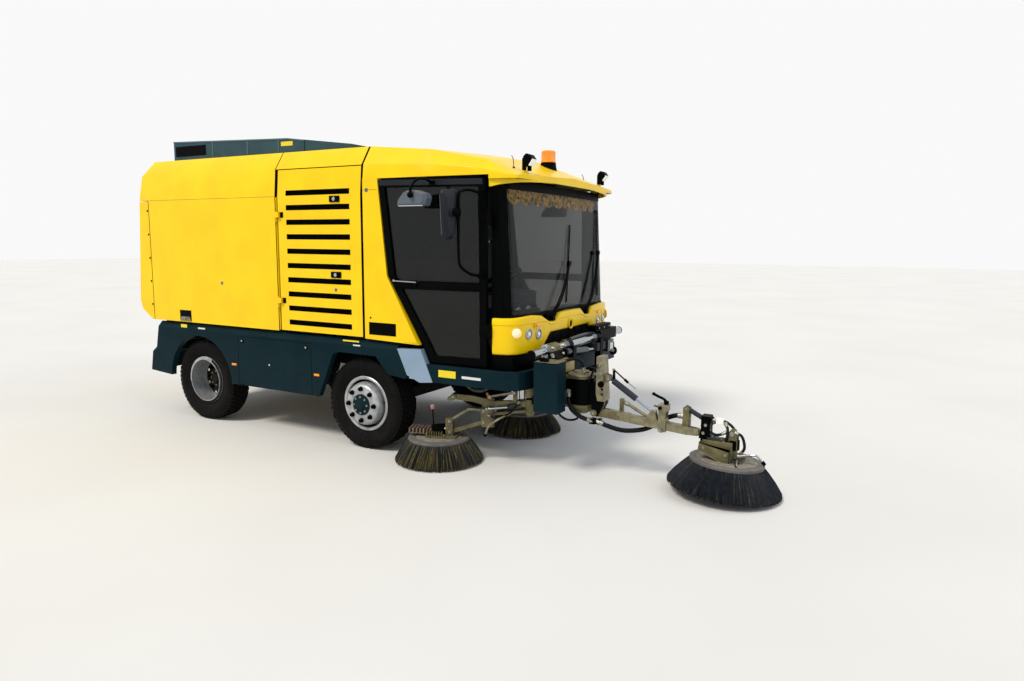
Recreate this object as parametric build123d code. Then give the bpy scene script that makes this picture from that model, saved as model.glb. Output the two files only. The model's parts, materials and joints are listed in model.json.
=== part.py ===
from build123d import *
import math
import os

# Compact street sweeper truck with a tipping hopper, two side brushes and a front brush on an arm.
# Lengths are millimetres. While it is built, X points forward from the front axle, Y to the left
# and Z up from the ground. The finished solids are moved so that the centre of the underside of
# their common box is the origin.

# Wheels and axles
wheelbase = 2055
tyre_radius = 398
tyre_width = 230
tyre_shoulder = 30
wheel_centre_y = 915
rim_seat_radius = 222
rim_flange_radius = 236
rim_width = 171
rim_wall = 10
rim_flange = 11
rim_disc = 12
front_disc_offset = 42
rear_disc_offset = -58
hub_radius = 100
hub_cap_radius = 52
spindle_radius = 30
hand_hole_radius = 17
hand_hole_circle = 172
hand_hole_count = 8
axle_height = tyre_radius
kingpin_y = 760
kingpin_radius = 22
kingpin_boss = 46
kingpin_boss_height = 96
yoke_thickness = 42
yoke_gap = 3
axle_beam_width = 90
axle_beam_height = 80
rear_tube_radius = 62
differential_radius = 160
steering_arm = 150
tie_rod_radius = 14
ball_pin_radius = 9

# Clearances
running_fit = 0.05
seat_gap = 0.3
panel_gap = 8
moving_gap = 6

# Ladder frame
rail_half = 330
rail_height = 170
rail_flange = 65
rail_wall = 9
rail_bottom = 575
rail_rear = -wheelbase - 595
rail_front = 1250
cross_member_width = 80
cross_member_height = 110
spring_half_length = 480
spring_width = 60
spring_leaf = 34
spring_camber = 85
outrigger_size = 44
mount_post = 70
cross_member_x = (rail_rear + 50, -1420, -300, 420, rail_front - 60)
outrigger_x = (rail_rear + 75, 510 - wheelbase, -560)
tow_eye_bore = 18
tow_plate_half = 45
tow_plate_thickness = 30
rear_tow_x = rail_rear - 212
rear_tow_z = 392
front_tow_x = 1662
front_tow_z = 590

# Body: hopper behind, engine housing in the middle, cab in front
body_half = 1070
body_bottom = 976
body_seam_z = 2170
body_knuckle_half = 1050
body_knuckle_z = 2410
body_edge_half = 950
body_edge_z = 2562
body_crown_z = 2600
body_wall = 45
body_rear = -wheelbase - 885
hopper_front = -945
tailgate_seam = -wheelbase - 667
rear_corner_rise = 130
rear_lean = 80
engine_rear = hopper_front + 10
engine_front = 42
cab_rear = 62

# Hopper tipping, tailgate and duct on the roof
tip_pin_x = tailgate_seam
tip_pin_z = 938
tip_pin_radius = 25
tip_lug_radius = 33
tip_lug_width = 40
tailgate_top = 2166
tailgate_hinge = (body_rear + 44, body_seam_z + 18)
tailgate_hinge_radius = 22
tailgate_pin_radius = 10
duct_half = 690
duct_rear = body_rear + 140
duct_top = 2795
duct_peak_x = -1150
duct_peak_z = 2735
duct_nose_x = -380
duct_nose_z = 2640
tip_anchor_x = tip_pin_x + 222
tip_anchor_z = 600
tip_anchor_ear = (36, 62)
tip_anchor_boss = 30
tip_anchor_pin_radius = 16
tip_eye_x = tip_pin_x + 472
tip_eye_z = 922
tip_barrel_radius = 42
tip_barrel_length = 376
tip_rod_radius = 25
tip_rod_start = 66
tip_clevis_half = 50
tip_eye_pin_radius = 14

# Engine side doors with their louvres
louvre_count = 10
louvre_height = 46
louvre_low = 1040
louvre_high = 2220
louvre_rear = -810
louvre_front = -80
louvre_depth = 26
engine_door_top = 2398
engine_door_thickness = 40
engine_hinge_out = 12
engine_hinge_size = 46
engine_hinge_heights = (1253, 2010)
engine_block_x = (-800, -170)
engine_block_half = 330
engine_block_z = (790, 1560)

# Skirts, sill and bumper
skirt_outer = body_half
skirt_thickness = 55
skirt_top = 959
skirt_bottom = 415
skirt_front = 396
skirt_bevel = 40
arch_radius = 447
sill_top = 812
sill_bottom = 668
sill_thickness = 45
apron_front = 1535
apron_rear = 640
corner_top = (635, 928)
corner_foot = (749, 668)
corner_gap = 0.4
bumper_half = body_half - 70
bumper_thickness = 42
# Rear edge of the side panels and the bumper: distance behind the rails, height
rear_edge = ((54, 790), (72, 690), (140, 640), (177, 441))

# Cab
cab_half = body_half
cab_front_half = cab_half - 85
cab_front = 1474
cab_bow = 14
cab_corner = 100
cab_door_top = 2290
cab_wall = 40
door_edge_top = 215
door_edge_knee = (301, 1508)
door_edge_low = (618, 961)
door_foot_x = 702
door_front = 1212
door_bottom = 824
door_thickness = 42
door_bar = 58
door_waist = 1440
door_waist_bar = 70
door_taper = 4.1
door_swing_out = 14
mirror_foot_x = 1162
glass_thickness = 7
hinge_pin_radius = 8
hinge_knuckle_radius = 15
cab_hinge_heights = (1120, 1980)
pillar_x = (1222, 1268)
pillar_depth = 62
pillar_half = cab_front_half - 36
cab_floor_z = 780
cab_step_x = 600
cab_step_z = 985
floor_sheet = 30
bulkhead_x = 1380
visor_base = 2258
windscreen_bottom = 1212
windscreen_top = 2250
windscreen_front = 1412
windscreen_half = 944
windscreen_lean = 58
front_panel_bottom = 925
front_panel_top = 1205
front_panel_wall = 32
grille_half_bottom = 470
grille_half_top = 375
grille_top = 1052
headlamp_radius = 44
headlamp_places = ((920, 1084), (742, 1064), (585, 1050))

# Lamps on the cab roof
beacon_place = (1225, 2574)
beacon_foot_radius = 72
beacon_radius = 66
work_lamp_x = (1352, 1420)
work_lamp_y = 745
work_lamp_half = 52
work_lamp_z = (2362, 2448)

# Seats, dashboard and steering wheel
seat_y = 430
seat_width = 470
seat_x = (330, 820)
seat_base_z = 1210
seat_cushion = 120
seat_back_top = 1960
dash_x = (1130, bulkhead_x - seat_gap)
dash_half = pillar_half - pillar_depth - 5
dash_z = (960, 1190)
steering_wheel_radius = 205
steering_wheel_grip = 15
steering_wheel_x = 985
steering_wheel_z = 1460
steering_wheel_tilt = -32

# Front carriage: transverse rail, cross beam, valve box and arm carriage
rail_tube_x = 1562
rail_tube_z = 940
rail_tube_radius = 35
rail_tube_half = 924
carrier_beam_x = (1395, 1505)
carrier_beam_z = (560, 650)
carrier_beam_half = 690
carrier_arm_y = 295
carrier_upright_x = (1590, 1645)
valve_box_x = (1600, 1800)
valve_box_y = (-963, -789)
valve_box_z = (512, 893)

# Side brush arms, in the arm's own frame: S runs back from the swing pin
swing_pin_x = 1450
swing_pin_y = 730
swing_pin_radius = 20
swing_sleeve_radius = 38
swing_sleeve_z = (430, 548)
right_arm_heading = 17.3
left_arm_heading = -41
link_front_s = 370
link_rear_s = 655
link_front_low_z = 345
link_rear_low_z = 246
link_spacing_z = 92
link_radius = 13
link_pin_radius = 9
side_brush_s = 755
side_disc_radius = 255
side_disc_z = 184
side_disc_thickness = 16
side_bristle_radius = 372
bristle_clear = 4
side_motor_radius = 62
side_motor_top = 290
fin_count = 7
fin_pitch = 20
fin_thickness = 7

# Front arm: rotary actuator, mast, boom, lift cylinder, head and brush
slew_x = 1840
slew_y = -600
slew_radius = 100
slew_drum_z = (546, 738)
slew_plate_thickness = 24
slew_pin_radius = 30
mast_plate_x = (1998, 2046)
mast_top = 930
mast_half = 62
boom_hinge_x = 1971
boom_hinge_z = 487
boom_end_x = 2752
boom_end_z = 431
boom_width = 62
boom_height = 58
boom_pin_radius = 14
cheek_thickness = 14
cheek_gap = 3
lift_pin_x = 2075
lift_pin_z = 761
lift_eye_x = 2422
lift_eye_z = 539
lift_barrel_radius = 24
lift_rod_radius = 11
lift_barrel_length = 256
lift_rod_start = 176
lift_pin_radius = 9
lift_eye_half = 13.5
front_brush_x = 2955
front_brush_y = -575
front_brush_pitch = 4.0
front_brush_roll = -2.5
front_disc_radius = 275
front_disc_height = 196
front_disc_thickness = 18
front_bristle_radius = 420

# Suction nozzle and its duct
nozzle_x = (-985, -480)
nozzle_half = 360
nozzle_top = 190
nozzle_clear = 12
nozzle_wall = 12
suction_radius = 120
suction_wall = 8
suction_low_x = -850
suction_high_x = -1120


def block(x, y, z):
    """Block between three pairs of limits."""
    size = Box(x[1] - x[0], y[1] - y[0], z[1] - z[0])
    return Pos((x[0] + x[1]) / 2, (y[0] + y[1]) / 2, (z[0] + z[1]) / 2) * size


def side_plate(outline, low, high):
    """Outline of (x, z) points, solid from y = low to y = high."""
    face = make_face(Polyline(*[(x, low, z) for x, z in outline], close=True))
    return extrude(face, amount=high - low, dir=(0, 1, 0))


def cross_plate(outline, low, high):
    """Outline of (y, z) points, solid from x = low to x = high."""
    face = make_face(Polyline(*[(low, y, z) for y, z in outline], close=True))
    return extrude(face, amount=high - low, dir=(1, 0, 0))


def plan_plate(outline, low, high):
    """Outline of (x, y) points, solid from z = low to z = high."""
    face = make_face(Polyline(*[(x, y, low) for x, y in outline], close=True))
    return extrude(face, amount=high - low, dir=(0, 0, 1))


def rod(start, end, radius):
    """Round bar between two points."""
    along = Vector(*end) - Vector(*start)
    return extrude(Plane(origin=start, z_dir=along) * Circle(radius), amount=along.length)


def bar(start, end, width, height):
    """Rectangular bar between two points, its width level."""
    along = Vector(*end) - Vector(*start)
    level = Vector(0, 0, 1).cross(along)
    section = Plane(origin=start, x_dir=level, z_dir=along) * Rectangle(width, height)
    return extrude(section, amount=along.length)


def other_side(shape):
    """The same piece on the opposite side of the truck."""
    return mirror(shape, about=Plane.XZ)


def both_sides(shape):
    """Piece and its mirror image as separate solids of one node."""
    return shape + other_side(shape)


def turned(outline, outer_side):
    """Outline of (radius, along) points turned about the wheel axis, outer side to the left."""
    face = make_face(Polyline(*[(r, 0, a) for r, a in outline], close=True))
    ring = Rot(-90, 0, 0) * revolve(face, Axis.Z)
    return ring if outer_side > 0 else other_side(ring)


def tyre(place, outer_side):
    """Tyre with rounded shoulders, its bead seated on the rim."""
    bead = rim_width / 2 - seat_gap
    seat = rim_seat_radius + seat_gap
    half = tyre_width / 2
    edge = tyre_radius - tyre_shoulder
    sidewall_low = rim_flange_radius + 6
    crown_drop = 4
    side = [(seat, bead), (sidewall_low, bead)]
    upper = ThreePointArc((sidewall_low, 0, bead), ((sidewall_low + edge) / 2, 0, half - 2), (edge, 0, half - 4))
    shoulder = ThreePointArc(
        (edge, 0, half - 4),
        (tyre_radius - tyre_shoulder * 0.32, 0, half - tyre_shoulder * 0.36),
        (tyre_radius - crown_drop, 0, half - tyre_shoulder),
    )
    tread = ThreePointArc(
        (tyre_radius - crown_drop, 0, half - tyre_shoulder),
        (tyre_radius, 0, 0),
        (tyre_radius - crown_drop, 0, tyre_shoulder - half),
    )
    outer = [Line((side[0][0], 0, side[0][1]), (side[1][0], 0, side[1][1])), upper, shoulder]
    inner = [mirror(curve, about=Plane.XY) for curve in outer]
    closing = Line((seat, 0, -bead), (seat, 0, bead))
    face = make_face([edge for curve in (closing, *outer, tread, *inner) for edge in curve.edges()])
    ring = Rot(-90, 0, 0) * revolve(face, Axis.Z)
    return Pos(*place) * (ring if outer_side > 0 else other_side(ring))


def rim(place, outer_side, disc_offset, front):
    """Steel rim with its disc, hand holes and hub."""
    half = rim_width / 2
    inside = rim_seat_radius - rim_wall
    barrel = turned(
        [
            (inside, -half - rim_flange), (rim_flange_radius, -half - rim_flange),
            (rim_flange_radius, -half), (rim_seat_radius, -half), (rim_seat_radius, half),
            (rim_flange_radius, half), (rim_flange_radius, half + rim_flange), (inside, half + rim_flange),
        ],
        outer_side,
    )
    well = inside - 26
    disc = turned(
        [
            (hub_radius - 20, disc_offset), (well, disc_offset), (inside + 1, disc_offset - 22),
            (inside + 1, disc_offset - 22 - rim_disc), (well - 4, disc_offset - rim_disc),
            (hub_radius - 20, disc_offset - rim_disc),
        ],
        outer_side,
    )
    bore = spindle_radius + running_fit
    depth = 62
    hub_face = disc_offset + (16 if front else 34)
    cap = hub_face + 24
    hub = turned(
        [
            (bore, disc_offset - depth), (hub_radius - 12, disc_offset - depth), (hub_radius, disc_offset - rim_disc),
            (hub_radius, hub_face - 8), (hub_radius - 10, hub_face), (hub_cap_radius, hub_face),
            (hub_cap_radius - 6, cap), (0, cap), (0, cap - 14), (bore, cap - 14),
        ],
        outer_side,
    )
    wheel = barrel + disc + hub
    for index in range(hand_hole_count):
        angle = math.radians(360 / hand_hole_count * (index + 0.5))
        x = hand_hole_circle * math.cos(angle)
        z = hand_hole_circle * math.sin(angle)
        reach = rim_width
        wheel -= rod((x, -reach, z), (x, reach, z), hand_hole_radius)
    return Pos(*place) * wheel


def front_axle():
    """Beam with its kingpin bosses, and the leaf springs that carry the frame."""
    low = axle_height - axle_beam_height / 2
    high = axle_height + axle_beam_height / 2
    beam = block((-axle_beam_width / 2, axle_beam_width / 2), (-kingpin_y, kingpin_y), (low, high))
    boss_low = axle_height - kingpin_boss_height / 2
    for side in (-1, 1):
        boss = rod((0, side * kingpin_y, boss_low), (0, side * kingpin_y, boss_low + kingpin_boss_height), kingpin_boss)
        beam += boss
        beam += leaf_spring(0, side, high)
    for side in (-1, 1):
        pin_hole = kingpin_radius + running_fit
        beam -= rod((0, side * kingpin_y, low - 90), (0, side * kingpin_y, high + 90), pin_hole)
    return beam


def leaf_spring(x, side, seat):
    """Leaf spring over an axle, with its seat block and eyes."""
    y = side * (rail_half - rail_flange / 2)
    low = seat + 14
    top = low + spring_camber
    outline = [
        (x - spring_half_length, top), (x - 70, low), (x + 70, low), (x + spring_half_length, top),
        (x + spring_half_length, top + spring_leaf * 0.4), (x + 70, low + spring_leaf),
        (x - 70, low + spring_leaf), (x - spring_half_length, top + spring_leaf * 0.4),
    ]
    leaves = side_plate(outline, y - spring_width / 2, y + spring_width / 2)
    leaves += block((x - 62, x + 62), (y - spring_width / 2 - 8, y + spring_width / 2 + 8), (seat - 6, low + 8))
    return leaves


def rear_axle():
    """Drive axle: tube, differential housing, wheel spindles and leaf springs."""
    x = -wheelbase
    reach = wheel_centre_y + rear_disc_offset - 70
    axle = rod((x, -reach, axle_height), (x, reach, axle_height), rear_tube_radius)
    axle += Pos(x, 0, axle_height) * Sphere(differential_radius)
    axle += rod((x - 190, 0, axle_height), (x + 230, 0, axle_height), 95)
    spindle = wheel_centre_y + rear_disc_offset + 40
    axle += rod((x, -spindle, axle_height), (x, spindle, axle_height), spindle_radius)
    for side in (-1, 1):
        axle += leaf_spring(x, side, axle_height + rear_tube_radius)
        y = side * (rail_half - rail_flange / 2)
        axle += block((x - 60, x + 60), (y - 38, y + 38), (axle_height, axle_height + rear_tube_radius + 4))
    return axle


def knuckle(side):
    """Steering knuckle: kingpin, yoke round the beam end, spindle and steering arm."""
    y = side * kingpin_y
    boss_low = axle_height - kingpin_boss_height / 2
    boss_high = axle_height + kingpin_boss_height / 2
    yoke_low = boss_low - yoke_gap - yoke_thickness
    yoke_high = boss_high + yoke_gap + yoke_thickness
    piece = rod((0, y, yoke_low), (0, y, yoke_high), kingpin_radius)
    back = kingpin_y + kingpin_boss + yoke_gap
    for low, high in ((yoke_low, boss_low - yoke_gap), (boss_high + yoke_gap, yoke_high)):
        piece += rod((0, y, low), (0, y, high), kingpin_boss)
        piece += block((-kingpin_boss, kingpin_boss), sorted((y, side * (back + 18))), (low, high))
    piece += block((-kingpin_boss, kingpin_boss), sorted((side * back, side * (back + 18))), (yoke_low, yoke_high))
    tip = wheel_centre_y + front_disc_offset + 20
    piece += rod((0, side * back, axle_height), (0, side * tip, axle_height), spindle_radius)
    arm_low = yoke_low
    arm_end = (-steering_arm, y)
    piece += bar((0, y, arm_low + 12), (*arm_end, arm_low + 12), 44, 24)
    piece += rod((*arm_end, arm_low), (*arm_end, arm_low + 24), 24)
    piece += rod((*arm_end, arm_low - 34), (*arm_end, arm_low + 10), ball_pin_radius)
    return piece


def tie_rod():
    """Rod between the steering arms; its left eye is open by the clearance of a ball joint."""
    z = axle_height - kingpin_boss_height / 2 - yoke_gap - yoke_thickness - 20
    y = kingpin_y
    link = rod((-steering_arm, -y, z), (-steering_arm, y, z), tie_rod_radius)
    for side, hole in ((-1, ball_pin_radius + running_fit), (1, ball_pin_radius + 4)):
        link += rod((-steering_arm, side * y, z - 15), (-steering_arm, side * y, z + 15), 26)
        link -= rod((-steering_arm, side * y, z - 20), (-steering_arm, side * y, z + 20), hole)
    return link


def chassis_frame():
    """Ladder frame: two channel rails and the members bolted between, outside, above and below them."""
    top = rail_bottom + rail_height
    section = [
        (rail_half, rail_bottom), (rail_half, top), (rail_half - rail_flange, top),
        (rail_half - rail_flange, top - rail_wall), (rail_half - rail_wall, top - rail_wall),
        (rail_half - rail_wall, rail_bottom + rail_wall), (rail_half - rail_flange, rail_bottom + rail_wall),
        (rail_half - rail_flange, rail_bottom),
    ]
    frame = both_sides(cross_plate(section, rail_rear, rail_front))
    middle = rail_bottom + rail_height / 2
    low = middle - cross_member_height / 2
    high = middle + cross_member_height / 2
    inner = rail_half - rail_wall - seat_gap
    half = cross_member_width / 2
    members = [block((x - half, x + half), (-inner, inner), (low, high)) for x in cross_member_x]
    members[0] += tip_anchor(cross_member_x[0] + half, low)
    for member in members:
        frame += member
    reach = skirt_outer - skirt_thickness - seat_gap
    half = outrigger_size / 2
    for x in outrigger_x:
        beam = block((x - half, x + half), (rail_half + seat_gap, reach), (top - outrigger_size, top))
        frame += both_sides(beam)
    on_rail = (rail_half - rail_flange, rail_half)
    for axle_x, seat in ((0, axle_height + axle_beam_height / 2), (-wheelbase, axle_height + rear_tube_radius)):
        eye = seat + 14 + spring_camber + spring_leaf * 0.4
        for end in (-1, 1):
            x = axle_x + end * (spring_half_length - 24)
            frame += both_sides(block((x - 26, x + 26), on_rail, (eye + seat_gap, rail_bottom - seat_gap)))
    half = mount_post / 2
    for x in (rail_rear + 200, hopper_front - 60, engine_rear + 20, engine_front - 30):
        frame += both_sides(block((x - half, x + half), on_rail, (top + seat_gap, body_bottom - seat_gap)))
    for x in (-700, -260):
        frame += both_sides(block((x - 40, x + 40), on_rail, (top + seat_gap, engine_block_z[0] - seat_gap)))
    hanger = block(
        (rail_rear + 20, rail_rear + 50), (-tow_plate_half, tow_plate_half), (rear_tow_z, low - seat_gap),
    )
    frame += tow_plate(rail_rear + 50, rear_tow_x, rear_tow_z) + hanger
    return frame + tip_ears(top + seat_gap)


def tip_anchor(front, low):
    """Clevis on the front of the rear cross member, with the foot pin of the tipping cylinder."""
    x, z = tip_anchor_x, tip_anchor_z
    reach = tip_anchor_ear[1]
    anchor = rod((x, -reach, z), (x, reach, z), tip_anchor_pin_radius)
    outline = [
        (front - 1, low + 2), (front - 1, low + 40), (x, z + tip_anchor_boss), (x, z - tip_anchor_boss),
        (front + 10, z - tip_anchor_boss),
    ]
    for side in (-1, 1):
        near, far = sorted((side * tip_anchor_ear[0], side * tip_anchor_ear[1]))
        anchor += rod((x, near, z), (x, far, z), tip_anchor_boss) + side_plate(outline, near, far)
    return anchor


def tow_plate(root, eye, low):
    """Recovery plate with an upright eye near its round end."""
    high = low + tow_plate_thickness
    plate = block(sorted((root, eye)), (-tow_plate_half, tow_plate_half), (low, high))
    plate += rod((eye, 0, low), (eye, 0, high), tow_plate_half)
    return plate - rod((eye, 0, low - 5), (eye, 0, high + 5), tow_eye_bore)


def tip_ears(top):
    """Ears at the rear of the rails that hold the hopper's tipping pins."""
    outline = [
        (rail_rear + 4, top), (rail_rear + 130, top), (tip_pin_x + 60, tip_pin_z + 10),
        (tip_pin_x, tip_pin_z + 31), (tip_pin_x - 31, tip_pin_z), (tip_pin_x - 10, tip_pin_z - 31),
    ]
    ear = side_plate(outline, rail_half - 32, rail_half)
    ear += rod((tip_pin_x, rail_half - 30, tip_pin_z), (tip_pin_x, rail_half + tip_lug_width + 8, tip_pin_z), tip_pin_radius)
    return ear + other_side(ear)


def body_section(inset):
    """Half width and height points of the body's cross section, moved inwards by inset."""
    low = body_bottom + inset
    half = body_half - inset
    right = [
        (half, low), (half, body_seam_z), (body_knuckle_half - inset, body_knuckle_z - inset * 0.2),
        (body_edge_half - inset * 0.8, body_edge_z - inset),
    ]
    crown = [(0, body_crown_z - inset)]
    left = [(-y, z) for y, z in reversed(right)]
    return right + crown + left


def hopper_profile(inset):
    """Side outline of the hopper from its front wall round the rear corners."""
    low = body_bottom + inset
    top = body_crown_z + 60
    return [
        (hopper_front - inset, low), (tip_pin_x - 40 + inset * 0.5, low),
        (body_rear + 30 + inset, body_bottom + rear_corner_rise * 0.75 + inset * 0.6),
        (body_rear + inset, body_bottom + rear_corner_rise + 60),
        (body_rear + rear_lean + inset, body_seam_z), (body_rear + rear_lean + 35 + inset, body_knuckle_z),
        (body_rear + rear_lean + 120 + inset, body_edge_z + 20 - inset),
        (body_rear + rear_lean + 190 + inset, top if inset == 0 else body_crown_z - inset),
        (hopper_front - inset, top if inset == 0 else body_crown_z - inset),
    ]


def hopper_form(inset):
    """Solid form of hopper and tailgate together, moved inwards by inset."""
    long = cross_plate(body_section(inset), body_rear - 10, hopper_front - inset)
    return long & side_plate(hopper_profile(inset), -body_half - 10, body_half + 10)


def hopper_body():
    """Hopper shell, open at the rear, with its suction inlet and tipping lugs."""
    shell = hopper_form(0) - hopper_form(body_wall)
    shell -= tailgate_space(panel_gap / 2)
    inlet = rod((suction_high_x, 0, body_bottom - 60), (suction_high_x, 0, body_bottom + 80), suction_radius)
    shell -= inlet
    lug_y = rail_half + 6
    lug = rod((tip_pin_x, lug_y, tip_pin_z), (tip_pin_x, lug_y + tip_lug_width, tip_pin_z), tip_lug_radius)
    lug += side_plate(
        [
            (tip_pin_x + 8, tip_pin_z + 8), (tip_pin_x + 34, tip_pin_z - 20), (tip_pin_x + 190, body_bottom + 2),
            (tip_pin_x + 12, body_bottom + 2),
        ],
        lug_y, lug_y + tip_lug_width,
    )
    lug -= rod((tip_pin_x, lug_y - 4, tip_pin_z), (tip_pin_x, lug_y + tip_lug_width + 4, tip_pin_z), tip_pin_radius + running_fit)
    shell += lug + other_side(lug)
    for side in (-1, 1):
        inner = side * tip_clevis_half
        outer = side * (tip_clevis_half + 18)
        eye = block(
            (tip_eye_x - 40, tip_eye_x + 40), sorted((inner, outer)), (tip_eye_z - 4, body_bottom - seat_gap),
        )
        eye += rod((tip_eye_x, inner, tip_eye_z), (tip_eye_x, outer, tip_eye_z), 32)
        eye += rod((tip_eye_x, inner, tip_eye_z), (tip_eye_x, outer + side * 8, tip_eye_z), tip_eye_pin_radius)
        shell += eye
    x, z = tailgate_hinge
    for y in (-620, 620):
        for offset in (-50, 30):
            shell += rod((x, y + offset, z), (x, y + offset + 20, z), tailgate_hinge_radius)
            shell += side_plate(
                [
                    (x, z - 10), (x - 10, z + 18), (x + 30, z + 90), (x + 70, z + 90), (x + 70, z + 10),
                ],
                y + offset, y + offset + 20,
            )
        shell += rod((x, y - 50, z), (x, y + 50, z), tailgate_pin_radius)
    return shell


def tailgate_space(gap):
    """Room of the tailgate: behind the vertical seam and below the horizontal one, less a gap."""
    return block((body_rear - 60, tailgate_seam + gap), (-body_half - 20, body_half + 20), (0, tailgate_top + gap))


def tailgate():
    """Dished rear door, hung from hinges below the hopper's rear cap."""
    shell = hopper_form(0) - hopper_form(body_wall)
    shell &= tailgate_space(-panel_gap / 2)
    x, z = tailgate_hinge
    for y in (-620, 620):
        strap = rod((x, y - 26, z), (x, y + 26, z), tailgate_hinge_radius)
        strap += side_plate(
            [
                (x - 14, z + 10), (x + 14, z - 10), (x + 40, z - 40), (x + 40, z - 160), (x - 20, z - 160), (x - 22, z),
            ],
            y - 26, y + 26,
        )
        shell += strap
        shell -= rod((x, y - 30, z), (x, y + 30, z), tailgate_pin_radius + running_fit)
    return shell


def roof_duct(rear, front, seat):
    """Low duct along the roof between two stations, from its seat up to the ramp line."""
    ramp = [(duct_rear, duct_top), (duct_peak_x, duct_peak_z), (duct_nose_x, duct_nose_z)]

    def height(x):
        for (x0, z0), (x1, z1) in zip(ramp, ramp[1:]):
            if x <= x1:
                return z0 + (z1 - z0) * (x - x0) / (x1 - x0)
        return ramp[-1][1]

    stations = [rear] + [x for x, z in ramp if rear < x < front] + [front]
    outline = [(x, height(x)) for x in stations]
    outline += [(front, seat), (rear, seat)]
    return side_plate(outline, -duct_half, duct_half)


def engine_housing():
    """Fixed frame of the engine bay: roof, bulkheads and door hinge pins."""
    ends = (engine_rear, engine_front)
    roof = cross_plate(body_section(0), *ends) - cross_plate(body_section(body_wall), ends[0] - 1, ends[1] + 1)
    roof &= block(ends, (-body_half, body_half), (engine_door_top + panel_gap, body_crown_z + 10))
    bay_half = body_half - engine_door_thickness - panel_gap
    for low, high in ((ends[0], ends[0] + 30), (ends[1] - 30, ends[1])):
        wall = cross_plate(body_section(engine_door_thickness + panel_gap), low, high)
        wall += block((low, high), (-rail_half - 60, rail_half + 60), (body_bottom, body_bottom + engine_door_thickness + 30))
        wall += cross_plate(body_section(20), low, high) & block(
            (low, high), (-body_half, body_half), (engine_door_top + panel_gap, body_crown_z),
        )
        roof += wall
    for side in (-1, 1):
        for z in engine_hinge_heights:
            y = side * (body_half + engine_hinge_out)
            x = engine_rear + 4
            post = block((x - 2, x + 22), sorted((side * (bay_half - 4), side * (bay_half + 30))), (z - 60, z - 36))
            post += block((x - 12, x + 12), sorted((side * (bay_half + 20), y)), (z - 60, z - 36))
            post += rod((x, y, z - 60), (x, y, z + 34), hinge_pin_radius)
            post += rod((x, y, z - 60), (x, y, z - 36), hinge_knuckle_radius)
            roof += post
    return roof + roof_duct(engine_rear, duct_nose_x, body_crown_z - 20)


def engine_door(side):
    """Side door of the engine bay with ten louvre slots and two latches."""
    low = body_half - engine_door_thickness
    front = engine_front - 4
    rear = engine_rear + 26
    door = cross_plate(body_section(0), rear, front) - cross_plate(body_section(engine_door_thickness), rear - 1, front + 1)
    door &= block((rear, front), (body_half - 140, body_half + 1), (body_bottom + 10, engine_door_top))
    pitch = (louvre_high - louvre_low - louvre_height) / (louvre_count - 1)
    for index in range(louvre_count):
        base = louvre_low + pitch * index
        door -= block((louvre_rear, louvre_front), (body_half - louvre_depth, body_half + 5), (base, base + louvre_height))
    for z in (1500, 2135):
        door += block((-290, -190), (body_half - 2, body_half + 9), (z - 22, z + 22))
    axis_x = engine_rear + 4
    axis_y = body_half + engine_hinge_out
    for z in engine_hinge_heights:
        half = engine_hinge_size / 2
        ring = rod((axis_x, axis_y, z - 34), (axis_x, axis_y, z + 34), hinge_knuckle_radius)
        ring += block((axis_x, rear + 30), (body_half - 1, axis_y + hinge_knuckle_radius), (z - half, z + half))
        door += ring
        door -= rod((axis_x, axis_y, z - 40), (axis_x, axis_y, z + 40), hinge_pin_radius + running_fit)
        door -= block((rear - 60, axis_x + 16), (low - 20, body_half + engine_hinge_out + 20), (z - 66, z - 34.3))
    return door if side > 0 else other_side(door)


def side_skirts():
    """Lower side panels with both wheel arches, one solid on each side."""
    outline = [
        (rail_rear - 15, skirt_top), *[(rail_rear - back, z) for back, z in rear_edge[1:]],
        (rail_rear + 170, skirt_bottom), (-484, skirt_bottom), (-306, 809), (-249, 836), (166, 832),
        (300, 690), (472, 669), (493, 704), (skirt_front, 917), (skirt_front, skirt_top),
    ]
    inner = skirt_outer - skirt_thickness
    panel = side_plate(outline, inner, skirt_outer)
    panel -= rod((-wheelbase, inner - 10, axle_height), (-wheelbase, skirt_outer + 10, axle_height), arch_radius)
    bevel = cross_plate(
        [
            (skirt_outer - skirt_bevel, skirt_top + 5), (skirt_outer + 5, skirt_top + 5),
            (skirt_outer + 5, skirt_top - 1.3 * skirt_bevel), (skirt_outer, skirt_top - 1.3 * skirt_bevel),
        ],
        body_rear, cab_front,
    )
    panel -= bevel
    return both_sides(panel)


def corner_panels():
    """Pale corner panels between skirt and sill."""
    outline = [
        (skirt_front + seat_gap, 917), corner_top, corner_foot, (623, 654), (495, 704),
    ]
    return side_plate(outline, skirt_outer - skirt_thickness, skirt_outer + 4)


def front_apron():
    """Sill and apron that wrap round the cab's foot."""
    outer = [
        (apron_rear, skirt_outer + 2), (1400, skirt_outer - 8), (apron_front - 40, 1005), (apron_front, 900),
    ]
    inner = [
        (apron_front - sill_thickness, 880), (1470, 975), (1385, 1015), (apron_rear, skirt_outer - sill_thickness),
    ]
    plan = outer + [(x, -y) for x, y in reversed(outer)] + [(x, -y) for x, y in reversed(inner)] + inner
    apron = plan_plate(plan, sill_bottom, sill_top)
    cut = [
        (corner_top[0] + corner_gap, corner_top[1]), (corner_foot[0] + corner_gap, corner_foot[1]),
        (corner_foot[0] + corner_gap, sill_bottom - 10), (apron_rear - 10, sill_bottom - 10), (apron_rear - 10, corner_top[1]),
    ]
    apron -= side_plate(cut, -skirt_outer - 10, skirt_outer + 10)
    return apron + both_sides(corner_panels())


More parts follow.
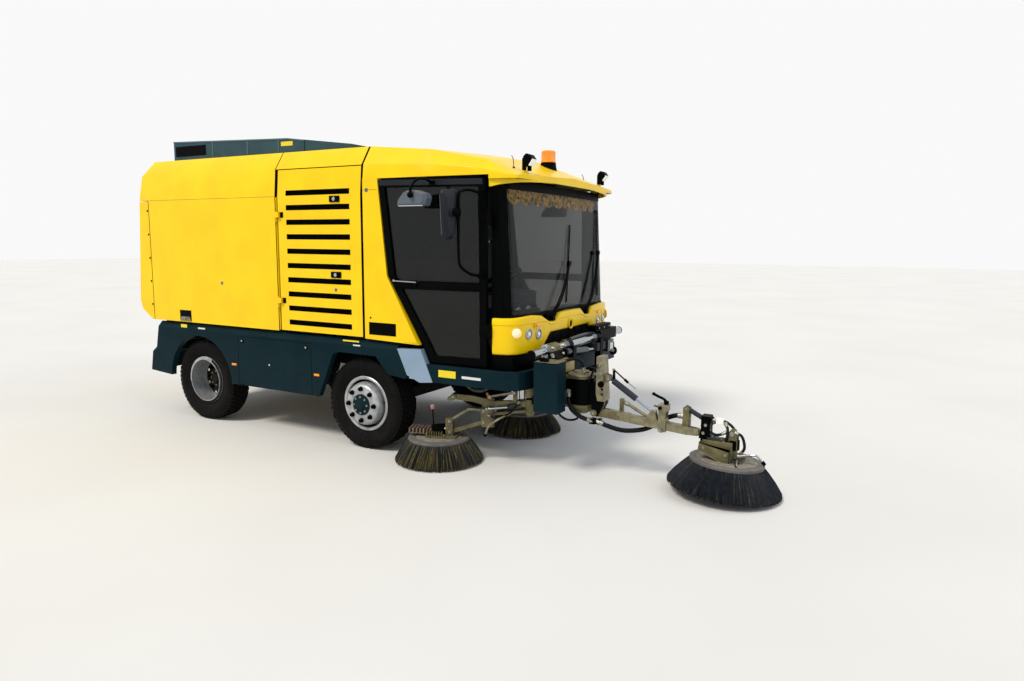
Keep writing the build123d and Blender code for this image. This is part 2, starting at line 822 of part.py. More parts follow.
def rear_bumper():
    """Transverse rear bumper below the hopper."""
    top = rear_edge[0][1]
    foot = rear_edge[-1]
    outline = [(rail_rear - back, z) for back, z in rear_edge]
    outline += [
        (rail_rear - foot[0] + bumper_thickness, foot[1]), (rail_rear - 100, 600),
        (rail_rear - seat_gap, 640), (rail_rear - seat_gap, top),
    ]
    bumper = side_plate(outline, -bumper_half, bumper_half)
    notch = block((rail_rear - 110, rail_rear + 5), (rail_half - 38, rail_half + 6), (700, top + 10))
    return bumper - notch - other_side(notch)


def cab_plan(inset, shift=0):
    """Plan outline of the cab's front half, moved inwards by inset."""
    half = cab_half - inset
    front = cab_front - inset + shift
    width = cab_front_half - inset
    return [
        (cab_rear + inset, -half), (300, -half), (pillar_x[0], -(width + 14)), (front - cab_corner, -width),
        (front - cab_corner * 0.3, -(width - cab_corner * 0.3)), (front - cab_bow, -(width - cab_corner)),
        (front, -(width - cab_corner) / 3), (front, (width - cab_corner) / 3),
        (front - cab_bow, width - cab_corner), (front - cab_corner * 0.3, width - cab_corner * 0.3),
        (front - cab_corner, width), (pillar_x[0], width + 14), (300, half), (cab_rear + inset, half),
    ]


# Roof stations of the cab: x, base half width, knuckle half, knuckle z, edge half, edge z, crown z
roof_stations = (
    (cab_rear, cab_half, 1050, 2410, 950, 2562, 2600),
    (655, 1046, 1022, 2392, 940, 2510, 2562),
    (1116, 1014, 1002, 2345, 930, 2418, 2478),
    (cab_front, 985, 975, 2268, 890, 2284, 2326),
)


def roof_solid(inset, base):
    """Roof cap lofted through its stations, moved inwards by inset."""
    faces = []
    for index, (x, half, knuckle_half, knuckle_z, edge_half, edge_z, crown_z) in enumerate(roof_stations):
        place = x + (inset if index == 0 else 0) - (inset * 1.6 if index == len(roof_stations) - 1 else 0)
        right = [
            (half - inset, base), (knuckle_half - inset, max(knuckle_z - inset * 0.6, base + 4)),
            (edge_half - inset, max(edge_z - inset, base + 7)),
        ]
        crown = [(0, max(crown_z - inset, base + 10))]
        left = [(-y, z) for y, z in reversed(right)]
        faces.append(make_face(Polyline(*[(place, y, z) for y, z in right + crown + left], close=True)))
    return loft(faces, ruled=True)


def cab_shell():
    """Cab skin: roof, rear wall and the side panels behind the doors."""
    roof = roof_solid(0, visor_base) & plan_plate(cab_plan(0), visor_base - 10, body_crown_z + 10)
    roof -= roof_solid(cab_wall, visor_base - 1)
    opening = block((door_edge_top, pillar_x[0] - 2), (pillar_half - 4, cab_half + 5), (visor_base - 5, cab_door_top))
    roof -= opening
    roof -= other_side(opening)
    outline = [
        (cab_rear, body_bottom), door_edge_low, door_edge_knee, (door_edge_top, cab_door_top), (cab_rear, cab_door_top),
    ]
    panel = side_plate(outline, cab_half - cab_wall, cab_half)
    rear = block((cab_rear, cab_rear + cab_wall), (5 - cab_half, cab_half - 5), (body_bottom, cab_door_top))
    rear -= block((cab_rear - 5, cab_rear + cab_wall + 5), (-640, 640), (1560, 2120))
    return roof + panel + other_side(panel) + rear


def cab_frame():
    """Cab floor on two levels, front bulkhead, door pillars and windscreen header."""
    half = cab_half - cab_wall - seat_gap
    floor = side_plate(
        [
            (cab_rear + cab_wall + seat_gap, cab_step_z), (cab_step_x, cab_step_z), (cab_step_x, cab_floor_z + floor_sheet),
            (bulkhead_x + 30, cab_floor_z + floor_sheet), (bulkhead_x + 30, cab_floor_z),
            (cab_step_x - floor_sheet, cab_floor_z), (cab_step_x - floor_sheet, cab_step_z - floor_sheet),
            (cab_rear + cab_wall + seat_gap, cab_step_z - floor_sheet),
        ],
        130 - cab_half, cab_half - 130,
    )
    frame = floor
    frame += block((bulkhead_x, bulkhead_x + 30), (145 - cab_front_half, cab_front_half - 145), (cab_floor_z, front_panel_top - 20))
    for y in (-270, 210):
        frame += block((bulkhead_x + 28, cab_front - front_panel_wall - seat_gap), (y, y + 60), (960, 1000))
    for side in (-1, 1):
        outer = side * pillar_half
        inner = side * (pillar_half - pillar_depth)
        foot_front = pillar_x[1] + windscreen_lean
        frame += side_plate(
            [
                (pillar_x[0], cab_floor_z), (foot_front, cab_floor_z), (foot_front, windscreen_bottom),
                (pillar_x[1], windscreen_top), (pillar_x[1], visor_base - seat_gap), (pillar_x[0], visor_base - seat_gap),
            ],
            *sorted((inner, outer)),
        )
        frame += block((pillar_x[0] + 2, bulkhead_x + 30), sorted((side * 800, outer)), (cab_floor_z, front_panel_bottom - 10))
        for z in cab_hinge_heights:
            axis = door_axis(side)
            arm = block((pillar_x[0] + 2, pillar_x[0] + 20), sorted((outer, axis[1])), (z - 70, z - 46))
            arm += rod((*axis, z - 70), (*axis, z - 46), hinge_knuckle_radius)
            arm += rod((*axis, z - 70), (*axis, z + 35), hinge_pin_radius)
            frame += arm
    frame += block((pillar_x[0], pillar_x[1]), (-pillar_half + 10, pillar_half - 10), (2198, visor_base - seat_gap))
    for x in (cab_rear + cab_wall + 40, 380):
        for y in (rail_half - rail_flange, -rail_half):
            frame += block((x - 30, x + 30), (y, y + rail_flange), (rail_bottom + rail_height + seat_gap, cab_step_z - 5))
    for y in (rail_half - rail_flange, -rail_half):
        frame += block((1010, 1090), (y, y + rail_flange), (rail_bottom + rail_height + seat_gap, cab_floor_z + 2))
    return frame


def windscreen():
    """Curved windscreen, extruded along its lean."""
    def plan(inset):
        half = windscreen_half - inset
        front = windscreen_front - inset
        points = [
            (pillar_x[1] + windscreen_lean + seat_gap, -half), (front - 70, -(half - 12)), (front - 24, -(half - 60)),
            (front - 8, -(half - 260)), (front, -170),
        ]
        return points

    outer = plan(0)
    inner = plan(glass_thickness)
    outline = outer + [(x, -y) for x, y in reversed(outer)] + [(x, -y) for x, y in inner] + list(reversed(inner))
    face = make_face(Polyline(*[(x, y, windscreen_bottom) for x, y in outline], close=True))
    rise = windscreen_top - windscreen_bottom
    slant = Vector(-windscreen_lean, 0, rise)
    return extrude(face, amount=slant.length, dir=slant)


def front_panel():
    """Front panel with the grille opening, lamp wells and wiper notches."""
    skin = plan_plate(cab_plan(0), front_panel_bottom, front_panel_top)
    skin -= plan_plate(cab_plan(front_panel_wall), front_panel_bottom - 1, front_panel_top + 1)
    skin &= block((pillar_x[0] + 24, cab_front + 5), (-cab_half, cab_half), (0, body_crown_z))
    skin -= cross_plate(
        [
            (-grille_half_bottom, front_panel_bottom - 5), (grille_half_bottom, front_panel_bottom - 5),
            (grille_half_top, grille_top), (-grille_half_top, grille_top),
        ],
        cab_front - 12, cab_front + 5,
    )
    for y in (-300, 380):
        skin -= cross_plate(
            [(y - 90, front_panel_top + 5), (y - 50, 1128), (y + 70, 1128), (y + 110, front_panel_top + 5)],
            cab_front - 60, cab_front + 5,
        )
    for y, z in headlamp_places:
        for side in (-1, 1):
            well = rod((cab_front - 26, side * y, z), (cab_front + 6, side * y, z), headlamp_radius)
            skin -= well
            skin += rod((cab_front - 48, side * y, z), (cab_front - 24, side * y, z), headlamp_radius - 2)
    return skin


def dashboard():
    """Dashboard with steering column and wheel."""
    console = side_plate(
        [
            (dash_x[0] + 40, dash_z[0]), (dash_x[1], dash_z[0]), (dash_x[1], dash_z[1] - 6), (dash_x[0] + 90, dash_z[1]),
            (dash_x[0], dash_z[1] - 60),
        ],
        -dash_half, dash_half,
    )
    console += block((dash_x[0] + 120, dash_x[0] + 200), (-60, 60), (cab_floor_z + floor_sheet + seat_gap, dash_z[0] + 5))
    turn = math.radians(steering_wheel_tilt)
    axis = Vector(math.sin(turn), 0, math.cos(turn))
    centre = Vector(steering_wheel_x, -seat_y, steering_wheel_z)
    foot = centre - axis * 380
    console += rod((foot.X, foot.Y, foot.Z), (centre.X, centre.Y, centre.Z), 24)
    wheel = Torus(steering_wheel_radius, steering_wheel_grip)
    wheel += Cylinder(42, 30)
    for spoke in range(3):
        wheel += Rot(0, 0, 30 + 120 * spoke) * block((0, steering_wheel_radius), (-14, 14), (-7, 7))
    console += Pos(centre) * Rot(0, steering_wheel_tilt, 0) * wheel
    console += bar((foot.X, foot.Y, foot.Z), (dash_x[0] + 60, -seat_y, dash_z[0] + 60), 70, 70)
    return console


def seats():
    """Two seats with pedestal, cushion, back and headrest."""
    x0, x1 = seat_x
    outline = [
        (x0 + 60, cab_step_z + seat_gap), (x0 + 250, cab_step_z + seat_gap), (x0 + 250, seat_base_z - 40),
        (x1, seat_base_z), (x1 - 10, seat_base_z + seat_cushion), (x0 + 150, seat_base_z + seat_cushion - 25),
        (x0 + 40, seat_back_top - 200), (x0 + 45, seat_back_top), (x0 - 40, seat_back_top),
        (x0 - 50, seat_back_top - 230), (x0 + 20, seat_base_z - 40), (x0 + 60, seat_base_z - 60),
    ]
    seat = side_plate(outline, seat_y - seat_width / 2, seat_y + seat_width / 2)
    return both_sides(seat)


def door_axis(side):
    """Plan position of a cab door's hinge axis."""
    y = cab_front_half + door_swing_out + 8
    return (pillar_x[0] + 10, side * y)


def door_outline(inset):
    """Side outline of the cab door, moved inwards by inset."""
    gap = panel_gap + inset
    return [
        (door_edge_top + gap + 4, cab_door_top - gap - 8), (door_front - inset - 18, cab_door_top - gap - 20),
        (door_front - inset, door_bottom + inset), (door_foot_x + inset * 0.8, door_bottom + inset),
        (door_edge_low[0] + gap + 5 + inset * 0.2, door_edge_low[1] + gap * 0.2),
        (door_edge_knee[0] + gap + 3, door_edge_knee[1] + inset * 0.2),
    ]


def on_door_plane(shape):
    """Turns a piece from the body's side plane to the door's plane, which narrows forwards."""
    hinge_point = Pos(door_edge_top, cab_half, 0)
    return hinge_point * Rot(0, 0, -door_taper) * hinge_point.inverse() * shape


def door_panes(inset):
    """Window apertures of the door, above and below the waist bar."""
    aperture = side_plate(door_outline(door_bar + inset), cab_half - door_thickness - 10, cab_half + 10)
    reach = (0, cab_front)
    upper = aperture & block(reach, reach, (door_waist + door_waist_bar / 2 + inset, body_crown_z))
    lower = aperture & block(reach, reach, (0, door_waist - door_waist_bar / 2 - inset))
    return upper, lower


def door_frame(side):
    """Cab door frame with its waist bar, handle and hinge knuckles."""
    door = side_plate(door_outline(0), cab_half - door_thickness, cab_half)
    for pane in door_panes(0):
        door -= pane
    door += block((370, 590), (cab_half - 2, cab_half + 16), (door_waist - 14, door_waist + 16))
    door -= block((400, 570), (cab_half + 1, cab_half + 9), (door_waist - 20, door_waist + 22))
    door = on_door_plane(door)
    axis = door_axis(1)
    for z in cab_hinge_heights:
        knuckle_ring = rod((*axis, z - 45), (*axis, z + 35), hinge_knuckle_radius)
        leaf = block((door_front - 60, axis[0]), (cab_front_half + 2, axis[1] + 6), (z - 45, z + 35))
        door += knuckle_ring + leaf
        door -= rod((*axis, z - 50), (*axis, z + 40), hinge_pin_radius + running_fit)
    return door if side > 0 else other_side(door)


def door_glass(side):
    """Upper and lower window panes of a cab door."""
    middle = cab_half - door_thickness / 2
    slab = block((0, cab_front), (middle - glass_thickness / 2, middle + glass_thickness / 2), (0, body_crown_z))
    upper, lower = [on_door_plane(pane & slab) for pane in door_panes(seat_gap)]
    glass = upper + lower
    return glass if side > 0 else other_side(glass)


def mirrors(side):
    """Main mirror on its tube bracket and the kerb mirror on its hook, both carried by the door."""
    tube = 12
    low, high = 1640, 2150
    out = (1062, 1262)

    def foot(x, z):
        pad = block((x - 22, x + 22), (cab_half + seat_gap, cab_half + 14), (z - 20, z + 20))
        return on_door_plane(pad)

    piece = rod((*out, low), (*out, high), tube)
    for z in (low, high):
        pad = foot(mirror_foot_x, z)
        start = pad.center()
        piece += pad + rod(tuple(start), (*out, z), tube) + Pos(*out, z) * Sphere(tube + 1)
    head = block((1030, 1096), (1190, 1375), (1800, 2168))
    head = fillet(head.edges().filter_by(Axis.X), 40)
    piece += head
    pad = foot(735, 2236)
    knee = (705, 1165, 2236)
    kerb_arm = pad + rod(tuple(pad.center()), knee, 9) + rod(knee, (690, 1200, 2124), 9) + Pos(*knee) * Sphere(10)
    kerb = block((550, 820), (1130, 1290), (2055, 2130))
    kerb = fillet(kerb.edges().filter_by(Axis.Z), 45)
    piece += kerb_arm + kerb
    return piece if side > 0 else other_side(piece)


def roof_lamps():
    """Beacon on its foot and two work lamps on the roof edge."""
    x, top = beacon_place
    lamps = rod((x, 0, top - 190), (x, 0, top - 105), beacon_foot_radius)
    lamps += rod((x, 0, top - 106), (x, 0, top), beacon_radius)
    x0, x1 = work_lamp_x
    z0, z1 = work_lamp_z
    for side in (-1, 1):
        y = side * work_lamp_y
        lamps += block((x0, x1), (y - work_lamp_half, y + work_lamp_half), (z0, z1))
        lamps += rod(((x0 + x1) / 2, y, z0 - 60), ((x0 + x1) / 2, y, z0 + 8), 10)
    return lamps - Pos(0, 0, seat_gap) * roof_solid(0, visor_base - 40)


def engine_block():
    """Engine and pump as one plain block."""
    return block(engine_block_x, (-engine_block_half, engine_block_half), engine_block_z)


def suction_nozzle():
    """Suction mouth open to the ground, on two drag links."""
    outline = [
        (nozzle_x[0], nozzle_clear), (nozzle_x[0], nozzle_top - 40), (nozzle_x[0] + 50, nozzle_top),
        (nozzle_x[1] - 90, nozzle_top), (nozzle_x[1], nozzle_top - 60), (nozzle_x[1], nozzle_clear),
    ]
    w = nozzle_wall
    hollow = [
        (nozzle_x[0] + w, nozzle_clear - 5), (nozzle_x[0] + w, nozzle_top - 46), (nozzle_x[0] + 54, nozzle_top - w),
        (nozzle_x[1] - 94, nozzle_top - w), (nozzle_x[1] - w, nozzle_top - 66), (nozzle_x[1] - w, nozzle_clear - 5),
    ]
    nozzle = side_plate(outline, -nozzle_half, nozzle_half) - side_plate(hollow, w - nozzle_half, nozzle_half - w)
    nozzle -= rod((suction_low_x, 0, nozzle_top - 40), (suction_low_x, 0, nozzle_top + 10), suction_radius - suction_wall)
    for side in (-1, 1):
        y = side * (rail_half - rail_flange / 2)
        top = (-1240, y, rail_bottom - seat_gap - 22)
        link = rod((nozzle_x[0] + 60, y, nozzle_top - 45), top, 16) + rod((top[0], y - 28, top[2]), (top[0], y + 28, top[2]), 22)
        nozzle += link
    return nozzle


def suction_hose():
    """Slanting suction duct from the nozzle to the hopper floor."""
    low = nozzle_top + seat_gap
    high = body_bottom - moving_gap
    slant = Vector(suction_high_x - suction_low_x, 0, high - low)
    ring = Pos(suction_low_x, 0, low) * (Circle(suction_radius) - Circle(suction_radius - suction_wall))
    return extrude(ring, amount=slant.length, dir=slant)


def brush_carrier():
    """Front carriage: cross beam, chrome rail, its clamps and the fixed part of the arm's slew bearing."""
    beam = block(carrier_beam_x, (-carrier_beam_half, carrier_beam_half), carrier_beam_z)
    for side in (-1, 1):
        y = side * carrier_arm_y
        beam += block((rail_front + seat_gap, carrier_upright_x[1]), (y - 30, y + 30), carrier_beam_z)
        beam += block(carrier_upright_x, (y - 30, y + 30), (carrier_beam_z[0], rail_tube_z))
        beam += rod((rail_tube_x, y - 40, rail_tube_z), (rail_tube_x, y + 40, rail_tube_z), rail_tube_radius + 18)
        pin = (swing_pin_x, side * swing_pin_y)
        plate = block((swing_pin_x - 48, swing_pin_x + 48), sorted((side * (carrier_beam_half - 20), pin[1])), (570, 640))
        plate += rod((*pin, 570), (*pin, 640), 48)
        plate += rod((*pin, swing_sleeve_z[0] - 12), (*pin, 640), swing_pin_radius)
        plate += rod((*pin, swing_sleeve_z[0] - 14), (*pin, swing_sleeve_z[0] - 2), swing_sleeve_radius - 8)
        beam += plate
    beam += rod((rail_tube_x, -rail_tube_half, rail_tube_z), (rail_tube_x, rail_tube_half, rail_tube_z), rail_tube_radius)
    low = slew_drum_z[0] - moving_gap
    high = slew_drum_z[1] + moving_gap
    plate_radius = slew_radius - 5
    for z0, z1 in ((low - slew_plate_thickness, low), (high, high + slew_plate_thickness)):
        arm = block((carrier_upright_x[0] + 10, slew_x), (slew_y - plate_radius, slew_y + plate_radius), (z0, z1))
        arm += rod((slew_x, slew_y, z0), (slew_x, slew_y, z1), plate_radius)
        beam += arm
    beam += rod((slew_x, slew_y, low - 4), (slew_x, slew_y, high + 4), slew_pin_radius)
    back = block((carrier_upright_x[0] + 4, carrier_upright_x[0] + 34), (slew_y - 110, slew_y + 110), (low - slew_plate_thickness, rail_tube_z))
    beam += back
    beam += rod((rail_tube_x, slew_y - 90, rail_tube_z), (rail_tube_x, slew_y + 90, rail_tube_z), rail_tube_radius + 18)
    beam += block((carrier_beam_x[1] - 2, carrier_upright_x[0] + 20), (slew_y - 60, slew_y + 60), (carrier_beam_z[0], carrier_beam_z[1]))
    beam += block((1525, 1612), (354, 733), (902, 1002))
    beam += tow_plate(carrier_beam_x[1] + seat_gap, front_tow_x, front_tow_z)
    for y in (-510, 430):
        beam += block((carrier_beam_x[1] - 35, apron_front - 5), (y, y + 80), (carrier_beam_z[1] - 5, sill_bottom - seat_gap))
    return beam


def valve_box():
    """Green valve box on the outer end of the carriage."""
    shell = block(valve_box_x, valve_box_y, valve_box_z)
    shell = chamfer(shell.edges().filter_by(Axis.Z).sort_by(Axis.X)[-1], 24)
    foot = block((carrier_upright_x[0] + 30, valve_box_x[0] + 80), (valve_box_y[1] - 2, slew_y - 110 - seat_gap), (640, 700))
    return shell + foot


def arm_place(side):
    """Place of a side brush arm: swing pin and heading of its S axis."""
    heading = 180 + right_arm_heading if side < 0 else 180 - left_arm_heading
    return Pos(swing_pin_x, side * swing_pin_y, 0) * Rot(0, 0, heading)


def brush_base(side):
    """Swinging arm from the swing pin to the bracket that carries the links."""
    sleeve = rod((0, 0, swing_sleeve_z[0]), (0, 0, swing_sleeve_z[1]), swing_sleeve_radius)
    arm = bar((0, 0, 512), (link_front_s - 60, 0, 500), 46, 44)
    arm += bar((0, 0, 456), (link_front_s - 50, 0, 410), 34, 22)
    low = link_front_low_z - 41
    high = link_front_low_z + link_spacing_z + 21
    plate = side_plate(
        [
            (link_front_s - 80, low), (link_front_s + 10, low), (link_front_s + 24, low + 45),
            (link_front_s + 24, high + 4), (link_front_s - 20, 540), (link_front_s - 80, 540),
        ],
        -8, 8,
    )
    cheek_outline = [
        (link_front_s - 76, low + 4), (link_front_s + 16, low + 4), (link_front_s + 22, low + 45),
        (link_front_s + 22, high), (link_front_s - 76, high),
    ]
    base = sleeve + arm + plate
    base -= block((link_front_s - 24, link_front_s + 60), (-12, 12), (low - 10, high + 5))
    base += side_plate(cheek_outline, -34, -20) + side_plate(cheek_outline, 20, 34)
    base += block((link_front_s - 76, link_front_s - 30), (-34, 34), (low + 4, high))
    lever = side_plate(
        [
            (link_front_s - 30, 500), (link_front_s - 30, 538), (link_front_s + 150, 548), (link_front_s + 300, 528),
            (link_front_s + 300, 512), (link_front_s + 150, 524),
        ],
        -8, 8,
    )
    lever += rod((link_front_s + 292, -14, 520), (link_front_s + 292, 14, 520), 18)
    base += lever
    for z in (link_front_low_z, link_front_low_z + link_spacing_z):
        base += rod((link_front_s, -34, z), (link_front_s, 34, z), link_pin_radius)
    base -= rod((0, 0, swing_sleeve_z[0] - 5), (0, 0, swing_sleeve_z[1] + 5), swing_pin_radius + running_fit)
    return arm_place(side) * base


def brush_link(side, upper):
    """One of the two parallel links that carry the brush head."""
    rise = link_spacing_z if upper else 0
    start = (link_front_s, 0, link_front_low_z + rise)
    end = (link_rear_s, 0, link_rear_low_z + rise)
    if upper:
        knee = (link_front_s + 130, 0, start[2] + 4)
        link = rod(start, knee, link_radius) + rod(knee, end, link_radius) + Pos(*knee) * Sphere(link_radius + 3)
    else:
        link = bar(start, end, 26, 30)
    for x, y, z in (start, end):
        link += rod((x, -15, z), (x, 15, z), 20)
    for x, y, z in (start, end):
        link -= rod((x, -20, z), (x, 20, z), link_pin_radius + running_fit)
    return arm_place(side) * link


def brush_head(side):
    """Head at the end of the links: clevis, carrier plate and brush motor."""
    plate_z = side_disc_z + side_disc_thickness + moving_gap
    top = link_rear_low_z + link_spacing_z + 22
    cheek = [
        (link_rear_s - 24, plate_z + 6), (link_rear_s + 34, plate_z + 6), (link_rear_s + 34, top),
        (link_rear_s - 24, top),
    ]
    head = side_plate(cheek, -32, -18) + side_plate(cheek, 18, 32)
    for z in (link_rear_low_z, link_rear_low_z + link_spacing_z):
        head += rod((link_rear_s, -32, z), (link_rear_s, 32, z), link_pin_radius)
    head += block((link_rear_s + 26, link_rear_s + 36), (-32, 32), (plate_z, top))
    head += block((link_rear_s - 60, link_rear_s + 200), (-80, 80), (plate_z, plate_z + 12))
    head += rod((side_brush_s, 0, plate_z), (side_brush_s, 0, side_motor_top), side_motor_radius)
    for index in range(fin_count):
        x = side_brush_s - 45 + fin_pitch * index
        head += block((x, x + fin_thickness), (-80, 80), (plate_z + 10, plate_z + 48))
    head -= rod((side_brush_s, 0, plate_z - 5), (side_brush_s, 0, plate_z + 12), 22 + running_fit)
    return arm_place(side) * head


def bristle_disc(disc_radius, disc_z, thickness, tip_radius, tip_z, stub, stub_top):
    """Brush disc with its bristle skirt and drive stub, about the Z axis."""
    root = disc_radius - 12
    outline = [
        (0, disc_z), (root - 70, disc_z), (tip_radius - 78, tip_z), (tip_radius, tip_z), (tip_radius - 6, tip_z + 22),
        (root, disc_z), (disc_radius, disc_z), (disc_radius, disc_z + thickness), (stub, disc_z + thickness),
        (stub, stub_top), (0, stub_top),
    ]
    face = make_face(Polyline(*[(r, 0, z) for r, z in outline], close=True))
    return revolve(face, Axis.Z)


def side_brush(side):
    """Side brush: steel disc and splayed bristles."""
    plate_z = side_disc_z + side_disc_thickness + moving_gap
    brush = bristle_disc(
        side_disc_radius, side_disc_z, side_disc_thickness, side_bristle_radius, bristle_clear, 22, plate_z + 11,
    )
    return arm_place(side) * Pos(side_brush_s, 0, 0) * brush


def arm_mast():
    """Slewing mast: actuator drum, web, mast plate, boom cheeks and cylinder ear."""
    mast = rod((slew_x, slew_y, slew_drum_z[0]), (slew_x, slew_y, slew_drum_z[1]), slew_radius)
    mast += block((slew_x + 60, mast_plate_x[0] + 4), (slew_y - 48, slew_y + 48), (slew_drum_z[0] + 10, slew_drum_z[1] - 10))
    plate = side_plate(
        [
            (mast_plate_x[0], 585), (mast_plate_x[1] + 8, 585), (mast_plate_x[1] - 16, mast_top),
            (mast_plate_x[0] - 14, mast_top), (mast_plate_x[0] - 14, 640),
        ],
        slew_y - mast_half, slew_y + mast_half,
    )
    mast += plate
    inner = boom_width / 2 + cheek_gap
    for side in (-1, 1):
        y0, y1 = sorted((slew_y + side * inner, slew_y + side * (inner + cheek_thickness)))
        mast += side_plate(
            [
                (boom_hinge_x - 22, boom_hinge_z - 26), (boom_hinge_x + 26, boom_hinge_z - 30),
                (mast_plate_x[1] + 4, 560), (mast_plate_x[1] + 4, 620), (boom_hinge_x - 24, 620),
            ],
            y0, y1,
        )
        ear_y = sorted((slew_y + side * 16, slew_y + side * 30))
        mast += side_plate(
            [
                (mast_plate_x[1] - 20, lift_pin_z - 40), (lift_pin_x + 6, lift_pin_z - 20),
                (lift_pin_x + 20, lift_pin_z), (lift_pin_x + 6, lift_pin_z + 22), (mast_plate_x[1] - 20, lift_pin_z + 40),
            ],
            *ear_y,
        )
    mast += rod((lift_pin_x, slew_y - 30, lift_pin_z), (lift_pin_x, slew_y + 30, lift_pin_z), lift_pin_radius)
    reach = inner + cheek_thickness
    mast += rod((boom_hinge_x, slew_y - reach, boom_hinge_z), (boom_hinge_x, slew_y + reach, boom_hinge_z), boom_pin_radius)
    mast -= rod((slew_x, slew_y, slew_drum_z[0] - 5), (slew_x, slew_y, slew_drum_z[1] + 5), slew_pin_radius + running_fit)
    return mast


def boom():
    """Box-section boom with its hinge eye, cylinder lug and end clevis."""
    start = (boom_hinge_x, slew_y, boom_hinge_z)
    end = (boom_end_x - 60, slew_y, boom_end_z + 60 * (boom_hinge_z - boom_end_z) / (boom_end_x - boom_hinge_x))
    arm = bar(start, end, boom_width, boom_height)
    arm += rod((boom_hinge_x, slew_y - boom_width / 2, boom_hinge_z), (boom_hinge_x, slew_y + boom_width / 2, boom_hinge_z), boom_height / 2)
    top = boom_hinge_z + (boom_end_z - boom_hinge_z) * (lift_eye_x - boom_hinge_x) / (boom_end_x - boom_hinge_x)
    for side in (-1, 1):
        inner = slew_y + side * (lift_eye_half + 1.5)
        outer = inner + side * 12
        arm += side_plate(
            [
                (lift_eye_x - 55, top + 15), (lift_eye_x + 45, top + 10), (lift_eye_x + 20, lift_eye_z + 14),
                (lift_eye_x - 10, lift_eye_z + 18),
            ],
            *sorted((inner, outer)),
        )
        arm += rod((lift_eye_x, inner, lift_eye_z), (lift_eye_x, outer + side * 5, lift_eye_z), lift_pin_radius)
    for side in (-1, 1):
        y0, y1 = sorted((slew_y + side * 17, slew_y + side * 31))
        arm += side_plate(
            [
                (boom_end_x - 70, boom_end_z + 34), (boom_end_x - 70, boom_end_z - 24), (boom_end_x + 14, boom_end_z - 22),
                (boom_end_x + 24, boom_end_z), (boom_end_x + 14, boom_end_z + 26),
            ],
            y0, y1,
        )
    arm += rod((boom_end_x, slew_y - 31, boom_end_z), (boom_end_x, slew_y + 31, boom_end_z), 10)
    arm -= rod((boom_hinge_x, slew_y - 50, boom_hinge_z), (boom_hinge_x, slew_y + 50, boom_hinge_z), boom_pin_radius + running_fit)
    clamp_x = 2512
    clamp_z = boom_hinge_z + (boom_end_z - boom_hinge_z) * (clamp_x - boom_hinge_x) / (boom_end_x - boom_hinge_x)
    arm += block((clamp_x - 20, clamp_x + 20), (slew_y - 42, slew_y + 42), (clamp_z - 42, clamp_z + 60))
    arm += rod((clamp_x, slew_y, clamp_z + 40), (clamp_x, slew_y, clamp_z + 130), 12)
    arm += rod((clamp_x, slew_y + 20, clamp_z + 120), (clamp_x - 70, slew_y - 40, clamp_z + 150), 7)
    return arm


def cylinder_barrel(foot, head, length, radius, pin, rod_radius, eye_half, neck):
    """Cylinder barrel from its foot pin, past a slim neck, towards the rod's eye."""
    along = (Vector(*head) - Vector(*foot)).normalized()
    start = Vector(*foot) + along * neck
    end = Vector(*foot) + along * length
    barrel = rod(tuple(start), tuple(end), radius)
    barrel += rod(tuple(Vector(*foot) + along * (pin + 2)), tuple(start + along * 4), eye_half - 2)
    eye = rod((foot[0], foot[1] - eye_half, foot[2]), (foot[0], foot[1] + eye_half, foot[2]), pin + 9)
    barrel += eye
    barrel -= rod((foot[0], foot[1] - 80, foot[2]), (foot[0], foot[1] + 80, foot[2]), pin + running_fit)
    bore_start = Vector(*foot) + along * (neck + 12)
    bore_end = Vector(*foot) + along * (length + 5)
    return barrel - rod(tuple(bore_start), tuple(bore_end), rod_radius + running_fit)


def cylinder_rod(foot, head, inside, pin, rod_radius, eye_half):
    """Piston rod with its eye, the eye bored wider than the pin that it drifts round."""
    along = (Vector(*head) - Vector(*foot)).normalized()
    start = Vector(*foot) + along * inside
    end = Vector(*head) - along * (pin + 4)
    piece = rod(tuple(start), tuple(end), rod_radius)
    piece += rod((head[0], head[1] - eye_half, head[2]), (head[0], head[1] + eye_half, head[2]), pin + 11)
    return piece - rod((head[0], head[1] - 80, head[2]), (head[0], head[1] + 80, head[2]), pin + 0.5)


def front_brush_frame():
    """Place of the front brush: its centre on the ground and its tilted axis."""
    lift = front_bristle_radius * math.sin(math.radians(math.hypot(front_brush_pitch, front_brush_roll)))
    return Pos(front_brush_x, front_brush_y, lift + bristle_clear) * Rot(front_brush_roll, front_brush_pitch, 0)


def arm_head():
    """Brush head: hinge lug, upright, tilt bracket and motor over the disc."""
    lug = rod((boom_end_x, slew_y - 16, boom_end_z), (boom_end_x, slew_y + 16, boom_end_z), 24)
    lug += block((boom_end_x, boom_end_x + 80), (slew_y - 16, slew_y + 16), (boom_end_z - 22, boom_end_z + 22))
    lug += block((boom_end_x + 40, boom_end_x + 105), (slew_y - 44, slew_y + 44), (352, 565))
    lug += block((boom_end_x + 60, boom_end_x + 270), (slew_y - 60, slew_y - 46), (300, 400))
    lug += block((boom_end_x + 60, boom_end_x + 270), (slew_y + 46, slew_y + 60), (300, 400))
    lug += block((boom_end_x + 60, boom_end_x + 110), (slew_y - 60, slew_y + 60), (340, 400))
    lug -= rod((boom_end_x, slew_y - 40, boom_end_z), (boom_end_x, slew_y + 40, boom_end_z), 10 + running_fit)
    stub_top = front_disc_height + front_disc_thickness + moving_gap
    mount = Pos(0, 0, stub_top) * (Pos(0, 0, 7) * Box(230, 150, 14))
    mount += rod((0, 0, stub_top + 2), (0, 0, stub_top + 96), 66)
    mount -= rod((0, 0, stub_top - 5), (0, 0, stub_top + 16), 24 + running_fit)
    return lug + front_brush_frame() * mount


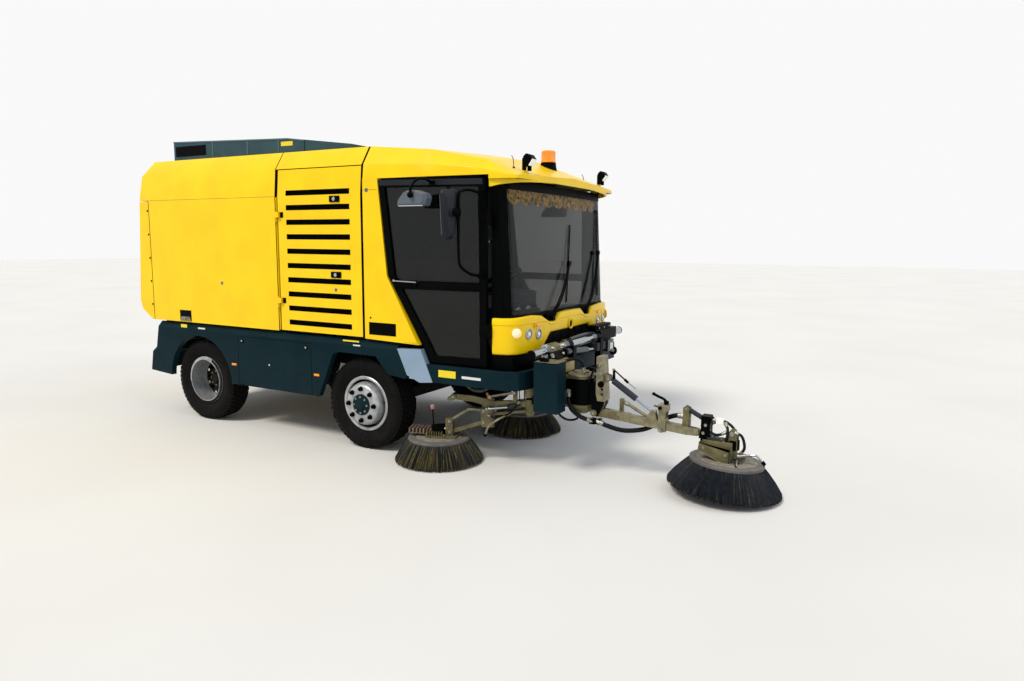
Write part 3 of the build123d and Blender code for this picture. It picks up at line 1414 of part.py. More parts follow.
def front_brush():
    """Front brush: steel disc and long splayed bristles on a tilted axis."""
    brush = bristle_disc(
        front_disc_radius, front_disc_height, front_disc_thickness, front_bristle_radius, 0, 24,
        front_disc_height + front_disc_thickness + moving_gap + 14,
    )
    return front_brush_frame() * brush


def build():
    """All nodes of the truck by name, in the building frame."""
    rear_x = -wheelbase
    pieces = {
        "chassis_frame": chassis_frame(),
        "front_axle": front_axle(),
        "rear_axle": rear_axle(),
        "tie_rod": tie_rod(),
        "engine_block": engine_block(),
        "side_skirts": side_skirts(),
        "front_apron": front_apron(),
        "rear_bumper": rear_bumper(),
        "cab_frame": cab_frame(),
        "cab_shell": cab_shell(),
        "windscreen": windscreen(),
        "front_panel": front_panel(),
        "dashboard": dashboard(),
        "seats": seats(),
        "roof_lamps": roof_lamps(),
        "engine_housing": engine_housing(),
        "hopper_body": hopper_body(),
        "roof_duct": roof_duct(duct_rear, hopper_front, body_crown_z + seat_gap),
        "tailgate": tailgate(),
        "suction_nozzle": suction_nozzle(),
        "suction_hose": suction_hose(),
        "brush_carrier": brush_carrier(),
        "valve_box": valve_box(),
        "arm_mast": arm_mast(),
        "boom": boom(),
        "arm_head": arm_head(),
        "front_brush": front_brush(),
    }
    tip_foot = (tip_anchor_x, 0, tip_anchor_z)
    tip_head = (tip_eye_x, 0, tip_eye_z)
    pieces["tip_barrel"] = cylinder_barrel(
        tip_foot, tip_head, tip_barrel_length, tip_barrel_radius, tip_anchor_pin_radius, tip_rod_radius, 30, 50,
    )
    pieces["tip_rod"] = cylinder_rod(
        tip_foot, tip_head, tip_rod_start, tip_eye_pin_radius, tip_rod_radius, tip_clevis_half - 6,
    )
    lift_foot = (lift_pin_x, slew_y, lift_pin_z)
    lift_head = (lift_eye_x, slew_y, lift_eye_z)
    pieces["lift_barrel"] = cylinder_barrel(
        lift_foot, lift_head, lift_barrel_length, lift_barrel_radius, lift_pin_radius, lift_rod_radius, 13, 32,
    )
    pieces["lift_rod"] = cylinder_rod(
        lift_foot, lift_head, lift_rod_start, lift_pin_radius, lift_rod_radius, lift_eye_half,
    )
    for side, name in ((-1, "right"), (1, "left")):
        pieces["knuckle_" + name] = knuckle(side)
        for end, x, offset in (("front", 0, front_disc_offset), ("rear", rear_x, rear_disc_offset)):
            place = (x, side * wheel_centre_y, axle_height)
            pieces["tyre_" + end + "_" + name] = tyre(place, side)
            pieces["rim_" + end + "_" + name] = rim(place, side, offset, end == "front")
        pieces["engine_door_" + name] = engine_door(side)
        pieces["door_frame_" + name] = door_frame(side)
        pieces["door_glass_" + name] = door_glass(side)
        pieces["mirrors_" + name] = mirrors(side)
        pieces["brush_base_" + name] = brush_base(side)
        pieces["lower_link_" + name] = brush_link(side, False)
        pieces["upper_link_" + name] = brush_link(side, True)
        pieces["brush_head_" + name] = brush_head(side)
        pieces["side_brush_" + name] = side_brush(side)
    return pieces


nodes = build()
whole = Compound([solid for piece in nodes.values() for solid in piece.solids()]).bounding_box()
shift = (-(whole.min.X + whole.max.X) / 2, -(whole.min.Y + whole.max.Y) / 2, -whole.min.Z)
placed = {name: Pos(*shift) * piece for name, piece in nodes.items()}
os.makedirs("parts", exist_ok=True)
for name, piece in placed.items():
    export_step(piece, "parts/" + name + ".step")
print(len(placed), "nodes, shift", [round(value, 3) for value in shift])
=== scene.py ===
"""Compact street sweeper truck: shapes, finishes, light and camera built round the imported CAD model.

Sizes are metres in the truck's own frame: X forward from the front axle, Y to the left, Z up from the
ground. Shape.piece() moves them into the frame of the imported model.
"""

import json
import logging
import math
from collections.abc import Callable, Iterable, Sequence
from dataclasses import dataclass, field
from enum import Enum

import bmesh
import bpy
from mathutils import Matrix, Vector

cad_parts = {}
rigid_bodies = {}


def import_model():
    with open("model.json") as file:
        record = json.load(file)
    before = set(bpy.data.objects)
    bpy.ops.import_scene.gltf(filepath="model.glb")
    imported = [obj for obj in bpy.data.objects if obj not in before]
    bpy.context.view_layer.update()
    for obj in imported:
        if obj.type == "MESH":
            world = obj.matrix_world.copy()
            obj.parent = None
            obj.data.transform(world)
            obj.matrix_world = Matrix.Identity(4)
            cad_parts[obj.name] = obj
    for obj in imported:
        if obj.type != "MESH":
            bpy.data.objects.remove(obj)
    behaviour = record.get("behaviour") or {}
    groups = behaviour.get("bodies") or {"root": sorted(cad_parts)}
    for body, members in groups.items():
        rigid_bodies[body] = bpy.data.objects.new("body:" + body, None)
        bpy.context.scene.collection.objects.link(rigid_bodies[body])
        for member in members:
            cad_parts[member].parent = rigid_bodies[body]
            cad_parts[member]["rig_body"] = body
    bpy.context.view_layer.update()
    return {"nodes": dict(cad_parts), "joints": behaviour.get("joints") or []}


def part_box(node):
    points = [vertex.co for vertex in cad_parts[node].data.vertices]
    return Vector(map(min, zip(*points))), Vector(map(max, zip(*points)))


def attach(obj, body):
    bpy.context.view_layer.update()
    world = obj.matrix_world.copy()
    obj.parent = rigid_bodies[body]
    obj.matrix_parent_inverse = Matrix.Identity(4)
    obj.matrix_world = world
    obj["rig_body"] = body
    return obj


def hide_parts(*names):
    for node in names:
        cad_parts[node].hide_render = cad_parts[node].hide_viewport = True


LOG = logging.getLogger("sweeper")
GOLDEN_ANGLE = 2.399963

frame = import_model()
AXLE_X = sum(corner.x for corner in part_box("tyre_front_right")) / 2
JOINTS = {joint["name"]: joint for joint in frame["joints"]}

Point = tuple[float, float, float]
Zone = tuple[Callable[[Vector, Vector], bool], "Finish"]


class Side(Enum):
    """Side of the truck, as the sign of its Y."""

    RIGHT = -1
    LEFT = 1

    @property
    def label(self) -> str:
        """Name of the side as the CAD nodes have it."""
        return self.name.lower()


class Grain(Enum):
    """How fine the surface pattern is along X, Y and Z."""

    EVEN = (1.0, 1.0, 1.0)
    ALONG = (0.06, 1.0, 1.0)
    ACROSS = (1.0, 0.06, 1.0)
    UPRIGHT = (1.0, 1.0, 0.06)


def linear(code: str) -> tuple[float, float, float, float]:
    """Turns an sRGB hex colour into linear values.

    Args:
        code: Colour such as "#F6D301".

    Returns:
        Linear red, green, blue and an alpha of one.
    """
    parts = [int(code[index:index + 2], 16) / 255 for index in (1, 3, 5)]
    return tuple(c / 12.92 if c <= 0.04045 else ((c + 0.055) / 1.055) ** 2.4 for c in parts) + (1.0,)


def add_node(tree: bpy.types.NodeTree, kind: str, links: dict | None = None, **settings) -> bpy.types.Node:
    """Adds a node with its settings, values and links.

    Args:
        tree: Node tree that gets the node.
        kind: Blender's name of the node type.
        links: Socket name or number to a value, or to the output that feeds it.
        **settings: Attributes of the node itself.

    Returns:
        The new node.
    """
    node = tree.nodes.new(kind)
    for key, value in settings.items():
        setattr(node, key, value)
    for key, value in (links or {}).items():
        if isinstance(value, bpy.types.NodeSocket):
            tree.links.new(value, node.inputs[key])
        else:
            node.inputs[key].default_value = value
    return node


@dataclass(frozen=True)
class Finish:
    """Opaque surface: two close colours, roughness, a fine grain and the road dust that it carries."""

    name: str
    colour: str
    drift: str
    roughness: float = 0.5
    metallic: float = 0.0
    coat: float = 0.0
    patch_mm: float = 260.0
    grain_mm: float = 4.0
    bump_mm: float = 0.05
    spread: float = 0.06
    dust: float = 0.0
    dust_top: float = 0.9
    grain: Grain = Grain.EVEN
    glow: float = 0.0
    sheen: float = 0.5

    def material(self) -> bpy.types.Material:
        """Material of this finish, made once.

        Returns:
            The material.
        """
        if self.name in bpy.data.materials:
            return bpy.data.materials[self.name]
        made = bpy.data.materials.new(self.name)
        made.use_nodes = True
        made.diffuse_color = linear(self.colour)
        tree = made.node_tree
        tree.nodes.clear()
        coords = add_node(tree, "ShaderNodeTexCoord").outputs["Object"]
        along = add_node(tree, "ShaderNodeMapping", {"Vector": coords, "Scale": self.grain.value}).outputs[0]
        patch = add_node(
            tree, "ShaderNodeTexNoise", {"Vector": coords, "Scale": 1000 / self.patch_mm, "Detail": 4.0}
        )
        share = add_node(
            tree, "ShaderNodeMapRange",
            {"Value": patch.outputs[0], "From Min": 0.36, "From Max": 0.66, "To Min": 0.0, "To Max": 1.0},
        )
        colour = add_node(
            tree, "ShaderNodeMix", {0: share.outputs[0], 6: linear(self.colour), 7: linear(self.drift)},
            data_type="RGBA",
        ).outputs[2]
        grain = add_node(
            tree, "ShaderNodeTexNoise", {"Vector": along, "Scale": 1000 / self.grain_mm, "Detail": 2.0}
        )
        rough = add_node(
            tree, "ShaderNodeMapRange",
            {
                "Value": grain.outputs[0], "From Min": 0.3, "From Max": 0.7,
                "To Min": max(self.roughness - self.spread, 0.02),
                "To Max": min(self.roughness + self.spread, 1.0),
            },
        )
        if self.dust:
            colour = self._dusted(tree, coords, colour)
        bump = add_node(
            tree, "ShaderNodeBump",
            {"Strength": 0.7, "Distance": self.bump_mm / 1000, "Height": grain.outputs[0]},
        )
        inputs = {
            "Base Color": colour, "Metallic": self.metallic, "Roughness": rough.outputs[0],
            "Normal": bump.outputs[0], "Coat Weight": self.coat, "Coat Roughness": 0.08,
            "Specular IOR Level": self.sheen,
        }
        if self.glow:
            inputs |= {"Emission Color": linear(self.colour), "Emission Strength": self.glow}
        shader = add_node(tree, "ShaderNodeBsdfPrincipled", inputs)
        add_node(tree, "ShaderNodeOutputMaterial", {"Surface": shader.outputs[0]})
        return made

    def _dusted(
        self, tree: bpy.types.NodeTree, coords: bpy.types.NodeSocket, colour: bpy.types.NodeSocket,
    ) -> bpy.types.NodeSocket:
        """Adds road dust that thins out with the height above the ground.

        Args:
            tree: Node tree of the material.
            coords: Object coordinates.
            colour: Clean colour.

        Returns:
            The dusted colour.
        """
        height = add_node(tree, "ShaderNodeSeparateXYZ", {"Vector": coords}).outputs[2]
        fade = add_node(
            tree, "ShaderNodeMapRange",
            {"Value": height, "From Min": 0.0, "From Max": self.dust_top, "To Min": self.dust, "To Max": 0.0},
        )
        blot = add_node(tree, "ShaderNodeTexNoise", {"Vector": coords, "Scale": 24.0, "Detail": 6.0})
        spots = add_node(
            tree, "ShaderNodeMapRange",
            {"Value": blot.outputs[0], "From Min": 0.35, "From Max": 0.65, "To Min": 0.25, "To Max": 1.0},
        )
        share = add_node(
            tree, "ShaderNodeMath", {0: fade.outputs[0], 1: spots.outputs[0]}, operation="MULTIPLY",
        )
        return add_node(
            tree, "ShaderNodeMix", {0: share.outputs[0], 6: colour, 7: linear("#8C8273")}, data_type="RGBA",
        ).outputs[2]


@dataclass(frozen=True)
class Glazing:
    """Thin glass with faint smears: what it doesn't hold back shows through."""

    name: str
    tint: str
    cover: float
    roughness: float = 0.02

    def material(self) -> bpy.types.Material:
        """Material of this glass, made once.

        Returns:
            The material.
        """
        if self.name in bpy.data.materials:
            return bpy.data.materials[self.name]
        made = bpy.data.materials.new(self.name)
        made.use_nodes = True
        tree = made.node_tree
        tree.nodes.clear()
        coords = add_node(tree, "ShaderNodeTexCoord").outputs["Object"]
        smear = add_node(tree, "ShaderNodeTexNoise", {"Vector": coords, "Scale": 6.0, "Detail": 5.0})
        rough = add_node(
            tree, "ShaderNodeMapRange",
            {
                "Value": smear.outputs[0], "From Min": 0.4, "From Max": 0.7,
                "To Min": self.roughness, "To Max": self.roughness + 0.05,
            },
        )
        shader = add_node(
            tree, "ShaderNodeBsdfPrincipled",
            {
                "Base Color": linear(self.tint), "Roughness": rough.outputs[0], "IOR": 1.45,
                "Alpha": self.cover
            },
        )
        add_node(tree, "ShaderNodeOutputMaterial", {"Surface": shader.outputs[0]})
        return made


# Two-pack gloss paint sprayed on steel: deep colour, a clear coat, a faint orange peel of 6 mm
YELLOW = Finish(
    "sprayed_yellow_gloss_paint", "#F6CE00", "#F1C600", 0.34, coat=0.12, grain_mm=6, bump_mm=0.03,
    dust=0.05, sheen=0.2,
)
# The same paint where folds and joints hold grime
SEAM = Finish("grimy_paint_joint", "#6E5A08", "#4A3D0A", 0.7, grain_mm=2)
# Powder-coated steel in dark blue-green: satin, a little chalky low down
GREEN = Finish(
    "powder_coated_dark_green_steel", "#0A2027", "#0D252C", 0.45, grain_mm=3, bump_mm=0.06, dust=0.03,
    sheen=0.04,
)
# Pale blue-grey powder coat of the corner panels
PALE_BLUE = Finish("powder_coated_pale_blue_steel", "#8299B0", "#7890A8", 0.4, coat=0.1, grain_mm=3, dust=0.1)
# Slate-coloured moulded polyester of the roof duct
SLATE = Finish("moulded_slate_polyester", "#2B4450", "#33505D", 0.5, grain_mm=5, bump_mm=0.12, sheen=0.15)
SLATE_EDGE = Finish("worn_slate_edge", "#56727D", "#4A6470", 0.5, grain_mm=5, sheen=0.2)
# Black satin paint on the cab frame, the carriage and the small iron work
BLACK = Finish("black_satin_paint", "#020303", "#040506", 0.42, grain_mm=3, bump_mm=0.06, sheen=0.03)
# Chassis paint: grey-black, matt and dusty from the road
CHASSIS = Finish(
    "dusty_chassis_paint", "#0C0D0E", "#131312", 0.7, grain_mm=2, bump_mm=0.15, dust=0.10, sheen=0.06
)
# Yellow-passivated zinc plate: olive, with greener and browner patches
OLIVE = Finish(
    "olive_passivated_zinc", "#746F4C", "#57523A", 0.42, metallic=0.35, patch_mm=70, grain_mm=2.5,
    bump_mm=0.08, dust=0.12, dust_top=0.6, sheen=0.3,
)
# Ochre zinc plate of the slewing drive's bracket, yellower than the arms
OCHRE_ZINC = Finish("ochre_passivated_zinc", "#9C8442", "#80703F", 0.42, metallic=0.35, patch_mm=60)
# Galvanised steel gone grey-brown in use, with soft spangle
ZINC = Finish(
    "pale_galvanised_steel", "#8C866A", "#6C6651", 0.42, metallic=0.45, patch_mm=45, grain_mm=3, bump_mm=0.06,
    dust=0.1, dust_top=0.6, sheen=0.4,
)
# Hard chrome on the rail and the piston rods
CHROME = Finish(
    "hard_chrome", "#AEB4B8", "#A0A6AA", 0.18, metallic=1.0, grain_mm=1.5, bump_mm=0.01, grain=Grain.ACROSS
)
# Zinc-plated bolt heads: duller than the rods, a little brown
BOLT = Finish("zinc_plated_bolt", "#96958C", "#7E7C70", 0.4, metallic=0.7, patch_mm=30, grain_mm=1.5)
# Steel road wheels: silver paint, dull with brake dust near the hub
SILVER = Finish(
    "silver_wheel_paint", "#B4B7BA", "#989B9E", 0.36, metallic=0.45, patch_mm=60, grain_mm=2, dust=0.10
)
# Vulcanised tyre rubber: near black, matt, brown with road film
RUBBER = Finish(
    "vulcanised_tyre_rubber", "#08080A", "#0D0D0E", 0.8, patch_mm=90, grain_mm=2, bump_mm=0.2, dust=0.03,
    sheen=0.08,
)
# Rubber-covered hydraulic hose
HOSE = Finish(
    "hydraulic_hose_rubber", "#08080A", "#0E0F11", 0.5, patch_mm=40, grain_mm=1.5, bump_mm=0.12, sheen=0.14
)
# Dark blue enamel on the hydraulic cylinders
CYLINDER = Finish("dark_blue_enamel", "#131B27", "#1A2430", 0.3, coat=0.15, grain_mm=3, sheen=0.3)
# Glass-filled nylon of mirror shells and handles: dark grey, fine leather grain
NYLON = Finish("moulded_grey_nylon", "#14181F", "#1A1F27", 0.45, grain_mm=1.5, bump_mm=0.1, sheen=0.2)
KERB_NYLON = Finish("moulded_pale_nylon", "#5E6670", "#525A64", 0.48, grain_mm=1.5, bump_mm=0.1, sheen=0.2)
# Soft-touch moulding of the dashboard
DASH = Finish("grained_dashboard_plastic", "#2B3033", "#34393C", 0.62, grain_mm=2, bump_mm=0.18, sheen=0.2)
# Seat cover cloth: dark grey flat weave, drawn at 3 mm so that it shows
CLOTH = Finish("woven_seat_cloth", "#2C3037", "#383D46", 0.9, patch_mm=50, grain_mm=3, bump_mm=0.4)
# Gold furnishing cloth of the pelmet, with near-black brown patches that are painted shade of its folds
GOLD_CLOTH = Finish(
    "gold_pelmet_cloth", "#FFC445", "#2E1D0A", 0.88, patch_mm=26, grain_mm=3, bump_mm=0.4, sheen=0.1
)
# Crimped polypropylene and steel bristles: blue-black, straw yellow and rusty
BRISTLE_DARK = Finish("blue_black_bristle", "#14171D", "#20252C", 0.6, patch_mm=30, grain_mm=2, sheen=0.15)
BRISTLE_STRAW = Finish("straw_yellow_bristle", "#6E6426", "#4C451F", 0.65, patch_mm=30, grain_mm=2, sheen=0.3)
BRISTLE_BROWN = Finish("dusty_brown_bristle", "#433C31", "#57503F", 0.7, patch_mm=30, grain_mm=2, sheen=0.3)
BRISTLE_RUST = Finish("rusty_steel_bristle", "#4A3230", "#5D3A30", 0.6, patch_mm=30, grain_mm=2, sheen=0.3)
# Brush disc: bare steel with dried dirt
DIRTY_STEEL = Finish(
    "dirt_caked_steel", "#5C5B5C", "#6E6A65", 0.75, metallic=0.1, patch_mm=60, grain_mm=3, bump_mm=0.3
)
DRIED_DIRT = Finish("dried_dirt_on_steel", "#8D8576", "#6E685D", 0.85, patch_mm=50, grain_mm=3, bump_mm=0.3)
# Grey cast iron of the engine and the pumps
IRON = Finish("grey_cast_iron", "#1D1D1E", "#282726", 0.7, metallic=0.2, grain_mm=2.5, bump_mm=0.3)
# Lamp lenses: amber acrylic that the bulb lights, clear acrylic, red acrylic, and their chromed dishes
AMBER = Finish("amber_acrylic_lens", "#EE7F08", "#F39A1C", 0.12, coat=0.4, grain_mm=6, glow=0.15, sheen=0.3)
WHITE_LENS = Finish("clear_acrylic_lens", "#F2F1E6", "#FFFFFF", 0.1, coat=0.8, grain_mm=6)
LIT_LENS = Finish("lit_headlamp_lens", "#F6E9B4", "#FBF3D2", 0.15, coat=0.3, grain_mm=6, glow=0.14, sheen=0.2)
RED_LENS = Finish("red_acrylic_lens", "#A5120E", "#C2201A", 0.12, coat=0.6, grain_mm=6)
REFLECTOR = Finish("chromed_lamp_dish", "#8C8F8E", "#5B5E60", 0.16, metallic=1.0, grain_mm=10, bump_mm=0.01)
# Printed vinyl labels, bare of any print
YELLOW_LABEL = Finish("yellow_vinyl_label", "#E9D51B", "#E2CC18", 0.4, grain_mm=2, bump_mm=0.01)
WHITE_LABEL = Finish("white_vinyl_label", "#D9DCDC", "#CED2D2", 0.4, grain_mm=2, bump_mm=0.01)
ORANGE = Finish("orange_lever_paint", "#B4611C", "#9A5116", 0.45, grain_mm=2)
# Faded vinyl knob on the height crank
PINK_VINYL = Finish("pink_vinyl_knob", "#B98A86", "#A87974", 0.5)
# Rusty brackets that worked near the brushes: brown with bare grey patches
RUSTY = Finish(
    "rusty_mild_steel", "#6A4632", "#7D766B", 0.75, metallic=0.2, patch_mm=25, grain_mm=2, bump_mm=0.2
)
# Laminated windscreen, faintly green, and the dark toughened glass of the doors: the near-black share that
# each holds back is partly tint and partly painted shade of the dim cab behind
SCREEN = Glazing("laminated_windscreen_glass", "#0F1D1A", 0.28)
DOOR_GLASS = Glazing("dark_toughened_glass", "#030606", 0.66)
MIRROR_GLASS = Finish(
    "silvered_mirror_glass", "#C9D0D4", "#BFC7CB", 0.04, metallic=1.0, grain_mm=20, bump_mm=0.0
)


class Shape:
    """Closed shells gathered for one piece, each with its finish."""

    def __init__(self, at: Matrix | None = None) -> None:
        """Starts an empty shape.

        Args:
            at: Matrix that takes the shape's own coordinates to the truck's.
        """
        self.mesh = bmesh.new()
        self.finishes: list[Finish | Glazing] = []
        self.at = at or Matrix.Identity(4)

    def _index(self, finish: Finish | Glazing) -> int:
        """Number of a finish in this shape."""
        if finish not in self.finishes:
            self.finishes.append(finish)
        return self.finishes.index(finish)

    def faces(
        self, points: Sequence[Point], loops: Iterable[Sequence[int]], finish: Finish | Glazing
    ) -> "Shape":
        """Adds faces on points.

        Args:
            points: Corners.
            loops: For each face, the numbers of its corners.
            finish: Finish of the faces.

        Returns:
            The shape itself.
        """
        number = self._index(finish)
        corners = [self.mesh.verts.new(point) for point in points]
        for loop in loops:
            self.mesh.faces.new([corners[index] for index in loop]).material_index = number
        return self

    def rings(
        self, rings: Sequence[Sequence[Point]], finish: Finish | Glazing, closed: bool = False
    ) -> "Shape":
        """Skins rings of equally many points, with a cap at each end.

        Args:
            rings: The rings in order.
            finish: Finish of the skin.
            closed: Whether the last ring joins the first instead of caps.

        Returns:
            The shape itself.
        """
        count = len(rings[0])
        points = [point for ring in rings for point in ring]
        loops = []
        last = len(rings) if closed else len(rings) - 1
        for index in range(last):
            here, there = index * count, (index + 1) % len(rings) * count
            loops += [
                (here + k, here + (k + 1) % count, there + (k + 1) % count, there + k) for k in range(count)
            ]
        if not closed:
            loops += [tuple(reversed(range(count))), tuple(range(last * count, (last + 1) * count))]
        return self.faces(points, loops, finish)

    def prism(
        self, outline: Sequence[tuple[float, float]], axis: str, low: float, high: float,
        finish: Finish | Glazing,
    ) -> "Shape":
        """Adds an outline made solid along an axis.

        Args:
            outline: Points in the other two axes, in alphabetical order.
            axis: "x", "y" or "z".
            low: Lower end along the axis.
            high: Upper end along the axis.
            finish: Finish of the faces.

        Returns:
            The shape itself.
        """
        spot = "xyz".index(axis)
        ends = []
        for value in (low, high):
            ring = []
            for pair in outline:
                point = list(pair)
                point.insert(spot, value)
                ring.append(tuple(point))
            ends.append(ring)
        return self.rings(ends, finish)

    def box(
        self, x: tuple[float, float], y: tuple[float, float], z: tuple[float, float],
        finish: Finish | Glazing,
    ) -> "Shape":
        """Adds a block between three pairs of limits."""
        return self.prism([(x[0], y[0]), (x[1], y[0]), (x[1], y[1]), (x[0], y[1])], "z", z[0], z[1], finish)

    def lathe(
        self, profile: Sequence[tuple[float, float]], centre: Point, axis: Point, finish: Finish | Glazing,
        steps: int = 40,
    ) -> "Shape":
        """Adds a closed profile turned about an axis.

        Args:
            profile: Points of radius and distance along the axis, closed; zero radius is a pole.
            centre: Start of the axis.
            axis: Direction of the axis.
            finish: Finish of the skin.
            steps: Facets of a full turn.

        Returns:
            The shape itself.
        """
        turn = Vector(axis).to_track_quat("Z", "Y")
        ring = []
        for step in range(steps):
            angle = 2 * math.pi * step / steps
            ring.append([
                tuple(Vector(centre) + turn @ Vector((r * math.cos(angle), r * math.sin(angle), a)))
                for r, a in profile
            ])
        return self.rings(ring, finish, closed=True)

    def turned(
        self, profile: Sequence[tuple[float, float]], finish: Finish | Glazing, steps: int = 40,
    ) -> "Shape":
        """Adds a closed profile turned about the shape's own Z axis."""
        return self.lathe(profile, (0, 0, 0), (0, 0, 1), finish, steps)

    def rod(
        self, start: Point, end: Point, radius: float, finish: Finish | Glazing, steps: int = 20
    ) -> "Shape":
        """Adds a round bar between two points.

        Args:
            start: Middle of one end.
            end: Middle of the other end.
            radius: Radius of the bar.
            finish: Finish of the bar.
            steps: Facets round it.

        Returns:
            The shape itself.
        """
        along = Vector(end) - Vector(start)
        profile = [(0.0, 0.0), (radius, 0.0), (radius, along.length), (0.0, along.length)]
        return self.lathe(profile, start, tuple(along), finish, steps)

    def ball(self, centre: Point, radius: float, finish: Finish | Glazing, steps: int = 16) -> "Shape":
        """Adds a ball.

        Args:
            centre: Middle of the ball.
            radius: Radius of the ball.
            finish: Finish of the ball.
            steps: Facets round it.

        Returns:
            The shape itself.
        """
        half = steps // 2
        profile = [
            (radius * math.sin(math.pi * k / half), -radius * math.cos(math.pi * k / half))
            for k in range(half + 1)
        ]
        return self.lathe(profile, centre, (0, 0, 1), finish, steps)

    def tube(
        self, points: Sequence[Point], radius: float, finish: Finish | Glazing, sides: int = 12,
        steps: int = 8,
    ) -> "Shape":
        """Adds a round tube along a smooth line through points.

        Args:
            points: Points that the line passes.
            radius: Radius of the tube.
            finish: Finish of the tube.
            sides: Facets round it.
            steps: Pieces of line between two points.

        Returns:
            The shape itself.
        """
        line = smooth_line([Vector(point) for point in points], steps)
        side = (line[1] - line[0]).orthogonal().normalized()
        rings = []
        for index, here in enumerate(line):
            before, after = line[max(index - 1, 0)], line[min(index + 1, len(line) - 1)]
            along = (after - before).normalized()
            side = (side - along * side.dot(along)).normalized()
            other = along.cross(side)
            angles = [2 * math.pi * k / sides for k in range(sides)]
            rings.append([tuple(here + (side * math.cos(a) + other * math.sin(a)) * radius) for a in angles])
        return self.rings(rings, finish)

    def hose(self, points: Sequence[Point], radius: float, finish: Finish | None = None) -> "Shape":
        """Adds a hose through points, with a crimped ferrule and a nut at each end.

        Args:
            points: Points that the hose passes.
            radius: Outer radius of the hose.
            finish: Finish of the hose, or none for rubber.

        Returns:
            The shape itself.
        """
        self.tube(points, radius, finish or HOSE)
        for end, inner in ((points[0], points[1]), (points[-1], points[-2])):
            along = (Vector(inner) - Vector(end)).normalized()
            nut = Vector(end) - along * radius * 0.8
            self.rod(tuple(nut), tuple(Vector(end) + along * radius * 0.9), radius * 1.45, BOLT, 6)
            self.rod(end, tuple(Vector(end) + along * radius * 2.6), radius * 1.18, BOLT, 14)
        return self

    def object(self, name: str, crease: float = 32.0) -> bpy.types.Object:
        """Makes a plain object of the shape at the origin.

        Args:
            name: Name of the object.
            crease: Angle in degrees above which an edge is sharp.

        Returns:
            The object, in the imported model's frame.
        """
        self.mesh.transform(Matrix.Translation((AXLE_X, 0, 0)) @ self.at)
        bmesh.ops.remove_doubles(self.mesh, verts=self.mesh.verts, dist=2e-6)
        bmesh.ops.recalc_face_normals(self.mesh, faces=self.mesh.faces)
        made = mesh_object(name, self.mesh, crease)
        for finish in self.finishes:
            made.data.materials.append(finish.material())
        return made

    def piece(
        self, name: str, body: str, slot: str, bevel: float = 0.0015, replaces: Sequence[str] = (),
        crease: float = 32.0,
    ) -> bpy.types.Object:
        """Makes the shape a piece of the truck.

        Args:
            name: Name of the piece.
            body: CAD body that it rides on.
            slot: Material slot of the record; not used.
            bevel: Width of the rounding on its edges.
            replaces: CAD nodes that it stands for.
            crease: Angle in degrees above which an edge is sharp.

        Returns:
            The piece.
        """
        made = self.object(name, crease)
        return finish_piece(made, body, bevel, replaces)


def smooth_line(points: Sequence[Vector], steps: int) -> list[Vector]:
    """Points of a smooth line through the given ones.

    Args:
        points: Points that the line passes.
        steps: Pieces between two of them.

    Returns:
        The finer points.
    """
    if len(points) == 2:
        return list(points)
    padded = [2 * points[0] - points[1], *points, 2 * points[-1] - points[-2]]
    line = []
    for a, b, c, d in zip(padded, padded[1:], padded[2:], padded[3:]):
        for step in range(steps):
            t = step / steps
            line.append(
                0.5 * (
                    2 * b + (c - a) * t + (2 * a - 5 * b + 4 * c - d) * t * t
                    + (3 * b - a - 3 * c + d) * t ** 3
                )
            )
    return [*line, points[-1]]


def mesh_object(name: str, mesh: bmesh.types.BMesh, crease: float) -> bpy.types.Object:
    """Turns a bmesh into a linked object with smooth faces and sharp edges.

    Args:
        name: Name of the object.
        mesh: The bmesh, which is freed.
        crease: Angle in degrees above which an edge is sharp.

    Returns:
        The object.
    """
    for edge in mesh.edges:
        edge.smooth = len(edge.link_faces) == 2 and edge.calc_face_angle(3.2) < math.radians(crease)
    for face in mesh.faces:
        face.smooth = True
    data = bpy.data.meshes.new(name)
    mesh.to_mesh(data)
    mesh.free()
    made = bpy.data.objects.new(name, data)
    bpy.context.scene.collection.objects.link(made)
    return made


def finish_piece(
    made: bpy.types.Object, body: str, bevel: float, replaces: Sequence[str] = (),
) -> bpy.types.Object:
    """Rounds an object's edges and makes it ride on a body.

    Args:
        made: The object, in place.
        body: CAD body that it rides on.
        bevel: Width of the rounding, or zero.
        replaces: CAD nodes that it stands for.

    Returns:
        The object.
    """
    if bevel:
        rounding = made.modifiers.new("edges", "BEVEL")
        rounding.width = bevel
        rounding.segments = 2
        rounding.limit_method = "ANGLE"
        rounding.angle_limit = math.radians(38)
        rounding.use_clamp_overlap = True
        rounding.harden_normals = True
    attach(made, body)
    if replaces:
        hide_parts(*replaces)
    LOG.info("piece %s on %s: %d faces", made.name, body, len(made.data.polygons))
    return made


def dress(
    node: str, finish: Finish | Glazing, bevel: float = 0.002, zones: Sequence[Zone] = ()
) -> bpy.types.Object:
    """Makes a merged and rounded copy of a CAD node that stands for it.

    Args:
        node: CAD node.
        finish: Finish of its faces.
        bevel: Width of the rounding on its edges.
        zones: Tests of a face's centre in the truck's frame and its normal, each with its own finish.

    Returns:
        The piece.
    """
    source = frame["nodes"][node]
    mesh = bmesh.new()
    mesh.from_mesh(source.data)
    bmesh.ops.remove_doubles(mesh, verts=mesh.verts, dist=1e-5)
    bmesh.ops.dissolve_limit(mesh, angle_limit=math.radians(0.6), verts=mesh.verts, edges=mesh.edges)
    finishes = [finish, *dict.fromkeys(other for _, other in zones)]
    for face in mesh.faces:
        centre = face.calc_center_median() - Vector((AXLE_X, 0, 0))
        chosen = next((other for test, other in zones if test(centre, face.normal)), finish)
        face.material_index = finishes.index(chosen)
    made = mesh_object("skin_" + node, mesh, 30)
    for each in finishes:
        made.data.materials.append(each.material())
    return finish_piece(made, source["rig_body"], bevel, [node])


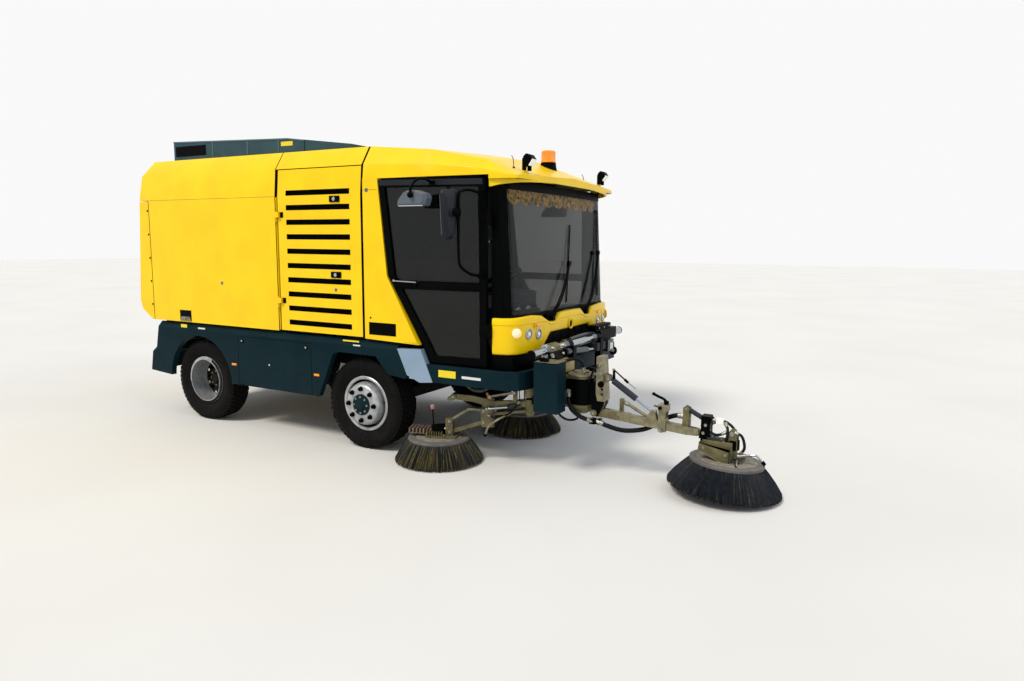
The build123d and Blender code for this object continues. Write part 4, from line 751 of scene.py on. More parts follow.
def joint_matrix(name: str) -> Matrix:
    """Place of a joint in the truck's frame, its axis along Z.

    Args:
        name: Name of the joint.

    Returns:
        The matrix.
    """
    joint = JOINTS[name]
    turn = Vector(joint["axis"]).to_track_quat("Z", "Y").to_matrix().to_4x4()
    return Matrix.Translation(Vector(joint["pos_m"]) - Vector((AXLE_X, 0, 0))) @ turn


@dataclass
class Copies:
    """Geometry Nodes tree that sets copies of a shape along a line or round an axis."""

    count: int
    step: Point = (0.0, 0.0, 0.0)
    turn: Point = (0.0, 0.0, 0.0)
    uneven: Point = (0.0, 0.0, 0.0)
    seed: int = 7

    @staticmethod
    def tree() -> bpy.types.NodeTree:
        """The tree, made once, with named inputs for its sizes.

        Returns:
            The node tree.
        """
        found = bpy.data.node_groups.get("copies")
        if found:
            return found
        tree = bpy.data.node_groups.new("copies", "GeometryNodeTree")
        kinds = {
            "Geometry": "NodeSocketGeometry", "Count": "NodeSocketInt", "Step": "NodeSocketVector",
            "Turn": "NodeSocketVector", "Uneven": "NodeSocketVector", "Seed": "NodeSocketInt",
            "Finish": "NodeSocketMaterial",
        }
        for name, kind in kinds.items():
            tree.interface.new_socket(name=name, in_out="INPUT", socket_type=kind)
        tree.interface.new_socket(name="Geometry", in_out="OUTPUT", socket_type="NodeSocketGeometry")
        given = add_node(tree, "NodeGroupInput").outputs
        index = add_node(tree, "GeometryNodeInputIndex").outputs[0]
        place = add_node(tree, "ShaderNodeVectorMath", {0: given["Step"], "Scale": index}, operation="SCALE")
        points = add_node(tree, "GeometryNodePoints", {"Count": given["Count"], "Position": place.outputs[0]})
        low = add_node(tree, "ShaderNodeVectorMath", {0: given["Uneven"], "Scale": -1.0}, operation="SCALE")
        chance = add_node(
            tree, "FunctionNodeRandomValue", {0: low.outputs[0], 1: given["Uneven"], "Seed": given["Seed"]},
            data_type="FLOAT_VECTOR",
        )
        turned = add_node(tree, "ShaderNodeVectorMath", {0: given["Turn"], "Scale": index}, operation="SCALE")
        total = add_node(
            tree, "ShaderNodeVectorMath", {0: turned.outputs[0], 1: chance.outputs[0]}, operation="ADD",
        )
        spin = add_node(tree, "FunctionNodeEulerToRotation", {0: total.outputs[0]})
        copies = add_node(
            tree, "GeometryNodeInstanceOnPoints",
            {"Points": points.outputs[0], "Instance": given["Geometry"], "Rotation": spin.outputs[0]},
        )
        real = add_node(tree, "GeometryNodeRealizeInstances", {0: copies.outputs[0]})
        dressed = add_node(
            tree, "GeometryNodeSetMaterial", {"Geometry": real.outputs[0], "Material": given["Finish"]}
        )
        add_node(tree, "NodeGroupOutput", {0: dressed.outputs[0]})
        return tree

    def bake(self, shape: Shape, name: str, finish: Finish, at: Matrix) -> bpy.types.Object:
        """Spreads the shape and bakes the result to a plain mesh.

        Args:
            shape: One copy, in the frame of the place below.
            name: Name of the object.
            finish: Finish of all copies.
            at: Matrix from that frame to the truck's.

        Returns:
            The object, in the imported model's frame.
        """
        bmesh.ops.remove_doubles(shape.mesh, verts=shape.mesh.verts, dist=2e-6)
        bmesh.ops.recalc_face_normals(shape.mesh, faces=shape.mesh.faces)
        made = mesh_object(name, shape.mesh, 32)
        tree = self.tree()
        spread = made.modifiers.new("copies", "NODES")
        spread.node_group = tree
        values = {
            "Count": self.count, "Step": self.step, "Turn": self.turn, "Uneven": self.uneven,
            "Seed": self.seed, "Finish": finish.material(),
        }
        for socket in tree.interface.items_tree:
            if socket.name in values:
                spread[socket.identifier] = values[socket.name]
        result = bpy.data.meshes.new_from_object(made.evaluated_get(bpy.context.evaluated_depsgraph_get()))
        made.modifiers.remove(spread)
        made.data = result
        result.transform(Matrix.Translation((AXLE_X, 0, 0)) @ at)
        return made

    def piece(
        self, shape: Shape, name: str, body: str, slot: str, finish: Finish, at: Matrix | None = None,
        bevel: float = 0.0,
    ) -> bpy.types.Object:
        """Bakes the copies and makes them a piece of the truck."""
        made = self.bake(shape, name, finish, at or Matrix.Identity(4))
        return finish_piece(made, body, bevel)


def ring_of(count: int) -> Copies:
    """Copies evenly round the Z axis."""
    return Copies(count, turn=(0.0, 0.0, 2 * math.pi / count))


def facing_out(side: Side) -> Matrix:
    """Turn that takes the Z axis to the outward direction of a side."""
    return Matrix.Rotation(math.radians(-90 * side.value), 4, "X")


def flank(sign: int, near: float, far: float) -> list[float]:
    """Limits in Y between two distances from the middle, on the side with this sign."""
    return sorted((sign * near, sign * far))


@dataclass
class Stage:
    """Pale floor, soft light and the camera at the photograph's place."""

    focal_px: float = 712.64
    image_width_px: int = 1024
    azimuth: float = 28.937
    pitch: float = 7.861
    roll: float = 0.467
    eye: Point = (4.0148, -5.6691, 1.7884)
    key: tuple[Point, float, float, str] = ((-0.35, -0.95, 1.25), 2.3, 16.0, "#FFF8EC")
    fill: tuple[Point, float, float, str] = ((1.1, 0.25, 0.9), 0.7, 60.0, "#EAF1FF")

    def build(self) -> None:
        """Makes floor, world, suns and camera."""
        self._floor()
        self._world()
        for name, (toward, strength, angle, colour) in (("key", self.key), ("fill", self.fill)):
            lamp = bpy.data.lights.new(name, "SUN")
            lamp.energy = strength
            lamp.angle = math.radians(angle)
            lamp.color = linear(colour)[:3]
            sun = bpy.data.objects.new(name, lamp)
            sun.rotation_euler = Vector(toward).to_track_quat("Z", "Y").to_euler()
            bpy.context.scene.collection.objects.link(sun)
        self._camera()
        bpy.context.scene.view_settings.view_transform = "Standard"

    def _floor(self) -> None:
        """Makes the pale floor."""
        finish = Finish(
            "pale_studio_floor", "#DEDEDB", "#DAD9D6", 0.85, grain_mm=40, bump_mm=0.0, patch_mm=2500
        )
        floor = Shape().box((-60, 60), (-60, 60), (-0.02, -0.0005), finish).object("studio_floor")

    def _world(self) -> None:
        """Makes an even grey sky that the camera, gloss and glass see as white."""
        world = bpy.data.worlds.new("studio")
        bpy.context.scene.world = world
        world.use_nodes = True
        tree = world.node_tree
        tree.nodes.clear()
        rays = add_node(tree, "ShaderNodeLightPath").outputs
        seen = add_node(
            tree, "ShaderNodeMath", {0: rays["Is Camera Ray"], 1: rays["Is Transmission Ray"]},
            operation="MAXIMUM",
        )
        either = add_node(
            tree, "ShaderNodeMath", {0: seen.outputs[0], 1: rays["Is Glossy Ray"]}, operation="MAXIMUM",
        )
        soft = add_node(tree, "ShaderNodeBackground", {"Color": (0.93, 0.96, 1.0, 1.0), "Strength": 0.6})
        plain = add_node(tree, "ShaderNodeBackground", {"Color": (1.0, 1.0, 1.0, 1.0), "Strength": 0.95})
        mixed = add_node(
            tree, "ShaderNodeMixShader", {0: either.outputs[0], 1: soft.outputs[0], 2: plain.outputs[0]},
        )
        add_node(tree, "ShaderNodeOutputWorld", {"Surface": mixed.outputs[0]})

    def _camera(self) -> None:
        """Makes the camera."""
        data = bpy.data.cameras.new("camera")
        data.sensor_fit = "HORIZONTAL"
        data.sensor_width = 36.0
        data.lens = self.focal_px * data.sensor_width / self.image_width_px
        data.clip_end = 200
        camera = bpy.data.objects.new("camera", data)
        turn = (
            Matrix.Rotation(math.radians(self.azimuth), 4, "Z")
            @ Matrix.Rotation(math.radians(90 - self.pitch), 4, "X")
            @ Matrix.Rotation(math.radians(self.roll), 4, "Z")
        )
        camera.matrix_world = Matrix.Translation(Vector(self.eye) + Vector((AXLE_X, 0, 0))) @ turn
        bpy.context.scene.collection.objects.link(camera)
        bpy.context.scene.camera = camera


@dataclass
class Wheels:
    """Road wheels: tyres with tread blocks, steel rims, hubs and nuts."""

    wheelbase: float = 2.055
    centre_y: float = 0.915
    axle_z: float = 0.398
    tread_rows: tuple[float, ...] = (-0.083, -0.042, 0.0, 0.042, 0.083)
    tread_count: int = 56
    nut_circle: float = 0.1375
    disc_offset: dict[str, float] = field(default_factory=lambda: {"front": 0.150, "rear": -0.058})

    def build(self) -> None:
        """Makes the four wheels."""
        for side in Side:
            for end in ("front", "rear"):
                x = 0.0 if end == "front" else -self.wheelbase
                at = Matrix.Translation((x, side.value * self.centre_y, self.axle_z)) @ facing_out(side)
                self._tyre(f"{end}_{side.label}", at)
                self._rim(f"{end}_{side.label}", end, at)

    def _tyre(self, label: str, at: Matrix) -> None:
        """Makes a tyre in the frame whose Z axis points outwards.

        Args:
            label: End and side of the wheel.
            at: Frame of the wheel, whose Z axis points outwards.
        """
        half = [
            (0.2224, 0.0852), (0.243, 0.0868), (0.262, 0.0985), (0.282, 0.1065), (0.300, 0.1112),
            (0.304, 0.1135), (0.340, 0.1150), (0.346, 0.1128), (0.366, 0.1080), (0.3795, 0.1010),
            (0.3870, 0.0900), (0.3885, 0.0500),
        ]
        profile = half + [(0.389, 0.0)] + [(r, -a) for r, a in reversed(half)]
        tyre = Shape(at).turned(profile, RUBBER, 72)
        body = "wheel_" + label
        tyre.piece("tyre_carcass_" + label, body, "tyre_rubber", 0, ["tyre_" + label], crease=50)
        block = Shape()
        pitch = 2 * math.pi * 0.39 / self.tread_count
        half_turn = Matrix.Rotation(math.pi / self.tread_count, 4, "Z")
        reach, row_half = pitch * 0.38, 0.0155
        for row, y in enumerate(self.tread_rows):
            block.mesh.transform(half_turn)
            top = 0.3973 if abs(y) < 0.06 else 0.3945
            slant = 0.004 if row % 2 else -0.004
            outline = [
                (-reach - slant, y - row_half), (reach - slant, y - row_half),
                (reach + slant, y + row_half), (slant - reach, y + row_half),
            ]
            block.prism(outline, "x", 0.383, top, RUBBER)
        ring_of(self.tread_count).piece(block, "tread_blocks_" + label, body, "tyre_rubber", RUBBER, at)

    def _rim(self, label: str, end: str, at: Matrix) -> None:
        """Dresses or makes a rim and adds nuts, hub bolts and a valve.

        Args:
            label: End and side of the wheel.
            end: "front" or "rear".
            at: Frame of the wheel, whose Z axis points outwards.
        """
        inverse = at.inverted()

        def near_hub(centre: Vector, _: Vector) -> bool:
            """Whether a face belongs to the hub."""
            local = inverse @ centre
            return math.hypot(local.x, local.y) < 0.1005

        face = self.disc_offset[end]
        body = "wheel_" + label
        valve = Shape(at)
        if end == "front":
            self._bulged_disc(label, at)
            valve.rod((0.199, 0.03, 0.045), (0.202, 0.03, 0.098), 0.005, BLACK, 10)
        else:
            dress("rim_" + label, SILVER, 0.0015, [(near_hub, CHASSIS)])
            valve.rod((0.19, 0.03, face - 0.03), (0.185, 0.03, face + 0.02), 0.005, BLACK, 10)
            valve.lathe(
                [(0.206, 0.0), (0.2115, 0.0), (0.2115, 0.012), (0.206, 0.012)], (0, 0, 0.0965), (0, 0, 1),
                SILVER, 48,
            )
        valve.piece("valve_" + label, body, "rim_silver", 0)
        nut = Shape().lathe(
            [(0.0, 0.0), (0.0235, 0.0), (0.0235, 0.004), (0.0180, 0.005), (0.0180, 0.024), (0.0135, 0.029),
             (0.008, 0.029), (0.008, 0.035), (0.0, 0.035)],
            (self.nut_circle, 0, face - 0.001), (0, 0, 1), BLACK, 6,
        )
        ring_of(8).piece(nut, "wheel_nuts_" + label, body, "rim_silver", BLACK, at, 0.0006)
        cap = face + (0.0105 if end == "front" else 0.034)
        bolt = Shape().lathe(
            [(0.0, 0.0), (0.0095, 0.0), (0.0095, 0.008), (0.0, 0.010)], (0.070, 0, cap - 0.001), (0, 0, 1),
            CHASSIS, 6,
        )
        ring_of(8).piece(bolt, "hub_bolts_" + label, body, "rim_silver", BOLT if end == "front" else ZINC, at)

    def _bulged_disc(self, label: str, at: Matrix) -> None:
        """Makes a front rim, whose disc bulges past the tyre, and its green hub.

        Args:
            label: End and side of the wheel.
            at: Frame of the wheel, whose Z axis points outwards.
        """
        rim = Shape(at).turned(
            [
                (0.2150, 0.0945), (0.2090, 0.0850), (0.2060, 0.0600), (0.1960, 0.0450), (0.1940, -0.0400),
                (0.2060, -0.0600), (0.2090, -0.0850), (0.2150, -0.0945), (0.2330, -0.0985),
                (0.2390, -0.0950), (0.2390, -0.0900), (0.2222, -0.0870), (0.2200, -0.0700),
                (0.2020, -0.0480), (0.2020, 0.0480), (0.2200, 0.0700), (0.2222, 0.0870), (0.2390, 0.0900),
                (0.2400, 0.0935), (0.2330, 0.0985)
            ], SILVER, 72,
        )
        rim.turned(
            [
                (0.1950, -0.020), (0.1925, 0.040), (0.1890, 0.085), (0.1840, 0.115), (0.1760, 0.135),
                (0.1640, 0.1465), (0.1500, 0.1500), (0.0900, 0.1500), (0.0900, 0.1400), (0.1500, 0.1400),
                (0.1590, 0.1370), (0.1690, 0.1270), (0.1760, 0.1100), (0.1815, 0.0800), (0.1850, 0.0400),
                (0.1870, -0.020)
            ], SILVER, 72,
        )
        rim.turned(
            [
                (0.0, 0.10), (0.0900, 0.10), (0.0925, 0.1495), (0.0915, 0.1560), (0.0850, 0.1600),
                (0.0480, 0.1610), (0.0430, 0.1640), (0.0400, 0.1700), (0.0300, 0.1740), (0.0, 0.1750)
            ], GREEN, 48,
        )
        # Thin dark lining inside the barrel between the lip and the disc: painted shadow of the gap there.
        rim.turned(
            [
                (0.1955, 0.0462), (0.2052, 0.0606), (0.2083, 0.0850), (0.2078, 0.0850), (0.2046, 0.0610),
                (0.1950, 0.0470)
            ], CHASSIS, 72,
        )
        rim.piece("rim_disc_" + label, "wheel_" + label, "rim_silver", 0, ["rim_" + label], crease=40)


@dataclass
class Chassis:
    """Frame, axles, steering, engine block and suction nozzle."""

    rail_half: float = 0.330
    rail_z: tuple[float, float] = (0.575, 0.745)
    bolt_pitch: float = 0.12

    def build(self) -> None:
        """Dresses the nodes and adds frame bolts, brake chambers, the air tanks and the nozzle's rubber."""
        for node in ("chassis_frame", "front_axle", "rear_axle", "tie_rod", "knuckle_right", "knuckle_left"):
            dress(node, CHASSIS, 0.002)
        dress("suction_nozzle", CHASSIS, 0.003, [(lambda c, n: c.z < 0.05, HOSE)])
        dress("suction_hose", HOSE, 0.0)
        dress("engine_block", IRON, 0.012)
        self._hose_rings()
        self._bolts()
        self._engine_details()
        self._brakes()
        self._seals()

    def _seals(self) -> None:
        """Dark strips under the hopper's lower edge, with a rubber-coloured top: a dark backing that paints
        the shadow in the gap there.
        """
        parts = Shape()
        for side in Side:
            y = side.value
            parts.box((-2.640, -0.975), flank(y, 0.955, 1.000), (0.928, 0.962), CHASSIS)
            parts.box((-2.640, -0.975), flank(y, 0.957, 1.003), (0.962, 0.969), RUBBER)
        parts.piece("hopper_seal_rails", "chassis", "chassis_grey", 0.0015)

    def _hose_rings(self) -> None:
        """Ribs wound round the suction hose."""
        low, high = Vector((-0.850, 0, 0.200)), Vector((-1.120, 0, 0.955))
        along = high - low
        rib = Shape().turned(
            [(0.1195, -0.007), (0.127, -0.004), (0.127, 0.004), (0.1195, 0.007)], HOSE, 36,
        )
        count = 26
        step = along / count
        Copies(count, step=tuple(step)).piece(
            rib, "suction_hose_ribs", "chassis", "hose_rubber", HOSE,
            Matrix.Translation(low + step * 0.5),
        )

    def _bolts(self) -> None:
        """Rows of frame bolts on the outer faces of both rails."""
        bolt = Shape().turned(
            [(0.0, 0.0), (0.012, 0.0), (0.012, 0.003), (0.009, 0.003), (0.009, 0.011), (0.0, 0.011)],
            CHASSIS, 6,
        )
        for side in Side:
            for row, z in enumerate((0.615, 0.700)):
                start = Matrix.Translation((-2.60, side.value * self.rail_half, z)) @ facing_out(side)
                Copies(31, step=(self.bolt_pitch, 0.0, 0.0)).piece(
                    _copy(bolt), f"rail_bolts_{side.label}_{row}", "chassis", "chassis_grey", CHASSIS, start,
                )

    def _engine_details(self) -> None:
        """Rocker covers, belt pulleys and the air filter on the engine block."""
        parts = Shape()
        parts.box((-0.74, -0.24), (-0.22, -0.04), (1.558, 1.62), IRON)
        parts.box((-0.74, -0.24), (0.04, 0.22), (1.558, 1.62), IRON)
        for y, z, radius in ((0.0, 1.0, 0.13), (-0.18, 1.25, 0.08), (0.19, 1.3, 0.07)):
            parts.rod((-0.172, y, z), (-0.125, y, z), radius, BLACK, 32)
        parts.rod((-0.70, 0.20, 1.72), (-0.32, 0.20, 1.72), 0.09, HOSE, 32)
        parts.tube(
            [(-0.50, -0.12, 1.62), (-0.50, -0.1, 1.74), (-0.60, 0.02, 1.76), (-0.60, 0.15, 1.74)], 0.035,
            HOSE
        )
        parts.piece("engine_details", "chassis", "engine_iron", 0.006)

    def _brakes(self) -> None:
        """Air tanks between the rails' outriggers and brake chambers behind the rear axle."""
        parts = Shape()
        for side in Side:
            y = side.value
            parts.lathe(
                [(0.0, 0.0), (0.06, 0.008), (0.095, 0.03), (0.095, 0.47), (0.06, 0.492), (0.0, 0.50)],
                (-1.30, y * 0.50, 0.60), (1, 0, 0), CHASSIS, 32,
            )
            parts.lathe(
                [
                    (0.0, 0.0), (0.07, 0.0), (0.08, 0.02), (0.08, 0.06), (0.088, 0.065), (0.088, 0.075),
                    (0.08, 0.08), (0.075, 0.13), (0.0, 0.14)
                ], (-2.25, y * 0.52, 0.44), (-0.3, 0, 1), CHASSIS, 32,
            )
            for x in (-1.22, -0.90):
                parts.box((x, x + 0.03), flank(y, 0.33, 0.60), (0.692, 0.702), CHASSIS)
                parts.box((x, x + 0.03), flank(y, 0.33, 0.342), (0.60, 0.702), CHASSIS)
        parts.piece("air_tanks_and_brakes", "chassis", "chassis_grey", 0.002)


def _copy(shape: Shape) -> Shape:
    """A second shape with the same faces.

    Args:
        shape: Shape to copy.

    Returns:
        The copy.
    """
    twin = Shape(shape.at)
    twin.mesh = shape.mesh.copy()
    twin.finishes = list(shape.finishes)
    return twin


@dataclass
class Hopper:
    """Tipping hopper with its tailgate, seams, rivets and rear lamps."""

    half: float = 1.070
    front: float = -0.950

    def build(self) -> None:
        """Dresses hopper and tailgate and adds their details."""
        inside = (
            lambda c, n: abs(c.y) < 1.03 and 1.0 < c.z < 2.56 and c.y * n.y <= 0.01 and n.z < 0.5, CHASSIS
        )
        dress("hopper_body", YELLOW, 0.006, [inside, (lambda c, n: c.z < 0.975, CHASSIS)])
        dress(
            "tailgate", YELLOW, 0.006,
            [(lambda c, n: c.x > -2.85 and abs(c.y) < 1.03 and c.z < 2.14, CHASSIS)]
        )
        self._sides()
        self._rear()

    def _sides(self) -> None:
        """Seams, rivets, the lashing notch and small fittings on both sides."""
        parts = Shape()
        for side in Side:
            y = side.value
            skin = flank(y, self.half - 0.002, self.half + 0.0007)
            parts.box((-2.712, self.front), skin, (2.1685, 2.1715), SEAM)
            parts.box((-2.318, -2.150), flank(y, self.half - 0.01, self.half + 0.003), (0.986, 1.094), BLACK)
            parts.box((-2.330, -2.138), flank(y, self.half - 0.01, self.half + 0.006), (1.094, 1.104), YELLOW)
            parts.prism(
                [(-2.318, 0.986), (-2.150, 0.986), (-2.170, 1.03), (-2.290, 1.03)], "y",
                *flank(y, self.half - 0.01, self.half + 0.008), ZINC,
            )
            parts.rod(
                (-2.235, y * (self.half - 0.01), 1.012), (-2.235, y * (self.half + 0.016), 1.012), 0.014,
                BOLT
            )
            parts.box((-1.695, -1.667), flank(y, self.half, self.half + 0.003), (1.367, 1.395), SLATE_EDGE)
        parts.piece("hopper_side_fittings", "hopper", "body_yellow", 0.001)
        rivet = Shape().turned(
            [(0.0, -0.001), (0.011, -0.001), (0.011, 0.002), (0.006, 0.005), (0.0, 0.006)], BLACK, 12,
        )
        for side in Side:
            start = Matrix.Translation((-2.742, side.value * self.half, 1.13)) @ facing_out(side)
            up = (0.0, -side.value * 0.235, 0.0)
            Copies(5, step=up).piece(
                _copy(rivet), "tailgate_rivets_" + side.label, "tailgate", "body_yellow", BLACK, start,
            )

    def _rear(self) -> None:
        """Rear lamp clusters, grab handle, reflectors and the frame of a bare plate."""
        parts = Shape()
        for side in Side:
            y = side.value
            parts.box((-2.765, -2.735), flank(y, 0.70, 0.98), (0.70, 0.78), BLACK)
            for index, lens in enumerate((RED_LENS, AMBER, WHITE_LENS)):
                low = 0.715 + 0.09 * index
                parts.box((-2.772, -2.763), flank(y, low, low + 0.075), (0.71, 0.77), lens)
            parts.box((-2.828, -2.808), flank(y, 0.60, 0.70), (0.50, 0.56), RED_LENS)
        parts.box((-2.812, -2.796), (-0.27, 0.27), (0.52, 0.63), BLACK)
        parts.box((-2.815, -2.811), (-0.26, 0.26), (0.53, 0.62), WHITE_LABEL)
        parts.piece("rear_lamps", "chassis", "skirt_green", 0.002)
        gate = Shape()
        for y in (-0.55, 0.55):
            gate.tube(
                [(-2.900, y, 1.185), (-2.925, y, 1.15), (-2.890, y, 1.06), (-2.850, y, 1.065)], 0.012,
                BLACK, steps=5,
            )
        for side in Side:
            y = side.value
            for x0, x1, z in ((-2.9390, -2.905, 1.22), (-2.9385, -2.885, 1.62)):
                gate.box((x0, x1), flank(y, 0.86, 0.95), (z, z + 0.04), BLACK)
        gate.tube(
            [(-2.905, -0.9, 2.02), (-2.915, -0.5, 2.03), (-2.915, 0.5, 2.03), (-2.905, 0.9, 2.02)], 0.011,
            BLACK
        )
        for y in (-0.8, -0.4, 0.0, 0.4, 0.8):
            gate.box((-2.918, -2.86), (y - 0.012, y + 0.012), (2.015, 2.035), BLACK)
        gate.piece("tailgate_handles", "tailgate", "body_yellow", 0.001)


@dataclass
class EngineBay:
    """Engine housing with its louvred side doors."""

    half: float = 1.070
    louvre_x: tuple[float, float] = (-0.810, -0.080)
    louvre_z: tuple[float, float] = (1.040, 2.220)
    louvre_count: int = 10
    louvre_height: float = 0.046

    def build(self) -> None:
        """Dresses housing and doors and adds slats, latches and hinge leaves."""
        dress("engine_housing", YELLOW, 0.004, [
            (lambda c, n: c.z > 2.585 and abs(c.y) < 0.70 and n.z > -0.5 or c.z > 2.61, SLATE),
            (lambda c, n: abs(c.y) < 1.055 and c.z < 2.56 and abs(n.x) > 0.9, CHASSIS),
            (lambda c, n: n.z < -0.3, CHASSIS),
        ])
        pitch = (self.louvre_z[1] - self.louvre_z[0] - self.louvre_height) / (self.louvre_count - 1)
        for side in Side:
            y = side.value
            inner = self.half - 0.0385

            def dark(centre: Vector, normal: Vector, y: int = y) -> bool:
                """Whether a face is inside the door or in a louvre."""
                in_slot = self.louvre_x[0] - 0.002 < centre.x < self.louvre_x[1] + 0.002 and centre.z < 2.23
                behind = centre.y * y < inner and normal.y * y < 0.05
                floor = centre.y * y < self.half - 0.02 or abs(normal.y) < 0.5
                return behind or (in_slot and floor and centre.y * y < self.half - 0.002)

            dress("engine_door_" + side.label, YELLOW, 0.002, [(dark, BLACK)])
            slat = Shape()
            for low in (0.004, 0.020, 0.036):
                slat.prism(
                    [(0.0, low), (y * 0.019, low - 0.006), (y * 0.019, low - 0.004), (0.0, low + 0.002)], "x",
                    self.louvre_x[0], self.louvre_x[1], BLACK,
                )
            Copies(self.louvre_count, step=(0.0, 0.0, pitch)).piece(
                slat, "louvre_slats_" + side.label, "engine_door_" + side.label, "door_black", BLACK,
                Matrix.Translation((0.0, y * (self.half - 0.026), self.louvre_z[0])),
            )
            self._fittings(side)
        edge = Shape()
        for side in Side:
            edge.box((-0.9440, -0.9345), flank(side.value, 1.050, 1.062), (0.985, 2.165), YELLOW)
        edge.piece("housing_edge_strips", "chassis", "body_yellow", 0)

    def _fittings(self, side: Side) -> None:
        """Latches, hinge leaves and a small grey plate on a door.

        Args:
            side: Side of the truck.
        """
        y = side.value
        parts = Shape()
        for z in (1.500, 2.135):
            parts.box((-0.294, -0.186), flank(y, self.half, self.half + 0.011), (z - 0.026, z + 0.026), BLACK)
            parts.rod((-0.24, y * self.half, z), (-0.24, y * (self.half + 0.018), z), 0.016, CHROME)
        for z in (1.253, 2.010):
            parts.box((-0.900, -0.845), flank(y, self.half, self.half + 0.004), (z - 0.024, z + 0.024), BLACK)
        parts.box((-0.262, -0.238), flank(y, self.half, self.half + 0.003), (1.36, 1.384), SLATE_EDGE)
        parts.piece("engine_door_fittings_" + side.label, "engine_door_" + side.label, "door_black", 0.001)


@dataclass
class RoofDuct:
    """Low slate-coloured duct on the hopper's roof."""

    half: float = 0.690
    rear: float = -2.800
    top: float = 2.795

    def build(self) -> None:
        """Dresses the duct and adds rims, ribs, lids and a label."""
        dress("roof_duct", SLATE, 0.008)
        parts = Shape()
        line = [(self.rear + 0.005, self.top), (-1.150, 2.735), (-0.953, 2.709)]
        for side in Side:
            y = side.value
            outline = line + [(x, z - 0.012) for x, z in reversed(line)]
            parts.prism(outline, "y", *flank(y, self.half - 0.004, self.half + 0.005), SLATE_EDGE)
            for x, high in ((-2.20, 2.76), (-1.70, 2.742), (-1.28, 2.727)):
                parts.box((x, x + 0.012), flank(y, self.half, self.half + 0.004), (2.61, high), SLATE_EDGE)
            parts.box((-2.76, -2.30), flank(y, self.half, self.half + 0.006), (2.64, 2.74), BLACK)
            parts.box((-1.24, -1.09), flank(y, self.half, self.half + 0.003), (2.665, 2.705), YELLOW_LABEL)
        for x in (-2.45, -1.95, -1.45):
            z = self.top - 0.06 * (x - self.rear) / 1.65
            parts.box((x - 0.2, x + 0.2), (-0.45, 0.45), (z - 0.012, z + 0.008), SLATE)
            parts.box((x - 0.04, x + 0.04), (-0.06, 0.06), (z + 0.006, z + 0.012), BLACK)
        parts.piece("duct_rims_and_lids", "hopper", "skirt_green", 0.003)


@dataclass
class Skirts:
    """Side panels, sill, corner panels and rear bumper."""

    half: float = 1.070

    def build(self) -> None:
        """Dresses the panels and adds door lines, latches, labels and side markers."""
        dress("side_skirts", GREEN, 0.003, [(lambda c, n: abs(c.y) < 1.02, CHASSIS)])
        dress("rear_bumper", GREEN, 0.004)
        corner = (
            lambda c, n: c.x < 0.76 and abs(c.y) > 1.0 and n.x < 0.99 and not (c.x > 0.636 and c.z < 0.66),
            PALE_BLUE
        )
        dress("front_apron", GREEN, 0.004, [corner])
        for side in Side:
            self._locker(side)
            self._labels(side)

    def _locker(self, side: Side) -> None:
        """Seam of the locker door, its two latches and the panel joints.

        Args:
            side: Side of the truck.
        """
        y = side.value
        skin = flank(y, self.half - 0.001, self.half + 0.0008)
        parts = Shape()
        for x in (-1.500, -0.563):
            parts.box((x - 0.0025, x + 0.0025), skin, (0.42, 0.885), BLACK)
        parts.box((-1.500, -0.563), skin, (0.883, 0.888), BLACK)
        for x in (-1.44, -0.62):
            parts.rod((x, y * self.half, 0.845), (x, y * (self.half + 0.006), 0.845), 0.020, BLACK)
            parts.rod((x, y * (self.half + 0.006), 0.845), (x, y * (self.half + 0.009), 0.845), 0.010, CHROME)
        parts.box((-1.5, -1.42), skin, (0.418, 0.424), BLACK)
        parts.rod((-1.09, y * self.half, 0.645), (-1.09, y * (self.half + 0.003), 0.645), 0.008, WHITE_LABEL)
        parts.piece("locker_door_" + side.label, "chassis", "skirt_green", 0.0008)

    def _labels(self, side: Side) -> None:
        """Bare labels and amber side markers.

        Args:
            side: Side of the truck.
        """
        y = side.value
        out = (y * self.half, y * (self.half + 0.0015))
        parts = Shape()
        for x0, x1, z0, z1, finish in (
            (-2.316, -2.226, 0.918, 0.950, YELLOW_LABEL), (-2.060, -1.958, 0.917, 0.932, WHITE_LABEL),
            (-0.073, 0.004, 0.903, 0.915, WHITE_LABEL), (-0.185, -0.006, 0.936, 0.949, YELLOW_LABEL),
        ):
            parts.box((x0, x1), sorted(out), (z0, z1), finish)
        for x in (-1.56, -0.50):
            parts.box((x - 0.03, x + 0.03), flank(y, self.half, self.half + 0.006), (0.60, 0.62), AMBER)
        low = flank(y, 1.069, 1.0735)
        parts.box((0.808, 0.970), low, (0.722, 0.778), YELLOW_LABEL)
        parts.box((1.026, 1.199), flank(y, 1.066, 1.0715), (0.728, 0.748), WHITE_LABEL)
        parts.piece("side_labels_" + side.label, "chassis", "skirt_green", 0)


